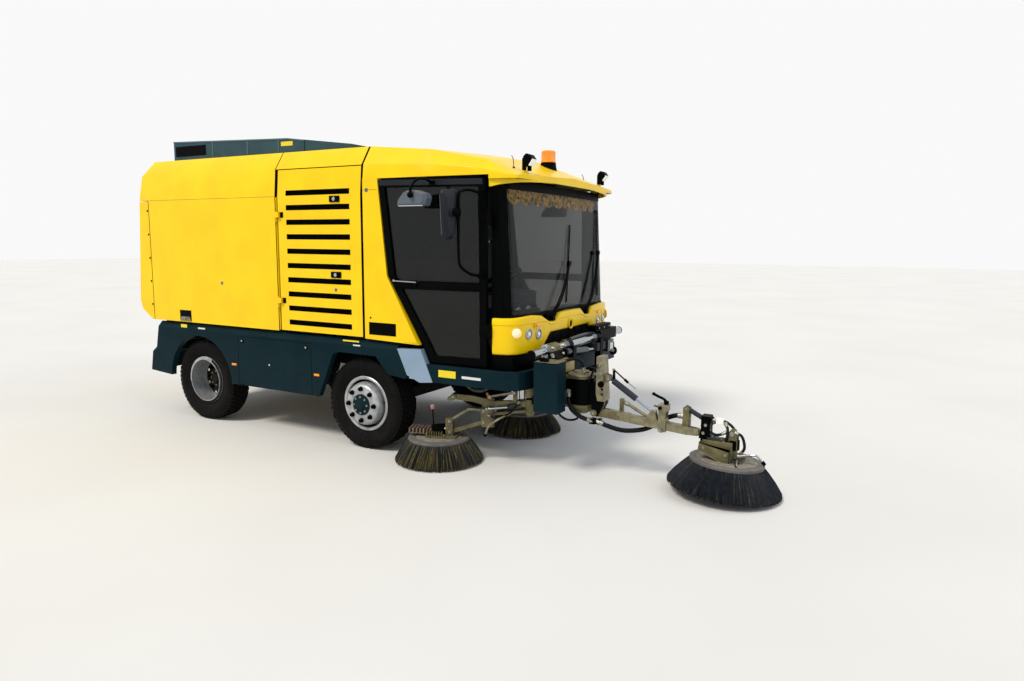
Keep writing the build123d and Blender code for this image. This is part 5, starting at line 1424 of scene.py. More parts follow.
@dataclass
class Cab:
    """Cab with glass, doors, front panel, lamps, seats and dashboard."""

    half: float = 1.070
    front: float = 1.474
    lamp_places: tuple[tuple[float, float, float], ...] = (
        (0.905, 1.096, 48.0), (0.768, 1.076, 8.0), (0.622, 1.062, 3.0)
    )
    panel_plan: tuple[tuple[float, float], ...] = (
        (0.0, 1.474), (0.35, 1.4735), (0.50, 1.472), (0.56, 1.471), (0.64, 1.468), (0.72, 1.463),
        (0.80, 1.454), (0.86, 1.443), (0.90, 1.428), (0.93, 1.408), (0.952, 1.383), (0.967, 1.350),
        (0.977, 1.310), (0.985, 1.247),
    )
    seat_y: float = 0.430

    def build(self) -> None:
        """Dresses the cab's nodes and adds its details."""
        dress("cab_shell", YELLOW, 0.005, [
            (lambda c, n: n.z < -0.35 or (abs(c.y) < 1.02 and c.z < 2.2 and abs(n.y) < 0.5), DASH),
            (lambda c, n: abs(c.y) < 1.035 and c.z < 2.255, BLACK),
        ])
        dress("cab_frame", BLACK, 0.003)
        dress("windscreen", SCREEN, 0.0)
        dress("dashboard", DASH, 0.008, [(lambda c, n: abs(c.y + 0.43) < 0.24 and c.z > 1.25, BLACK)])
        self._side_facets()
        self._front_panel()
        self._roof_corners()
        self._screen_trim()
        self._pelmet()
        self._wipers()
        self._front_details()
        self._lamps()
        self._seats()
        self._interior()
        for side in Side:
            self._door(side)

    def _side_facets(self) -> None:
        """Flared facets behind the doors, the seam above them and the bare dark plates."""
        parts = Shape()
        for side in Side:
            y = side.value
            near, far = y * (self.half - 0.004), y * (self.half + 0.0005)
            edge = y * (self.half + 0.012)
            corners = [
                (0.296, near, 1.515), (0.450, near, 0.985), (0.606, near, 0.985), (0.301, far, 1.508),
                (0.452, far, 0.978), (0.608, edge, 0.978),
            ]
            parts.faces(corners, [(0, 1, 2), (3, 5, 4), (0, 3, 4, 1), (1, 4, 5, 2), (2, 5, 3, 0)], YELLOW)
            skin = flank(y, self.half - 0.002, self.half + 0.0008)
            parts.box((0.062, 0.212), skin, (2.1985, 2.2015), SEAM)
            parts.box((0.107, 0.388), flank(y, self.half, self.half + 0.002), (1.014, 1.118), BLACK)
            parts.box((0.090, 0.118), flank(y, self.half, self.half + 0.003), (2.185, 2.213), SLATE_EDGE)
            parts.rod((0.125, y * self.half, 1.155), (0.125, y * (self.half + 0.003), 1.155), 0.008, BLACK)
        parts.piece("cab_side_facets", "chassis", "body_yellow", 0.0008)

    def panel_x(self, y: float) -> float:
        """X of the front panel's outer face at a distance from the middle.

        Args:
            y: Distance from the middle, with its sign.

        Returns:
            X in the truck's frame.
        """
        for (y0, x0), (y1, x1) in zip(self.panel_plan, self.panel_plan[1:]):
            if abs(y) <= y1:
                return x0 + (x1 - x0) * (abs(y) - y0) / (y1 - y0)
        return self.panel_plan[-1][1]

    def _front_panel(self) -> None:
        """Yellow moulding that wraps both corners, with wiper notches and an arch over the grille."""
        places = [(y, x) for y, x in self.panel_plan if y > 0.48]
        middle = (
            -0.47, -0.43, -0.40, -0.385, -0.30, -0.28, -0.23, -0.10, 0.05, 0.20, 0.28, 0.30, 0.40, 0.42,
            0.47
        )
        ys = [(-y, x) for y, x in reversed(places)] + [(y, self.panel_x(y)) for y in middle] + places
        rings = []
        for index, (y, x) in enumerate(ys):
            before, after = ys[max(index - 1, 0)], ys[min(index + 1, len(ys) - 1)]
            normal = Vector((after[0] - before[0], before[1] - after[1], 0)).normalized()
            top, low = self._panel_top(y), self._panel_low(y)
            profile = (
                (-0.016, top), (-0.004, top - 0.006), (0.0, top - 0.018), (0.0, min(1.158, top - 0.022)),
                (-0.004, min(1.152, top - 0.026)), (-0.004, low + 0.030), (-0.008, low + 0.008),
                (-0.018, low), (-0.030, low + 0.002), (-0.030, top),
            )
            rings.append([(x + normal.x * out, y + normal.y * out, z) for out, z in profile])
        panel = Shape().rings(rings, YELLOW)
        reach = 0.50
        panel.prism(
            [(y, z) for y, z in ((-reach, 0.918), (reach, 0.918), (0.43, 1.075), (-0.43, 1.075))], "x",
            1.425, 1.441, BLACK,
        )
        for foot in (-0.345, 0.365):
            panel.prism(
                [(foot - 0.075, 1.200), (foot - 0.055, 1.118), (foot + 0.055, 1.118), (foot + 0.075, 1.200)],
                "x", 1.405, 1.438, BLACK,
            )
        panel.piece("front_moulding", "chassis", "body_yellow", 0.003, ["front_panel"], crease=28)

    @staticmethod
    def _panel_top(y: float) -> float:
        """Height of the moulding's upper edge: notched where the wipers stand, dropped at the corners.

        Args:
            y: Distance from the middle, with its sign.

        Returns:
            Z in the truck's frame.
        """
        knots = (
            (-1.0, 1.208), (-0.90, 1.212), (-0.70, 1.220), (-0.56, 1.205), (-0.43, 1.150), (-0.385, 1.142),
            (-0.30, 1.146), (-0.23, 1.206), (-0.10, 1.212), (0.20, 1.208), (0.30, 1.146), (0.40, 1.142),
            (0.47, 1.205), (0.70, 1.220), (0.90, 1.212), (1.0, 1.208),
        )
        for (y0, z0), (y1, z1) in zip(knots, knots[1:]):
            if y <= y1:
                return z0 + (z1 - z0) * (y - y0) / (y1 - y0)
        return knots[-1][1]

    @staticmethod
    def _panel_low(y: float) -> float:
        """Height of the moulding's lower edge: straight at the sides, high over the grille."""
        share = min(max((0.56 - abs(y)) / 0.16, 0.0), 1.0)
        return 0.925 + 0.128 * share

    def _roof_corners(self) -> None:
        """Rounded yellow corners under the visor, either side of the dark lip."""
        plan = (
            (0.40, 1.4735), (0.58, 1.4715), (0.74, 1.466), (0.86, 1.4400), (0.925, 1.398), (0.955, 1.350),
            (0.972, 1.300), (0.985, 1.232)
        )
        drop = (0.0, 0.006, 0.014, 0.022, 0.030, 0.036, 0.042, 0.056)
        corners = Shape()
        for side in Side:
            rings = []
            for (y, x), fall in zip(plan, drop):
                rings.append(
                    [
                        (x - 0.004, side.value * (y - 0.003), 2.262),
                        (x - 0.006, side.value * (y - 0.004), 2.257 - fall),
                        (x - 0.022, side.value * (y - 0.010), 2.257 - fall),
                        (x - 0.024, side.value * (y - 0.012), 2.262),
                    ]
                )
            corners.rings(rings, YELLOW)
        corners.piece("roof_corner_lips", "chassis", "body_yellow", 0.001, crease=40)

    def screen_x(self, y: float, z: float) -> float:
        """X of the windscreen's outer face at a height and distance from the middle.

        Args:
            y: Distance from the middle, with its sign.
            z: Height.

        Returns:
            X in the truck's frame.
        """
        knots = ((0.0, 1.412), (0.170, 1.412), (0.684, 1.404), (0.884, 1.388), (0.932, 1.342), (0.944, 1.326))
        x = knots[-1][1]
        for (y0, x0), (y1, x1) in zip(knots, knots[1:]):
            if abs(y) <= y1:
                x = x0 + (x1 - x0) * (abs(y) - y0) / (y1 - y0)
                break
        return x - 0.058 * (z - 1.212) / 1.038

    def _screen_band(
        self, z0: float, z1: float, reach: float, out: float, finish: Finish, shape: Shape
    ) -> None:
        """Adds a band that follows the windscreen's curve.

        Args:
            z0: Lower edge.
            z1: Upper edge.
            reach: Half width.
            out: Distance in front of the glass of the band's face, negative inside.
            finish: Finish of the band.
            shape: Shape that gets the band.
        """
        ys = [
            y * reach / 0.944
            for y in (-0.944, -0.932, -0.884, -0.684, -0.170, 0.170, 0.684, 0.884, 0.932, 0.944)
        ]
        rings = []
        for y in ys:
            rings.append([
                (self.screen_x(y, z0) + out, y, z0), (self.screen_x(y, z0) + out + 0.003, y, z0),
                (self.screen_x(y, z1) + out + 0.003, y, z1), (self.screen_x(y, z1) + out, y, z1),
            ])
        shape.rings(rings, finish)

    def _screen_trim(self) -> None:
        """Black printed border of the windscreen and its rubber seal."""
        parts = Shape()
        self._screen_band(2.185, 2.256, 0.944, 0.0005, BLACK, parts)
        self._screen_band(1.200, 1.226, 0.944, 0.0005, BLACK, parts)
        for side in Side:
            y0, y1 = side.value * 0.900, side.value * 0.946
            rings = []
            for z in (1.200, 1.55, 1.90, 2.256):
                rings.append([
                    (self.screen_x(y0, z) + 0.0005, y0, z), (self.screen_x(y0, z) + 0.004, y0, z),
                    (self.screen_x(y1, z) + 0.004, y1, z), (self.screen_x(y1, z) - 0.02, y1, z),
                ])
            parts.rings(rings, BLACK)
        parts.piece("windscreen_border", "chassis", "door_black", 0)

    def _pelmet(self) -> None:
        """Scalloped gold pelmet behind the top of the windscreen."""
        pelmet = Shape()
        count, span = 9, 1.72
        pitch = span / count
        for index in range(count):
            centre = -span / 2 + pitch * (index + 0.5)
            rim = [(math.cos(math.pi * k / 12), math.sin(math.pi * k / 12)) for k in range(13)]
            outline = [(centre + c * pitch * 0.49, 2.145 - s * 0.068) for c, s in rim]
            outline += [(centre - pitch * 0.5, 2.20), (centre + pitch * 0.5, 2.20)]
            face = [(self.screen_x(y, z) - 0.030 - 0.010 * abs(math.sin(y * 60)), y, z) for y, z in outline]
            pelmet.rings([[(x - 0.003, y, z) for x, y, z in face], face], GOLD_CLOTH)
        pelmet.piece("gold_pelmet", "chassis", "seat_cloth", 0.0006)

    def _wipers(self) -> None:
        """Two long wipers with double arms, parked upright."""
        for index, (foot, knee, tip) in enumerate(
            (
                ((-0.345, 1.165), (-0.030, 1.275), (0.130, 1.941)),
                ((0.365, 1.165), (0.690, 1.290), (0.800, 2.099)),
            )
        ):
            parts = Shape()
            x0 = self.screen_x(foot[0], 1.25) + 0.045
            x1 = self.screen_x(knee[0], knee[1]) + 0.030
            x2 = self.screen_x(tip[0], tip[1]) + 0.022
            parts.rod((x0 - 0.05, foot[0], foot[1]), (x0 + 0.02, foot[0], foot[1]), 0.020, BLACK)
            middle_y, middle_z = (knee[0] + tip[0]) / 2, (knee[1] + tip[1]) / 2
            middle_x = self.screen_x(middle_y, middle_z) + 0.032
            for offset in (-0.018, 0.022):
                parts.tube(
                    [
                        (x0, foot[0] + offset, foot[1] + 0.01),
                        (x1 + 0.012, (foot[0] + middle_y) / 2 + offset, 1.36),
                        (middle_x, middle_y + offset * 0.3, middle_z)
                    ], 0.007, BLACK, 8,
                )
            ends = [
                (x1 - 0.004, knee[0], knee[1]), (middle_x - 0.014, middle_y, middle_z),
                (x2 - 0.010, tip[0], tip[1])
            ]
            parts.tube(ends, 0.006, BLACK, 8)
            parts.tube([(x - 0.012, y, z) for x, y, z in ends], 0.0035, HOSE, 6)
            parts.box(
                (middle_x - 0.014, middle_x + 0.010), (middle_y - 0.02, middle_y + 0.02),
                (middle_z - 0.02, middle_z + 0.02), BLACK
            )
            parts.piece(f"wiper_{index}", "chassis", "door_black", 0)

    def _front_details(self) -> None:
        """Grille bars, roundel, amber oblongs and lip of the front panel."""
        parts = Shape()
        x = self.front
        for index in range(7):
            z = 0.937 + 0.017 * index
            reach = 0.465 - 0.095 * (z - 0.925) / 0.127
            parts.box((x - 0.034, x - 0.024), (-reach, reach), (z, z + 0.006), BLACK)
        for y in (-0.30, -0.15, 0.0, 0.15, 0.30):
            parts.box((x - 0.036, x - 0.026), (y - 0.004, y + 0.004), (0.93, 1.05), BLACK)
        parts.lathe(
            [(0.030, 0.0), (0.046, 0.0), (0.046, 0.010), (0.040, 0.014), (0.034, 0.010), (0.030, 0.003)],
            (x - 0.003, -0.024, 1.092), (1, 0, 0), YELLOW, 40,
        )
        parts.lathe(
            [(0.0, 0.0), (0.034, 0.0), (0.034, 0.004), (0.0, 0.006)], (x - 0.003, -0.024, 1.092), (1, 0, 0),
            BLACK, 40
        )
        parts.piece("grille_and_roundel", "chassis", "door_black", 0.0008)
        lip = Shape()
        for side in Side:
            y = side.value
            for y0, y1, lens in ((0.600, 0.670, AMBER), (0.670, 0.690, RED_LENS)):
                lip.box((x - 0.006, x + 0.003), flank(y, y0, y1), (1.124, 1.148), lens)
            lip.box((x - 0.008, x + 0.001), flank(y, 0.594, 0.696), (1.119, 1.153), YELLOW)
        lip.piece("front_indicators", "chassis", "lamp_plastic", 0.003)

    def _lamps(self) -> None:
        """Headlamps, work lamps, beacon and aerials."""
        parts = Shape()
        for side in Side:
            for index, (y, z, turn) in enumerate(self.lamp_places):
                facing = (math.cos(math.radians(turn)), side.value * math.sin(math.radians(turn)), 0.0)
                centre = (self.panel_x(y) - 0.006, side.value * y, z)
                parts.lathe(
                    [
                        (0.0, 0.0), (0.0445, 0.0), (0.0445, 0.008), (0.0420, 0.0105), (0.0385, 0.010),
                        (0.0370, 0.006), (0.0, 0.004)
                    ], centre, facing, CHROME if index else YELLOW, 36,
                )
                if index:
                    parts.lathe(
                        [
                            (0.0, 0.0), (0.0365, 0.0), (0.0365, 0.0075), (0.0260, 0.0050), (0.0180, 0.0042),
                            (0.0, 0.0042)
                        ], centre, facing, REFLECTOR, 32,
                    )
                    parts.lathe(
                        [(0.0, 0.003), (0.015, 0.003), (0.0165, 0.008), (0.012, 0.013), (0.0, 0.0155)],
                        centre, facing, WHITE_LENS, 24,
                    )
                else:
                    parts.lathe(
                        [
                            (0.0, 0.0), (0.0368, 0.0), (0.0368, 0.0085), (0.028, 0.0125), (0.014, 0.0150),
                            (0.0, 0.0155)
                        ], centre, facing, LIT_LENS, 32,
                    )
        parts.piece("headlamps", "chassis", "lamp_plastic", 0)
        roof = Shape()
        roof.lathe(
            [(0.0, -0.02), (0.078, -0.02), (0.080, 0.01), (0.070, 0.045), (0.066, 0.085), (0.0, 0.085)],
            (1.225, 0, 2.384), (0, 0, 1), BLACK, 40,
        )
        roof.lathe(
            [
                (0.0, 0.0), (0.064, 0.0), (0.0655, 0.012), (0.062, 0.018), (0.0625, 0.088), (0.055, 0.100),
                (0.0, 0.1045)
            ], (1.225, 0, 2.469), (0, 0, 1), AMBER, 40,
        )
        for side in Side:
            y = side.value * 0.745
            shell = [
                (1.388, 2.395), (1.396, 2.436), (1.420, 2.456), (1.452, 2.446), (1.474, 2.416),
                (1.440, 2.366), (1.404, 2.372)
            ]
            roof.rings([[(x, y - 0.044, z) for x, z in self._shrink(shell, 0.8)], *(
                [(x, y + offset, z) for x, z in shell] for offset in (-0.036, 0.036)
            ), [(x, y + 0.044, z) for x, z in self._shrink(shell, 0.8)]], BLACK)
            roof.prism(
                [(1.473, 2.414), (1.441, 2.367), (1.447, 2.363), (1.479, 2.410)], "y", y - 0.036, y + 0.036,
                WHITE_LENS
            )
            roof.tube([(1.412, y, 2.385), (1.398, y, 2.355), (1.390, y, 2.322)], 0.010, BLACK)
            roof.rod((1.390, y, 2.306), (1.390, y, 2.330), 0.022, YELLOW)
            for offset in (-0.046, 0.040):
                roof.box((1.392, 1.428), (y + offset, y + offset + 0.006), (2.33, 2.42), BLACK)
        roof.piece("beacon_and_work_lamps", "chassis", "lamp_plastic", 0.001, ["roof_lamps"])
        aerials = Shape()
        for x, y, z, top in ((1.315, -0.78, 2.33, 2.445), (1.30, 0.60, 2.32, 2.42)):
            aerials.rod((x, y, z - 0.02), (x, y, z + 0.03), 0.010, BLACK)
            aerials.tube([(x, y, z + 0.02), (x - 0.005, y, top - 0.03), (x - 0.02, y, top)], 0.003, BLACK, 6)
        aerials.piece("roof_aerials", "chassis", "door_black", 0)

    @staticmethod
    def _shrink(outline: Sequence[tuple[float, float]], share: float) -> list[tuple[float, float]]:
        """The same outline scaled about its middle."""
        a, b = (sum(values) / len(outline) for values in zip(*outline))
        return [(a + (p - a) * share, b + (q - b) * share) for p, q in outline]

    def _seats(self) -> None:
        """Two padded seats: cushions, backs and headrests crowned by subdivision."""
        for side in Side:
            y = side.value * self.seat_y
            pads = {
                "cushion": ((0.36, 0.815), (y - 0.232, y + 0.232), (1.195, 1.328), 0.0),
                "back": ((0.300, 0.425), (y - 0.228, y + 0.228), (1.335, 1.780), -7.0),
                "headrest": ((0.290, 0.372), (y - 0.135, y + 0.135), (1.800, 1.955), -7.0),
            }
            for label, (x, across, z, lean) in pads.items():
                pad = self._pad(x, across, z, lean)
                made = pad.object(f"seat_{label}_{side.label}")
                rounding = made.modifiers.new("crown", "SUBSURF")
                rounding.levels = rounding.render_levels = 2
                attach(made, "chassis")
        base = Shape()
        for side in Side:
            y = side.value * self.seat_y
            base.box((0.40, 0.58), (y - 0.15, y + 0.15), (0.986, 1.19), BLACK)
            base.box((0.37, 0.78), (y - 0.19, y + 0.19), (1.165, 1.195), BLACK)
            base.prism(
                [(0.330, 1.19), (0.375, 1.19), (0.325, 1.80), (0.300, 1.80)], "y", y - 0.12, y + 0.12, BLACK
            )
            for offset in (-0.07, 0.07):
                base.rod((0.335, y + offset, 1.74), (0.330, y + offset, 1.84), 0.007, CHROME, 10)
        base.piece("seat_frames", "chassis", "seat_cloth", 0.003, ["seats"])

    @staticmethod
    def _pad(x: tuple[float, float], y: tuple[float, float], z: tuple[float, float], lean: float) -> Shape:
        """A cushion's cage: its faces crown and its sides pull in between the corners.

        Args:
            x: Limits along the truck.
            y: Limits across it.
            z: Limits upwards.
            lean: Lean of the pad in degrees.

        Returns:
            The shape, ready for subdivision.
        """
        low = Vector((x[0], y[0], z[0]))
        size = Vector((x[1] - x[0], y[1] - y[0], z[1] - z[0]))
        turn = Matrix.Rotation(math.radians(lean), 4, "Y")
        pad = Shape()
        bmesh.ops.create_cube(pad.mesh, size=1.0)
        bmesh.ops.subdivide_edges(pad.mesh, edges=pad.mesh.edges, cuts=4, use_grid_fill=True)
        foot = low + Vector((size.x / 2, size.y / 2, 0))
        thin = min(range(3), key=lambda axis: size[axis])
        wide = [axis for axis in range(3) if axis != thin]
        for vertex in pad.mesh.verts:
            u = [value * 2 for value in vertex.co]
            crown = (1 - u[wide[0]] ** 2) * (1 - u[wide[1]] ** 2)
            pull = 1 - 0.035 * (1 - abs(u[thin]))
            u = [
                value * (0.90 + 0.14 * crown) if axis == thin else value * pull for axis,
                value in enumerate(u)
            ]
            point = low + Vector([(value + 1) / 2 * size[axis] for axis, value in enumerate(u)])
            vertex.co = foot + turn @ (point - foot)
        pad._index(CLOTH)
        return pad

    def _interior(self) -> None:
        """Rear wall trim, gear selector, pedals and instruments."""
        parts = Shape()
        parts.box((0.104, 0.112), (-1.02, -0.65), (1.0, 2.20), DASH)
        parts.box((0.104, 0.112), (0.65, 1.02), (1.0, 2.20), DASH)
        parts.box((0.104, 0.112), (-0.65, 0.65), (1.0, 1.55), DASH)
        parts.box((0.56, 0.80), (-0.10, 0.10), (1.0, 1.22), DASH)
        parts.rod((0.70, 0.0, 1.2), (0.72, 0.0, 1.36), 0.010, CHROME)
        parts.ball((0.72, 0.0, 1.375), 0.026, BLACK)
        parts.box((1.225, 1.30), (-0.60, -0.26), (1.185, 1.235), BLACK)
        for y in (-0.52, -0.34):
            parts.lathe(
                [(0.0, 0.0), (0.05, 0.0), (0.05, 0.008), (0.0, 0.008)], (1.222, y, 1.208), (-1, 0, 0.2),
                WHITE_LABEL, 32
            )
        for y in (-0.50, -0.38):
            parts.box((1.18, 1.20), (y - 0.03, y + 0.03), (0.86, 0.94), BLACK)
        parts.box((1.16, 1.28), (0.20, 0.62), (1.188, 1.205), DASH)
        parts.piece("cab_interior", "chassis", "dash_grey", 0.004)

    def _door(self, side: Side) -> None:
        """Dresses a door and adds its handle and band.

        Args:
            side: Side of the truck.
        """
        y = side.value
        dress("door_frame_" + side.label, BLACK, 0.003)
        dress("door_glass_" + side.label, DOOR_GLASS, 0.0)
        hinge = Matrix.Translation((0.215, y * self.half, 0)) @ Matrix.Rotation(
            math.radians(-4.1 * y), 4, "Z"
        )
        parts = Shape(hinge @ Matrix.Translation((-0.215, -y * self.half, 0)))
        out = (y * self.half, y * (self.half + 0.003))
        parts.prism(
            [(0.232, 2.230), (0.240, 2.274), (1.170, 2.262), (1.176, 2.218)], "y", *sorted(out), NYLON
        )
        parts.rod(
            (0.378, y * (self.half + 0.012), 1.470), (0.585, y * (self.half + 0.012), 1.464), 0.006, CHROME,
            10
        )
        parts.box((0.352, 0.392), flank(y, self.half, self.half + 0.012), (1.452, 1.492), BLACK)
        parts.rod(
            (0.372, y * (self.half + 0.01), 1.472), (0.372, y * (self.half + 0.016), 1.472), 0.010, CHROME,
            16
        )
        parts.piece("door_trim_" + side.label, "door_" + side.label, "door_black", 0.001)


@dataclass
class Mirrors:
    """Main mirrors on their tubes and kerb mirrors on their hooks."""

    def build(self) -> None:
        """Makes the mirrors of both doors."""
        for side in Side:
            self._side(side)

    def _side(self, side: Side) -> None:
        """Makes the mirrors of one door.

        Args:
            side: Side of the truck.
        """
        y = side.value
        parts = Shape()
        self._main(parts, y)
        self._kerb(parts, y)
        parts.piece(
            "mirror_set_" + side.label, "door_" + side.label, "mirror_black", 0.003,
            ["mirrors_" + side.label]
        )

    @staticmethod
    def _main(parts: Shape, y: int) -> None:
        """Tapered main mirror with its ball mount on a bent tube.

        Args:
            parts: Shape that gets the mirror.
            y: Sign of Y on this side.
        """
        foot_y = y * (1.070 - 0.0717 * (1.162 - 0.215))
        for z in (1.530, 2.150):
            parts.box((1.138, 1.186), sorted((foot_y, foot_y + y * 0.016)), (z - 0.022, z + 0.022), BLACK)
        parts.tube(
            [
                (1.162, foot_y + y * 0.01, 2.150), (1.125, y * 1.12, 2.170), (1.104, y * 1.19, 2.155),
                (1.100, y * 1.222, 2.10), (1.100, y * 1.222, 1.68), (1.108, y * 1.195, 1.60),
                (1.130, y * 1.11, 1.548), (1.162, foot_y + y * 0.01, 1.530)
            ], 0.011, BLACK, 14,
        )
        shell = [
            (1.262, 1.806), (1.335, 1.806), (1.350, 1.830), (1.372, 2.130), (1.355, 2.158), (1.200, 2.174),
            (1.186, 2.150), (1.190, 1.990), (1.238, 1.830),
        ]
        back = Cab._shrink(shell, 0.76)
        parts.rings([
            [(1.036, y * p, z) for p, z in shell], [(1.062, y * p, z) for p, z in shell],
            [(1.088, y * p, z) for p, z in back],
        ], NYLON)
        parts.prism([(y * p, z) for p, z in Cab._shrink(shell, 0.93)], "x", 1.031, 1.037, MIRROR_GLASS)
        parts.lathe(
            [(0.0, 0.0), (0.040, 0.0), (0.042, 0.008), (0.030, 0.016), (0.0, 0.016)],
            (1.084, y * 1.280, 2.005), (1, 0, 0), NYLON, 32,
        )
        parts.ball((1.108, y * 1.280, 2.000), 0.031, BLACK)
        parts.rod((1.100, y * 1.222, 2.000), (1.108, y * 1.275, 2.000), 0.013, BLACK)
        parts.rod((1.100, y * 1.222, 1.972), (1.100, y * 1.222, 2.028), 0.018, BLACK)

    @staticmethod
    def _kerb(parts: Shape, y: int) -> None:
        """Pale kerb mirror that looks down, on a hooked arm.

        Args:
            parts: Shape that gets the mirror.
            y: Sign of Y on this side.
        """
        foot_y = y * (1.070 - 0.0717 * (0.735 - 0.215))
        parts.box((0.713, 0.757), sorted((foot_y, foot_y + y * 0.016)), (2.216, 2.256), BLACK)
        parts.tube(
            [
                (0.735, foot_y + y * 0.01, 2.236), (0.738, y * 1.13, 2.262), (0.740, y * 1.23, 2.252),
                (0.728, y * 1.288, 2.205), (0.718, y * 1.300, 2.140)
            ], 0.010, BLACK, 12,
        )
        parts.ball((0.718, y * 1.300, 2.132), 0.023, BLACK)
        parts.rod((0.718, y * 1.272, 2.128), (0.718, y * 1.300, 2.132), 0.016, BLACK)
        face = [
            (0.560, 2.056), (0.572, 2.100), (0.616, 2.150), (0.657, 2.168), (0.745, 2.170), (0.828, 2.142),
            (0.842, 2.110), (0.824, 2.056)
        ]
        parts.rings([
            [(p, y * 1.165, z) for p, z in Cab._shrink(face, 0.82)], [(p, y * 1.19, z) for p, z in face],
            [(p, y * 1.255, z) for p, z in face], [(p, y * 1.280, z) for p, z in Cab._shrink(face, 0.82)],
        ], KERB_NYLON)
        parts.box((0.580, 0.806), flank(y, 1.182, 1.262), (2.051, 2.058), MIRROR_GLASS)


def arm_matrix(side: Side) -> Matrix:
    """Place of a side brush arm: its X axis runs back from the swing pin."""
    heading = 197.3 if side is Side.RIGHT else 221.0
    return Matrix.Translation((1.450, side.value * 0.730, 0)) @ Matrix.Rotation(math.radians(heading), 4, "Z")


@dataclass
class BristleRing:
    """Splayed bristles of a round brush: root and tip as radius and height in the brush's own frame."""

    root: tuple[float, float]
    tip: tuple[float, float]
    count: int
    thickness: float = 0.0045
    lean: float = 0.035

    def build(self, label: str, body: str, at: Matrix, mix: Sequence[tuple[Finish, float]]) -> None:
        """Makes the bristles, one piece for each finish.

        Args:
            label: Name of the brush.
            body: CAD body of the brush.
            at: Place of the brush, its axis along Z.
            mix: Finishes with their shares.
        """
        for number, (finish, share) in enumerate(mix):
            strand = Shape()
            rings = []
            for step, (t, bow, width) in enumerate(
                ((0.0, 0.0, 1.0), (0.35, 0.004, 1.1), (0.7, 0.004, 0.9), (1.0, 0.0, 0.5))
            ):
                shift = number * 0.008 * (1 if step else 0)
                r = self.root[0] + (self.tip[0] - self.root[0]) * t + bow - shift * 0.4
                z = self.root[1] + (self.tip[1] - self.root[1]) * t + bow
                size = self.thickness * width
                rings.append(
                    [(r + size, 0.0, z), (r - size * 0.5, size * 0.9, z), (r - size * 0.5, -size * 0.9, z)]
                )
            strand.rings(rings, finish)
            count = int(self.count * share)
            Copies(
                count, turn=(0.0, 0.0, GOLDEN_ANGLE), uneven=(0.05, self.lean, 0.05), seed=11 + number,
            ).piece(strand, f"{label}_bristles_{number}", body, "bristle", finish, at)

    def core(self, shape: Shape, finish: Finish) -> None:
        """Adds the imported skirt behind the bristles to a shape.

        Args:
            shape: Shape that gets the skirt.
            finish: Finish of the skirt.
        """
        (r0, z0), (r1, z1) = self.root, self.tip
        middle = ((r0 + r1) / 2 - 0.004, (z0 + z1) / 2)
        inner = ((r0 + r1) / 2 - 0.045, (z0 + z1) / 2)
        shape.turned(
            [
                (r0 - 0.07, z0), (r0 + 0.004, z0 + 0.002), middle, (r1 - 0.014, z1 + 0.004),
                (r1 - 0.06, z1 + 0.004), inner
            ], finish, 64,
        )


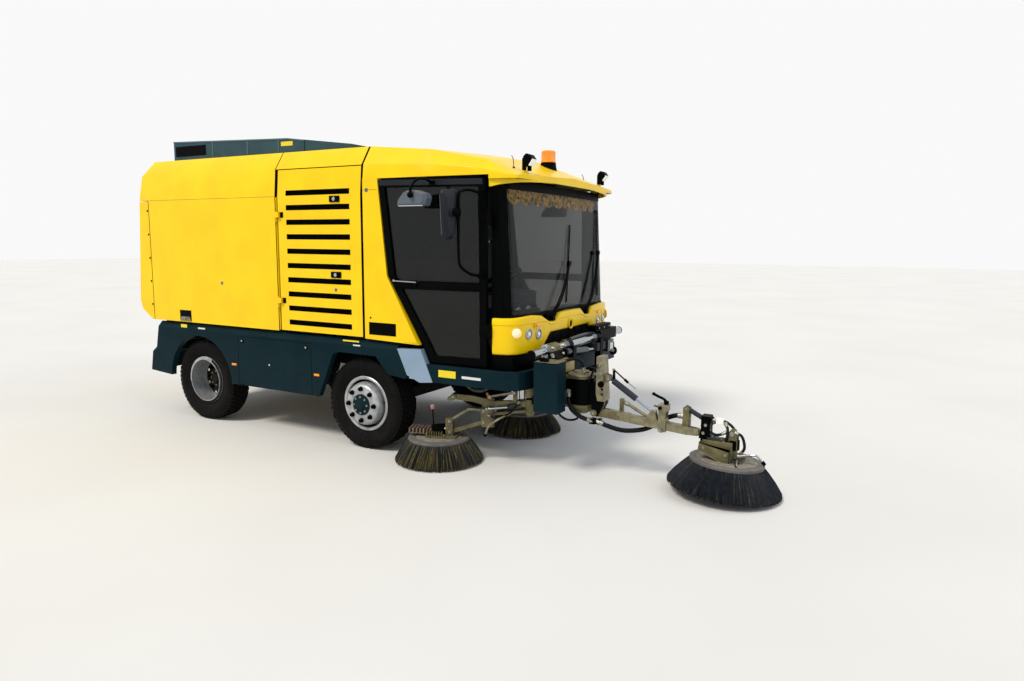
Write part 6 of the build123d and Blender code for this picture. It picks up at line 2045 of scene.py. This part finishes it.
@dataclass
class FrontCarriage:
    """Cross beam and chrome rail in front of the cab, with valve box, hoses and fittings."""

    rail_x: float = 1.562
    rail_z: float = 0.940
    rail_half: float = 0.924

    def build(self) -> None:
        """Dresses the carriage and adds rail, clamps, hoses and plates."""
        def on_rail(centre: Vector, _: Vector) -> bool:
            """Whether a face belongs to the rail tube."""
            return math.hypot(centre.x - self.rail_x, centre.z - self.rail_z) < 0.0362

        dress(
            "brush_carrier", BLACK, 0.003,
            [
                (on_rail, CHROME),
                (
                    lambda c, n: math.hypot(
                        c.x - self.rail_x, c.z - self.rail_z
                    ) < 0.056 and abs(c.y + 0.6) < 0.12, OLIVE
                ), (lambda c, n: c.x > 1.63 and c.z > 0.74 and c.y < -0.4, OLIVE),
                (lambda c, n: c.x > 1.66 and c.z < 0.55 and c.y < -0.4, OLIVE),
                (lambda c, n: c.x < 1.60 and c.z < 0.66 and c.y < -0.60, OLIVE),
            ]
        )
        dress("valve_box", GREEN, 0.004, [(lambda c, n: c.x < 1.598, ZINC)])
        self._rail_fittings()
        self._valve_box()
        self._hoses()
        self._actuator_top()

    def _rail_fittings(self) -> None:
        """End caps, shift cylinder, pipe, far clamp, lamp box and roller at the rail."""
        parts = Shape()
        for side in Side:
            y = side.value
            parts.rod(
                (self.rail_x, y * self.rail_half, self.rail_z),
                (self.rail_x, y * (self.rail_half + 0.012), self.rail_z), 0.037, BLACK, 28
            )
        parts.rod((1.612, -0.416, 0.905), (1.612, 0.014, 0.868), 0.027, CYLINDER, 24)
        parts.rod((1.612, 0.014, 0.868), (1.612, 0.16, 0.856), 0.012, CHROME, 16)
        parts.ball((1.612, 0.030, 0.867), 0.022, BOLT)
        parts.rod((1.612, -0.45, 0.908), (1.612, -0.416, 0.905), 0.031, BLACK, 24)
        parts.tube(
            [
                (1.562, -0.23, 0.986), (1.562, -0.10, 0.990), (1.562, 0.10, 0.992), (1.562, 0.30, 0.986),
                (1.562, 0.36, 0.984)
            ], 0.012, CYLINDER
        )
        parts.box((1.530, 1.606), (0.25, 0.60), (1.000, 1.052), BLACK)
        parts.box((1.606, 1.612), (0.27, 0.58), (1.008, 1.044), CHASSIS)
        for y in (0.30, 0.42, 0.54):
            parts.rod((1.610, y, 1.026), (1.617, y, 1.026), 0.010, BOLT, 6)
        parts.box((1.60, 1.655), (0.42, 0.56), (0.80, 0.905), CYLINDER)
        parts.box((1.653, 1.658), (0.47, 0.54), (0.815, 0.875), WHITE_LABEL)
        parts.rod((1.625, 0.56, 0.800), (1.625, 0.64, 0.780), 0.016, ZINC)
        parts.lathe(
            [(0.0, 0.0), (0.034, 0.0), (0.040, 0.008), (0.040, 0.024), (0.034, 0.032), (0.0, 0.032)],
            (1.612, 0.64, 0.778), (0.25, 0.95, -0.1), RUBBER, 28
        )
        parts.box((1.585, 1.64), (0.20, 0.40), (0.83, 0.90), IRON)
        for y in (-0.695, -0.505):
            parts.rod((1.620, y, 0.905), (1.642, y, 0.905), 0.013, BOLT, 6)
            parts.rod((1.620, y, 0.970), (1.642, y, 0.970), 0.013, BOLT, 6)
        parts.piece("rail_fittings", "chassis", "carriage_black", 0.0015)

    def _valve_box(self) -> None:
        """Lid with its screws, the pale edge and the hinge of the valve box."""
        parts = Shape()
        parts.prism(
            [(1.597, -0.966), (1.778, -0.966), (1.803, -0.940), (1.803, -0.786), (1.597, -0.786)], "z",
            0.891, 0.898, GREEN
        )
        parts.prism(
            [(1.606, -0.957), (1.774, -0.957), (1.794, -0.936), (1.794, -0.795), (1.606, -0.795)], "z",
            0.897, 0.900, ZINC
        )
        for x, y in ((1.62, -0.945), (1.776, -0.925), (1.62, -0.805), (1.78, -0.805)):
            parts.rod((x, y, 0.899), (x, y, 0.905), 0.008, BOLT, 12)
        for z in (0.60, 0.80):
            parts.rod((1.592, -0.955, z - 0.03), (1.592, -0.955, z + 0.03), 0.008, BLACK, 12)
        parts.box((1.640, 1.700), (-0.945, -0.90), (0.899, 0.93), BLACK)
        for x in (1.655, 1.685):
            parts.rod((x, -0.922, 0.93), (x, -0.922, 0.945), 0.011, BOLT, 6)
        parts.piece("valve_box_lid", "chassis", "skirt_green", 0.001)

    def _hoses(self) -> None:
        """Hydraulic hoses from the valve box to the drum and down to the side arms."""
        hoses = Shape()
        hoses.hose(
            [
                (1.735, -0.775, 0.870), (1.760, -0.725, 0.885), (1.800, -0.68, 0.898),
                (1.850, -0.655, 0.885), (1.870, -0.645, 0.835), (1.872, -0.640, 0.800)
            ], 0.013,
        )
        hoses.hose(
            [
                (1.700, -0.785, 0.545), (1.715, -0.765, 0.49), (1.730, -0.73, 0.445),
                (1.775, -0.695, 0.415), (1.83, -0.66, 0.425), (1.845, -0.635, 0.470)
            ], 0.009,
        )
        hoses.hose(
            [
                (1.700, -0.78, 0.70), (1.675, -0.74, 0.73), (1.665, -0.715, 0.79), (1.650, -0.71, 0.86),
                (1.630, -0.71, 0.92)
            ], 0.010,
        )
        for side in Side:
            y = side.value
            hoses.hose(
                [
                    (1.625, y * 0.30, 0.66), (1.635, y * 0.36, 0.575), (1.610, y * 0.46, 0.520),
                    (1.560, y * 0.56, 0.520), (1.510, y * 0.64, 0.555), (1.490, y * 0.665, 0.605)
                ], 0.011,
            )
        hoses.piece("carriage_hoses", "chassis", "hose_rubber", 0)

    def _actuator_top(self) -> None:
        """Pale flange plate, bolts and bowl bracket round the slewing drum."""
        parts = Shape()
        centre = (1.840, -0.600)
        parts.lathe(
            [(0.0, 0.0), (0.112, 0.0), (0.112, 0.010), (0.06, 0.014), (0.06, 0.03), (0.0, 0.03)],
            (*centre, 0.768), (0, 0, 1), ZINC, 40
        )
        for index in range(6):
            angle = math.radians(60 * index + 20)
            x, y = centre[0] + 0.088 * math.cos(angle), centre[1] + 0.088 * math.sin(angle)
            parts.rod((x, y, 0.776), (x, y, 0.79), 0.011, BOLT, 6)
        parts.lathe(
            [(0.0, 0.0), (0.05, 0.0), (0.085, 0.018), (0.098, 0.05), (0.0, 0.05)], (*centre, 0.466),
            (0, 0, 1), OLIVE, 40,
        )
        parts.box((1.655, 1.735), (-0.69, -0.51), (0.785, 0.872), OCHRE_ZINC)
        parts.piece("slew_flanges", "chassis", "zinc_olive", 0.001)


@dataclass
class SideArms:
    """Side brush arms: swing bases, parallel links, heads and brushes."""

    front_s: float = 0.370
    rear_s: float = 0.655
    front_z: float = 0.345
    rear_z: float = 0.246
    rise: float = 0.092
    brush_s: float = 0.755

    def build(self) -> None:
        """Dresses both arms and adds their details."""
        for side in Side:
            label = side.label
            at = arm_matrix(side)
            dress("brush_base_" + label, OLIVE, 0.0025)
            dress("lower_link_" + label, OLIVE, 0.003)
            dress("upper_link_" + label, ZINC, 0.0)
            inverse = at.inverted()

            def low_motor(centre: Vector, _: Vector, inverse: Matrix = inverse) -> bool:
                """Whether a face belongs to the motor over the brush."""
                local = inverse @ centre
                return math.hypot(local.x - self.brush_s, local.y) < 0.0625 and local.z > 0.21

            dress("brush_head_" + label, OLIVE, 0.002, [(low_motor, BLACK)])
            self._base(side, at)
            self._head(side, at)
            self._brush(side)

    def _base(self, side: Side, at: Matrix) -> None:
        """Bolts, springs, hoses and levers of the swinging base.

        Args:
            side: Side of the truck.
            at: Place of the arm's or wheel's own frame in the truck's.
        """
        s = self.front_s
        parts = Shape(at)
        for z in (self.front_z, self.front_z + self.rise):
            for y in (-0.036, 0.036):
                parts.rod((s, y * 0.94, z), (s, y * 1.22, z), 0.014, BOLT, 6)
        parts.lathe(
            [(0.0, 0.0), (0.030, 0.0), (0.030, 0.012), (0.0, 0.016)], (0, 0, 0.548), (0, 0, 1), BLACK, 24
        )
        horn = [
            (s - 0.075, 0.505), (s - 0.010, 0.537), (s + 0.10, 0.556), (s + 0.20, 0.562),
            (s + 0.262, 0.560), (s + 0.262, 0.522), (s + 0.20, 0.514), (s + 0.10, 0.506), (s + 0.04, 0.494),
            (s - 0.005, 0.477), (s - 0.045, 0.444), (s - 0.075, 0.40),
        ]
        parts.prism(horn, "y", -0.017, 0.017, OLIVE)
        parts.rod((s + 0.256, -0.036, 0.541), (s + 0.256, 0.036, 0.541), 0.026, OLIVE, 28)
        parts.rod((s + 0.256, -0.042, 0.541), (s + 0.256, 0.042, 0.541), 0.012, BOLT, 6)
        parts.prism(
            [
                (s - 0.060, 0.535), (s - 0.030, 0.552), (s - 0.018, 0.588), (s - 0.032, 0.592),
                (s - 0.046, 0.566), (s - 0.07, 0.548)
            ], "y", 0.018, 0.034, ORANGE
        )
        parts.rod((s - 0.05, 0.030, 0.560), (0.115, 0.044, 0.604), 0.010, ZINC, 14)
        parts.rod((s - 0.05, 0.014, 0.560), (s - 0.05, 0.046, 0.560), 0.013, BOLT, 6)
        parts.rod((0.115, 0.020, 0.604), (0.115, 0.060, 0.604), 0.012, BOLT, 6)
        parts.box((0.100, 0.130), (-0.012, 0.032), (0.53, 0.618), OLIVE)
        self._spring(parts, (0.10, -0.045, 0.47), (s - 0.03, -0.045, 0.46))
        parts.rod((0.10, -0.060, 0.47), (0.10, -0.020, 0.47), 0.007, BOLT)
        parts.rod((s - 0.03, -0.06, 0.46), (s - 0.03, -0.02, 0.46), 0.007, BOLT)
        parts.rod((0.07, 0.048, 0.500), (s - 0.03, 0.048, 0.462), 0.011, CHROME, 16)
        parts.rod((0.07, 0.048, 0.500), (0.17, 0.048, 0.487), 0.019, CYLINDER, 20)
        parts.rod((s - 0.03, 0.020, 0.462), (s - 0.03, 0.064, 0.462), 0.014, BOLT, 6)
        parts.hose(
            [
                (0.075, 0.064, 0.535), (0.12, 0.080, 0.47), (0.18, 0.085, 0.425), (0.25, 0.075, 0.40),
                (s - 0.045, 0.044, 0.405)
            ], 0.008
        )
        parts.tube(
            [
                (0.150, 0.035, 0.430), (0.195, 0.095, 0.418), (0.252, 0.128, 0.385), (0.307, 0.124, 0.338),
                (0.334, 0.116, 0.275)
            ], 0.0085, ZINC, 12
        )
        parts.rod((0.335, 0.116, 0.272), (0.338, 0.115, 0.258), 0.014, BLACK)
        parts.piece("swing_base_details_" + side.label, "brush_base_" + side.label, "zinc_olive", 0.0008)

    @staticmethod
    def _spring(parts: Shape, start: Point, end: Point) -> None:
        """Adds a coil spring with hooks between two points.

        Args:
            parts: Shape that gets the spring.
            start: One end.
            end: The other end.
        """
        a, b = Vector(start), Vector(end)
        along = (b - a).normalized()
        side = along.orthogonal().normalized()
        other = along.cross(side)
        turns, radius = 14, 0.014
        points = [a]
        for step in range(turns * 6 + 1):
            t = step / (turns * 6)
            angle = 2 * math.pi * turns * t
            centre = a + (b - a) * (0.12 + 0.76 * t)
            points.append(centre + (side * math.cos(angle) + other * math.sin(angle)) * radius)
        points.append(b)
        parts.tube([tuple(point) for point in points], 0.0028, ZINC, 6, 2)

    def _head(self, side: Side, at: Matrix) -> None:
        """Motor cap, hoses, bolts and height crank of the brush head.

        Args:
            side: Side of the truck.
            at: Place of the arm's or wheel's own frame in the truck's.
        """
        s = self.brush_s
        parts = Shape(at)
        parts.rod((s + 0.040, 0.02, 0.28), (s + 0.048, 0.02, 0.43), 0.005, BLACK, 10)
        parts.lathe(
            [(0.0, 0.0), (0.014, 0.002), (0.018, 0.012), (0.018, 0.030), (0.012, 0.038), (0.0, 0.040)],
            (s + 0.048, 0.02, 0.428), (0, 0, 1), PINK_VINYL, 20
        )
        parts.box((s - 0.015, s + 0.245), (-0.050, 0.050), (0.2225, 0.2305), OLIVE)
        for y in (-0.02, 0.02):
            parts.rod((s - 0.03, y, 0.27), (s - 0.075, y, 0.272), 0.012, BOLT, 6)
        for z in (self.rear_z, self.rear_z + self.rise):
            for y in (-0.033, 0.033):
                parts.rod((self.rear_s, y * 0.95, z), (self.rear_s, y * 1.25, z), 0.013, BOLT, 6)
        for x, y in ((s - 0.06, 0.066), (s - 0.06, -0.066), (s + 0.08, 0.066), (s + 0.08, -0.066)):
            parts.rod((x, y, 0.215), (x, y, 0.232), 0.010, ZINC, 6)
        parts.hose(
            [
                (s - 0.015, -0.045, 0.262), (s - 0.03, -0.080, 0.290), (s - 0.06, -0.085, 0.320),
                (self.rear_s, -0.062, 0.330), (self.rear_s, -0.045, 0.300)
            ], 0.007
        )
        parts.piece("brush_head_details_" + side.label, "brush_head_" + side.label, "zinc_olive", 0.0008)
        fin = Shape().prism(
            [(-0.056, 0.228), (0.056, 0.228), (0.052, 0.268), (-0.052, 0.272)], "x", -0.006, 0.006, RUSTY
        )
        Copies(7, step=(0.030, 0.0, 0.0)).piece(
            fin, "head_fins_" + side.label, "brush_head_" + side.label, "zinc_olive", RUSTY,
            at @ Matrix.Translation((s + 0.058, 0, 0)), 0.0008,
        )

    def _brush(self, side: Side) -> None:
        """Disc, rings and bristles of a side brush.

        Args:
            side: Side of the truck.
        """
        at = joint_matrix(f"brush_{side.label}_spin")
        body = "side_brush_" + side.label
        at = at @ Matrix.Translation((0, 0, -0.184))
        ring = BristleRing((0.240, 0.190), (0.362, 0.016), 700, 0.0042)
        disc = Shape(at)
        ring.core(disc, BRISTLE_DARK)
        disc.turned(
            [
                (0.0, 0.178), (0.250, 0.178), (0.252, 0.196), (0.245, 0.2005), (0.200, 0.2005),
                (0.196, 0.1975), (0.150, 0.1975), (0.146, 0.2005), (0.09, 0.2005), (0.085, 0.204),
                (0.022, 0.204), (0.022, 0.216), (0.0, 0.216)
            ], DIRTY_STEEL, 64,
        )
        disc.turned([(0.10, 0.1985), (0.188, 0.1985), (0.186, 0.2015), (0.102, 0.2020)], DRIED_DIRT, 64)
        disc.piece(f"side_brush_disc_{side.label}", body, "bristle", 0, [body])
        ring.build(
            f"side_brush_{side.label}", body, at,
            ((BRISTLE_DARK, 0.36), (BRISTLE_STRAW, 0.30), (BRISTLE_BROWN, 0.34))
        )


@dataclass
class FrontArm:
    """Slewing mast, boom, lift cylinder, brush head and front brush."""

    y: float = -0.600

    def build(self) -> None:
        """Dresses the arm's nodes and adds hoses, fittings and levers."""
        dress("arm_mast", ZINC, 0.003, [
            (lambda c, n: math.hypot(c.x - 1.840, c.y + 0.600) < 0.1005, BLACK),
            (lambda c, n: c.x < 2.0 and c.z > 0.5 and 0.55 < c.z < 0.73, BLACK),
        ])
        dress("boom", ZINC, 0.003, [(lambda c, n: c.z > 0.60 and c.x > 2.40 and c.x < 2.50, BLACK)])
        dress("lift_barrel", CYLINDER, 0.002)
        dress("lift_rod", CHROME, 0.0)
        dress("tip_barrel", CYLINDER, 0.002)
        dress("tip_rod", CHROME, 0.0)
        dress("arm_head", OLIVE, 0.003, [
            (lambda c, n: 2.79 < c.x < 2.86 and c.z > 0.40 and abs(c.y + 0.6) < 0.046, BLACK),
            (lambda c, n: c.z > 0.27 and math.hypot(c.x - 2.945, c.y + 0.578) < 0.068, BLACK),
        ])
        self._mast()
        self._boom()
        self._head()
        self._brush()

    def _mast(self) -> None:
        """Knob, bolts and hose at the mast plate, and the stay that rides on the cylinder."""
        parts = Shape()
        y = self.y
        parts.rod((2.030, y - 0.062, 0.72), (2.030, y - 0.085, 0.72), 0.024, BLACK, 24)
        parts.rod((2.026, y - 0.062, 0.88), (2.026, y - 0.072, 0.88), 0.010, BOLT, 6)
        parts.rod((2.024, y - 0.062, 0.805), (2.024, y - 0.070, 0.805), 0.014, BOLT, 24)
        for z in (0.64, 0.68):
            parts.rod((2.034, y - 0.060, z), (2.034, y - 0.0635, z), 0.010, HOSE, 20)
        parts.rod((1.971, y - 0.054, 0.487), (1.971, y - 0.070, 0.487), 0.026, OLIVE, 28)
        parts.rod((1.971, y - 0.070, 0.487), (1.971, y - 0.078, 0.487), 0.016, BOLT, 6)
        parts.rod((2.075, y - 0.030, 0.761), (2.075, y - 0.042, 0.761), 0.014, BOLT, 6)
        parts.hose(
            [
                (1.905, y - 0.035, 0.700), (1.935, y - 0.070, 0.745), (1.965, y - 0.085, 0.81),
                (1.995, y - 0.082, 0.855), (2.010, y - 0.066, 0.860)
            ], 0.008
        )
        parts.hose(
            [
                (1.768, y - 0.082, 0.640), (1.775, y - 0.105, 0.575), (1.810, y - 0.112, 0.505),
                (1.880, y - 0.108, 0.458), (1.945, y - 0.100, 0.438), (1.975, y - 0.090, 0.430)
            ], 0.017,
        )
        parts.box((1.955, 2.000), (y - 0.112, y - 0.056), (0.410, 0.452), BLACK)
        parts.piece("mast_details", "mast", "zinc_pale", 0.0008)
        stay = Shape()
        stay.rod((2.104, y - 0.012, 0.835), (2.196, y - 0.012, 0.765), 0.0055, BLACK, 10)
        stay.rod((2.196, y - 0.012, 0.765), (2.226, y - 0.012, 0.742), 0.010, BLACK, 14)
        stay.rod((2.226, y - 0.012, 0.742), (2.288, y - 0.012, 0.702), 0.0055, CHROME, 12)
        stay.rod((2.106, y - 0.022, 0.833), (2.106, y - 0.004, 0.833), 0.009, BOLT, 6)
        lug = [(2.098, 0.755), (2.120, 0.747), (2.116, 0.832), (2.108, 0.841), (2.097, 0.834)]
        stay.prism(lug, "y", y - 0.008, y - 0.002, BLACK)
        stay.piece("lift_stay", "lift_barrel", "cylinder_black", 0.0008)

    def _boom(self) -> None:
        """Doubling plate, parallel rod, hose sleeve, clamp head and lock lever of the boom."""
        y = self.y
        parts = Shape()

        def top(x: float) -> float:
            """Height of the boom's middle line."""
            return 0.487 + (0.431 - 0.487) * (x - 1.971) / (2.752 - 1.971)

        parts.prism(
            [
                (2.02, top(2.02) + 0.028), (2.26, top(2.26) + 0.028), (2.24, top(2.24) + 0.037),
                (2.04, top(2.04) + 0.037)
            ], "y", y - 0.026, y + 0.026, ZINC
        )
        for offset in (-0.040, 0.034):
            parts.prism(
                [(1.975, 0.462), (2.15, 0.452), (2.17, 0.47), (2.12, 0.500), (1.975, 0.512)], "y",
                y + offset, y + offset + 0.006, OLIVE
            )
        parts.rod((2.158, y + 0.046, 0.590), (2.360, y + 0.046, 0.488), 0.0125, ZINC, 16)
        parts.rod((2.190, y + 0.046, 0.574), (2.215, y + 0.046, 0.561), 0.018, BOLT, 6)
        parts.box((2.345, 2.385), (y + 0.026, y + 0.060), (0.455, 0.500), ZINC)
        parts.box((2.146, 2.174), (y + 0.030, y + 0.062), (0.475, 0.604), OLIVE)
        parts.hose(
            [
                (2.010, y - 0.060, 0.425), (2.07, y - 0.062, 0.405), (2.178, y - 0.040, 0.378),
                (2.27, y - 0.010, 0.377), (2.36, y + 0.030, 0.395), (2.44, y + 0.052, 0.440),
                (2.51, y + 0.056, 0.490), (2.58, y + 0.056, 0.520), (2.645, y + 0.056, 0.525)
            ], 0.018,
        )
        parts.box((1.995, 2.030), (y - 0.078, y - 0.028), (0.405, 0.447), BLACK)
        parts.box((2.640, 2.690), (y + 0.028, y + 0.076), (0.455, 0.548), OLIVE)
        for side in (-0.041, 0.035):
            parts.prism(
                [(2.474, 0.408), (2.512, 0.400), (2.538, 0.610), (2.474, 0.606)], "y", y + side,
                y + side + 0.006, ZINC
            )
        parts.box((2.470, 2.540), (y - 0.042, y + 0.042), (0.562, 0.608), ZINC)
        parts.rod((2.496, y - 0.041, 0.415), (2.496, y - 0.055, 0.415), 0.014, BOLT, 6)
        parts.rod((2.489, y - 0.042, 0.585), (2.489, y - 0.056, 0.585), 0.013, BLACK, 20)
        parts.lathe(
            [(0.0, 0.0), (0.017, 0.0), (0.020, 0.026), (0.0, 0.030)], (2.521, y, 0.607), (0, 0, 1), BLACK,
            20
        )
        parts.tube(
            [
                (2.521, y, 0.630), (2.500, y - 0.004, 0.648), (2.462, y - 0.010, 0.664),
                (2.428, y - 0.014, 0.680)
            ], 0.010, BLACK, 12
        )
        parts.ball((2.427, y - 0.014, 0.6805), 0.013, BLACK)
        for offset in (0.0, 0.052):
            parts.prism(
                [
                    (2.645, top(2.66) + 0.026), (2.690, top(2.66) + 0.022), (2.694, 0.60), (2.664, 0.612),
                    (2.648, 0.600)
                ], "y", y + offset - 0.003, y + offset + 0.003, OLIVE
            )
        parts.rod((2.672, y - 0.010, 0.592), (2.672, y + 0.062, 0.592), 0.009, BOLT, 6)
        parts.rod((2.672, y + 0.026, 0.592), (2.790, y + 0.026, 0.532), 0.018, CYLINDER, 20)
        parts.rod((2.790, y + 0.026, 0.532), (2.822, y + 0.026, 0.516), 0.009, CHROME, 14)
        parts.piece("boom_details", "boom", "zinc_pale", 0.0008)

    def _head(self) -> None:
        """Post, channel, eye plates, valve, hoses and crank of the brush head."""
        y = self.y
        parts = Shape()
        parts.prism(
            [(2.776, 0.395), (2.834, 0.405), (2.866, 0.548), (2.804, 0.552)], "y", y - 0.034, y + 0.050,
            BLACK
        )
        for z in (0.44, 0.50):
            parts.rod(
                (2.80 + (z - 0.4) * 0.25, y - 0.034, z), (2.80 + (z - 0.4) * 0.25, y - 0.046, z), 0.012,
                BOLT, 6
            )
        for offset in (-0.032, 0.020):
            parts.prism(
                [
                    (2.966, 0.345), (2.972, 0.420), (2.987, 0.471), (3.005, 0.487), (3.026, 0.485),
                    (3.042, 0.455), (3.050, 0.400), (3.050, 0.345)
                ], "y", y + offset, y + offset + 0.008, OLIVE,
            )
        parts.rod((3.012, y - 0.046, 0.460), (3.012, y + 0.040, 0.460), 0.017, BOLT, 24)
        channel = [(2.789, 0.331), (2.795, 0.385), (3.014, 0.342), (3.011, 0.243), (2.99, 0.240)]
        parts.prism(channel, "y", y - 0.092, y - 0.085, OLIVE)
        parts.prism(
            [(2.795, 0.385), (3.014, 0.342), (3.013, 0.335), (2.795, 0.378)], "y", y - 0.092, y - 0.030,
            OLIVE
        )
        parts.prism(
            [(2.789, 0.335), (2.99, 0.246), (2.99, 0.239), (2.789, 0.328)], "y", y - 0.100, y - 0.060, ZINC
        )
        parts.box((3.006, 3.014), (y - 0.092, y - 0.030), (0.252, 0.338), OLIVE)
        parts.rod((2.985, y - 0.092, 0.315), (2.985, y - 0.101, 0.315), 0.012, BOLT, 6)
        parts.rod((2.83, y - 0.092, 0.350), (2.83, y - 0.100, 0.350), 0.010, BOLT, 6)
        parts.prism(
            [(2.840, 0.380), (2.842, 0.418), (2.946, 0.400), (3.020, 0.366), (3.000, 0.330), (2.90, 0.345)],
            "y", y - 0.055, y + 0.030, IRON
        )
        for x, z in ((2.87, 0.41), (2.905, 0.404), (2.94, 0.397)):
            parts.rod((x, y - 0.02, z), (x + 0.003, y - 0.02, z + 0.026), 0.012, BOLT, 6)
        parts.box((2.893, 2.945), (y - 0.022, y + 0.022), (0.516, 0.552), WHITE_LENS)
        parts.rod((2.850, y, 0.534), (2.895, y, 0.534), 0.012, BOLT, 12)
        parts.rod((2.943, y, 0.534), (2.966, y, 0.520), 0.011, BLACK, 12)
        parts.rod((3.02, y, 0.34), (3.02, y, 0.41), 0.040, BLACK, 28)
        parts.hose(
            [
                (2.838, y - 0.02, 0.470), (2.868, y - 0.035, 0.450), (2.899, y - 0.04, 0.440),
                (2.935, y - 0.035, 0.446), (2.962, y - 0.030, 0.462)
            ], 0.010
        )
        parts.hose(
            [
                (2.957, y - 0.01, 0.522), (2.976, y - 0.025, 0.495), (2.982, y - 0.045, 0.450),
                (2.972, y - 0.05, 0.405), (2.950, y - 0.045, 0.385)
            ], 0.010
        )
        parts.hose(
            [
                (3.030, y - 0.020, 0.468), (3.075, y - 0.028, 0.452), (3.096, y - 0.030, 0.405),
                (3.098, y - 0.030, 0.360), (3.075, y - 0.025, 0.320)
            ], 0.010
        )
        parts.hose(
            [
                (2.85, y + 0.045, 0.500), (2.91, y + 0.075, 0.520), (2.98, y + 0.080, 0.490),
                (3.03, y + 0.060, 0.430), (3.030, y + 0.035, 0.390)
            ], 0.010
        )
        parts.rod((3.055, y - 0.025, 0.300), (3.112, y - 0.022, 0.312), 0.016, BOLT, 14)
        parts.tube(
            [
                (3.105, y - 0.02, 0.311), (3.150, y - 0.02, 0.322), (3.180, y - 0.02, 0.322),
                (3.205, y - 0.02, 0.305), (3.228, y - 0.02, 0.280)
            ], 0.0085, CHROME, 12
        )
        parts.rod((3.222, y - 0.02, 0.287), (3.241, y - 0.02, 0.264), 0.013, BLACK, 14)
        parts.rod((3.052, y - 0.055, 0.275), (3.066, y - 0.120, 0.246), 0.011, CHROME, 8)
        parts.rod((3.066, y - 0.120, 0.246), (3.070, y - 0.140, 0.240), 0.014, BLACK, 12)
        parts.piece("head_details", "arm_head", "zinc_olive", 0.0008)

    def _brush(self) -> None:
        """Disc and bristles of the front brush."""
        at = joint_matrix("front_brush_spin") @ Matrix.Translation((0, 0, -0.196))
        ring = BristleRing((0.250, 0.198), (0.402, 0.013), 1300, 0.0044, 0.028)
        disc = Shape(at)
        ring.core(disc, BRISTLE_DARK)
        disc.turned(
            [
                (0.0, 0.190), (0.262, 0.190), (0.264, 0.208), (0.257, 0.2135), (0.225, 0.2145),
                (0.220, 0.2105), (0.165, 0.2105), (0.160, 0.2145), (0.10, 0.2145), (0.095, 0.218),
                (0.024, 0.218), (0.024, 0.233), (0.0, 0.233)
            ], DIRTY_STEEL, 72,
        )
        disc.turned([(0.112, 0.2115), (0.216, 0.2085), (0.214, 0.2150), (0.114, 0.2165)], DRIED_DIRT, 72)
        disc.piece("front_brush_disc", "front_brush", "bristle", 0, ["front_brush"])
        ring.build(
            "front_brush", "front_brush", at,
            ((BRISTLE_DARK, 0.82), (BRISTLE_BROWN, 0.06), (BRISTLE_RUST, 0.08), (BRISTLE_STRAW, 0.04))
        )


def main() -> None:
    """Builds the stage and every sub-assembly."""
    logging.basicConfig(level=logging.INFO, format="%(name)s: %(message)s")
    for part in (
        Stage(), Wheels(), Chassis(), Hopper(), EngineBay(), RoofDuct(), Skirts(), Cab(), Mirrors(),
        FrontCarriage(), SideArms(), FrontArm(),
    ):
        LOG.info("building %s", type(part).__name__)
        part.build()


if __name__ == "__main__":
    main()
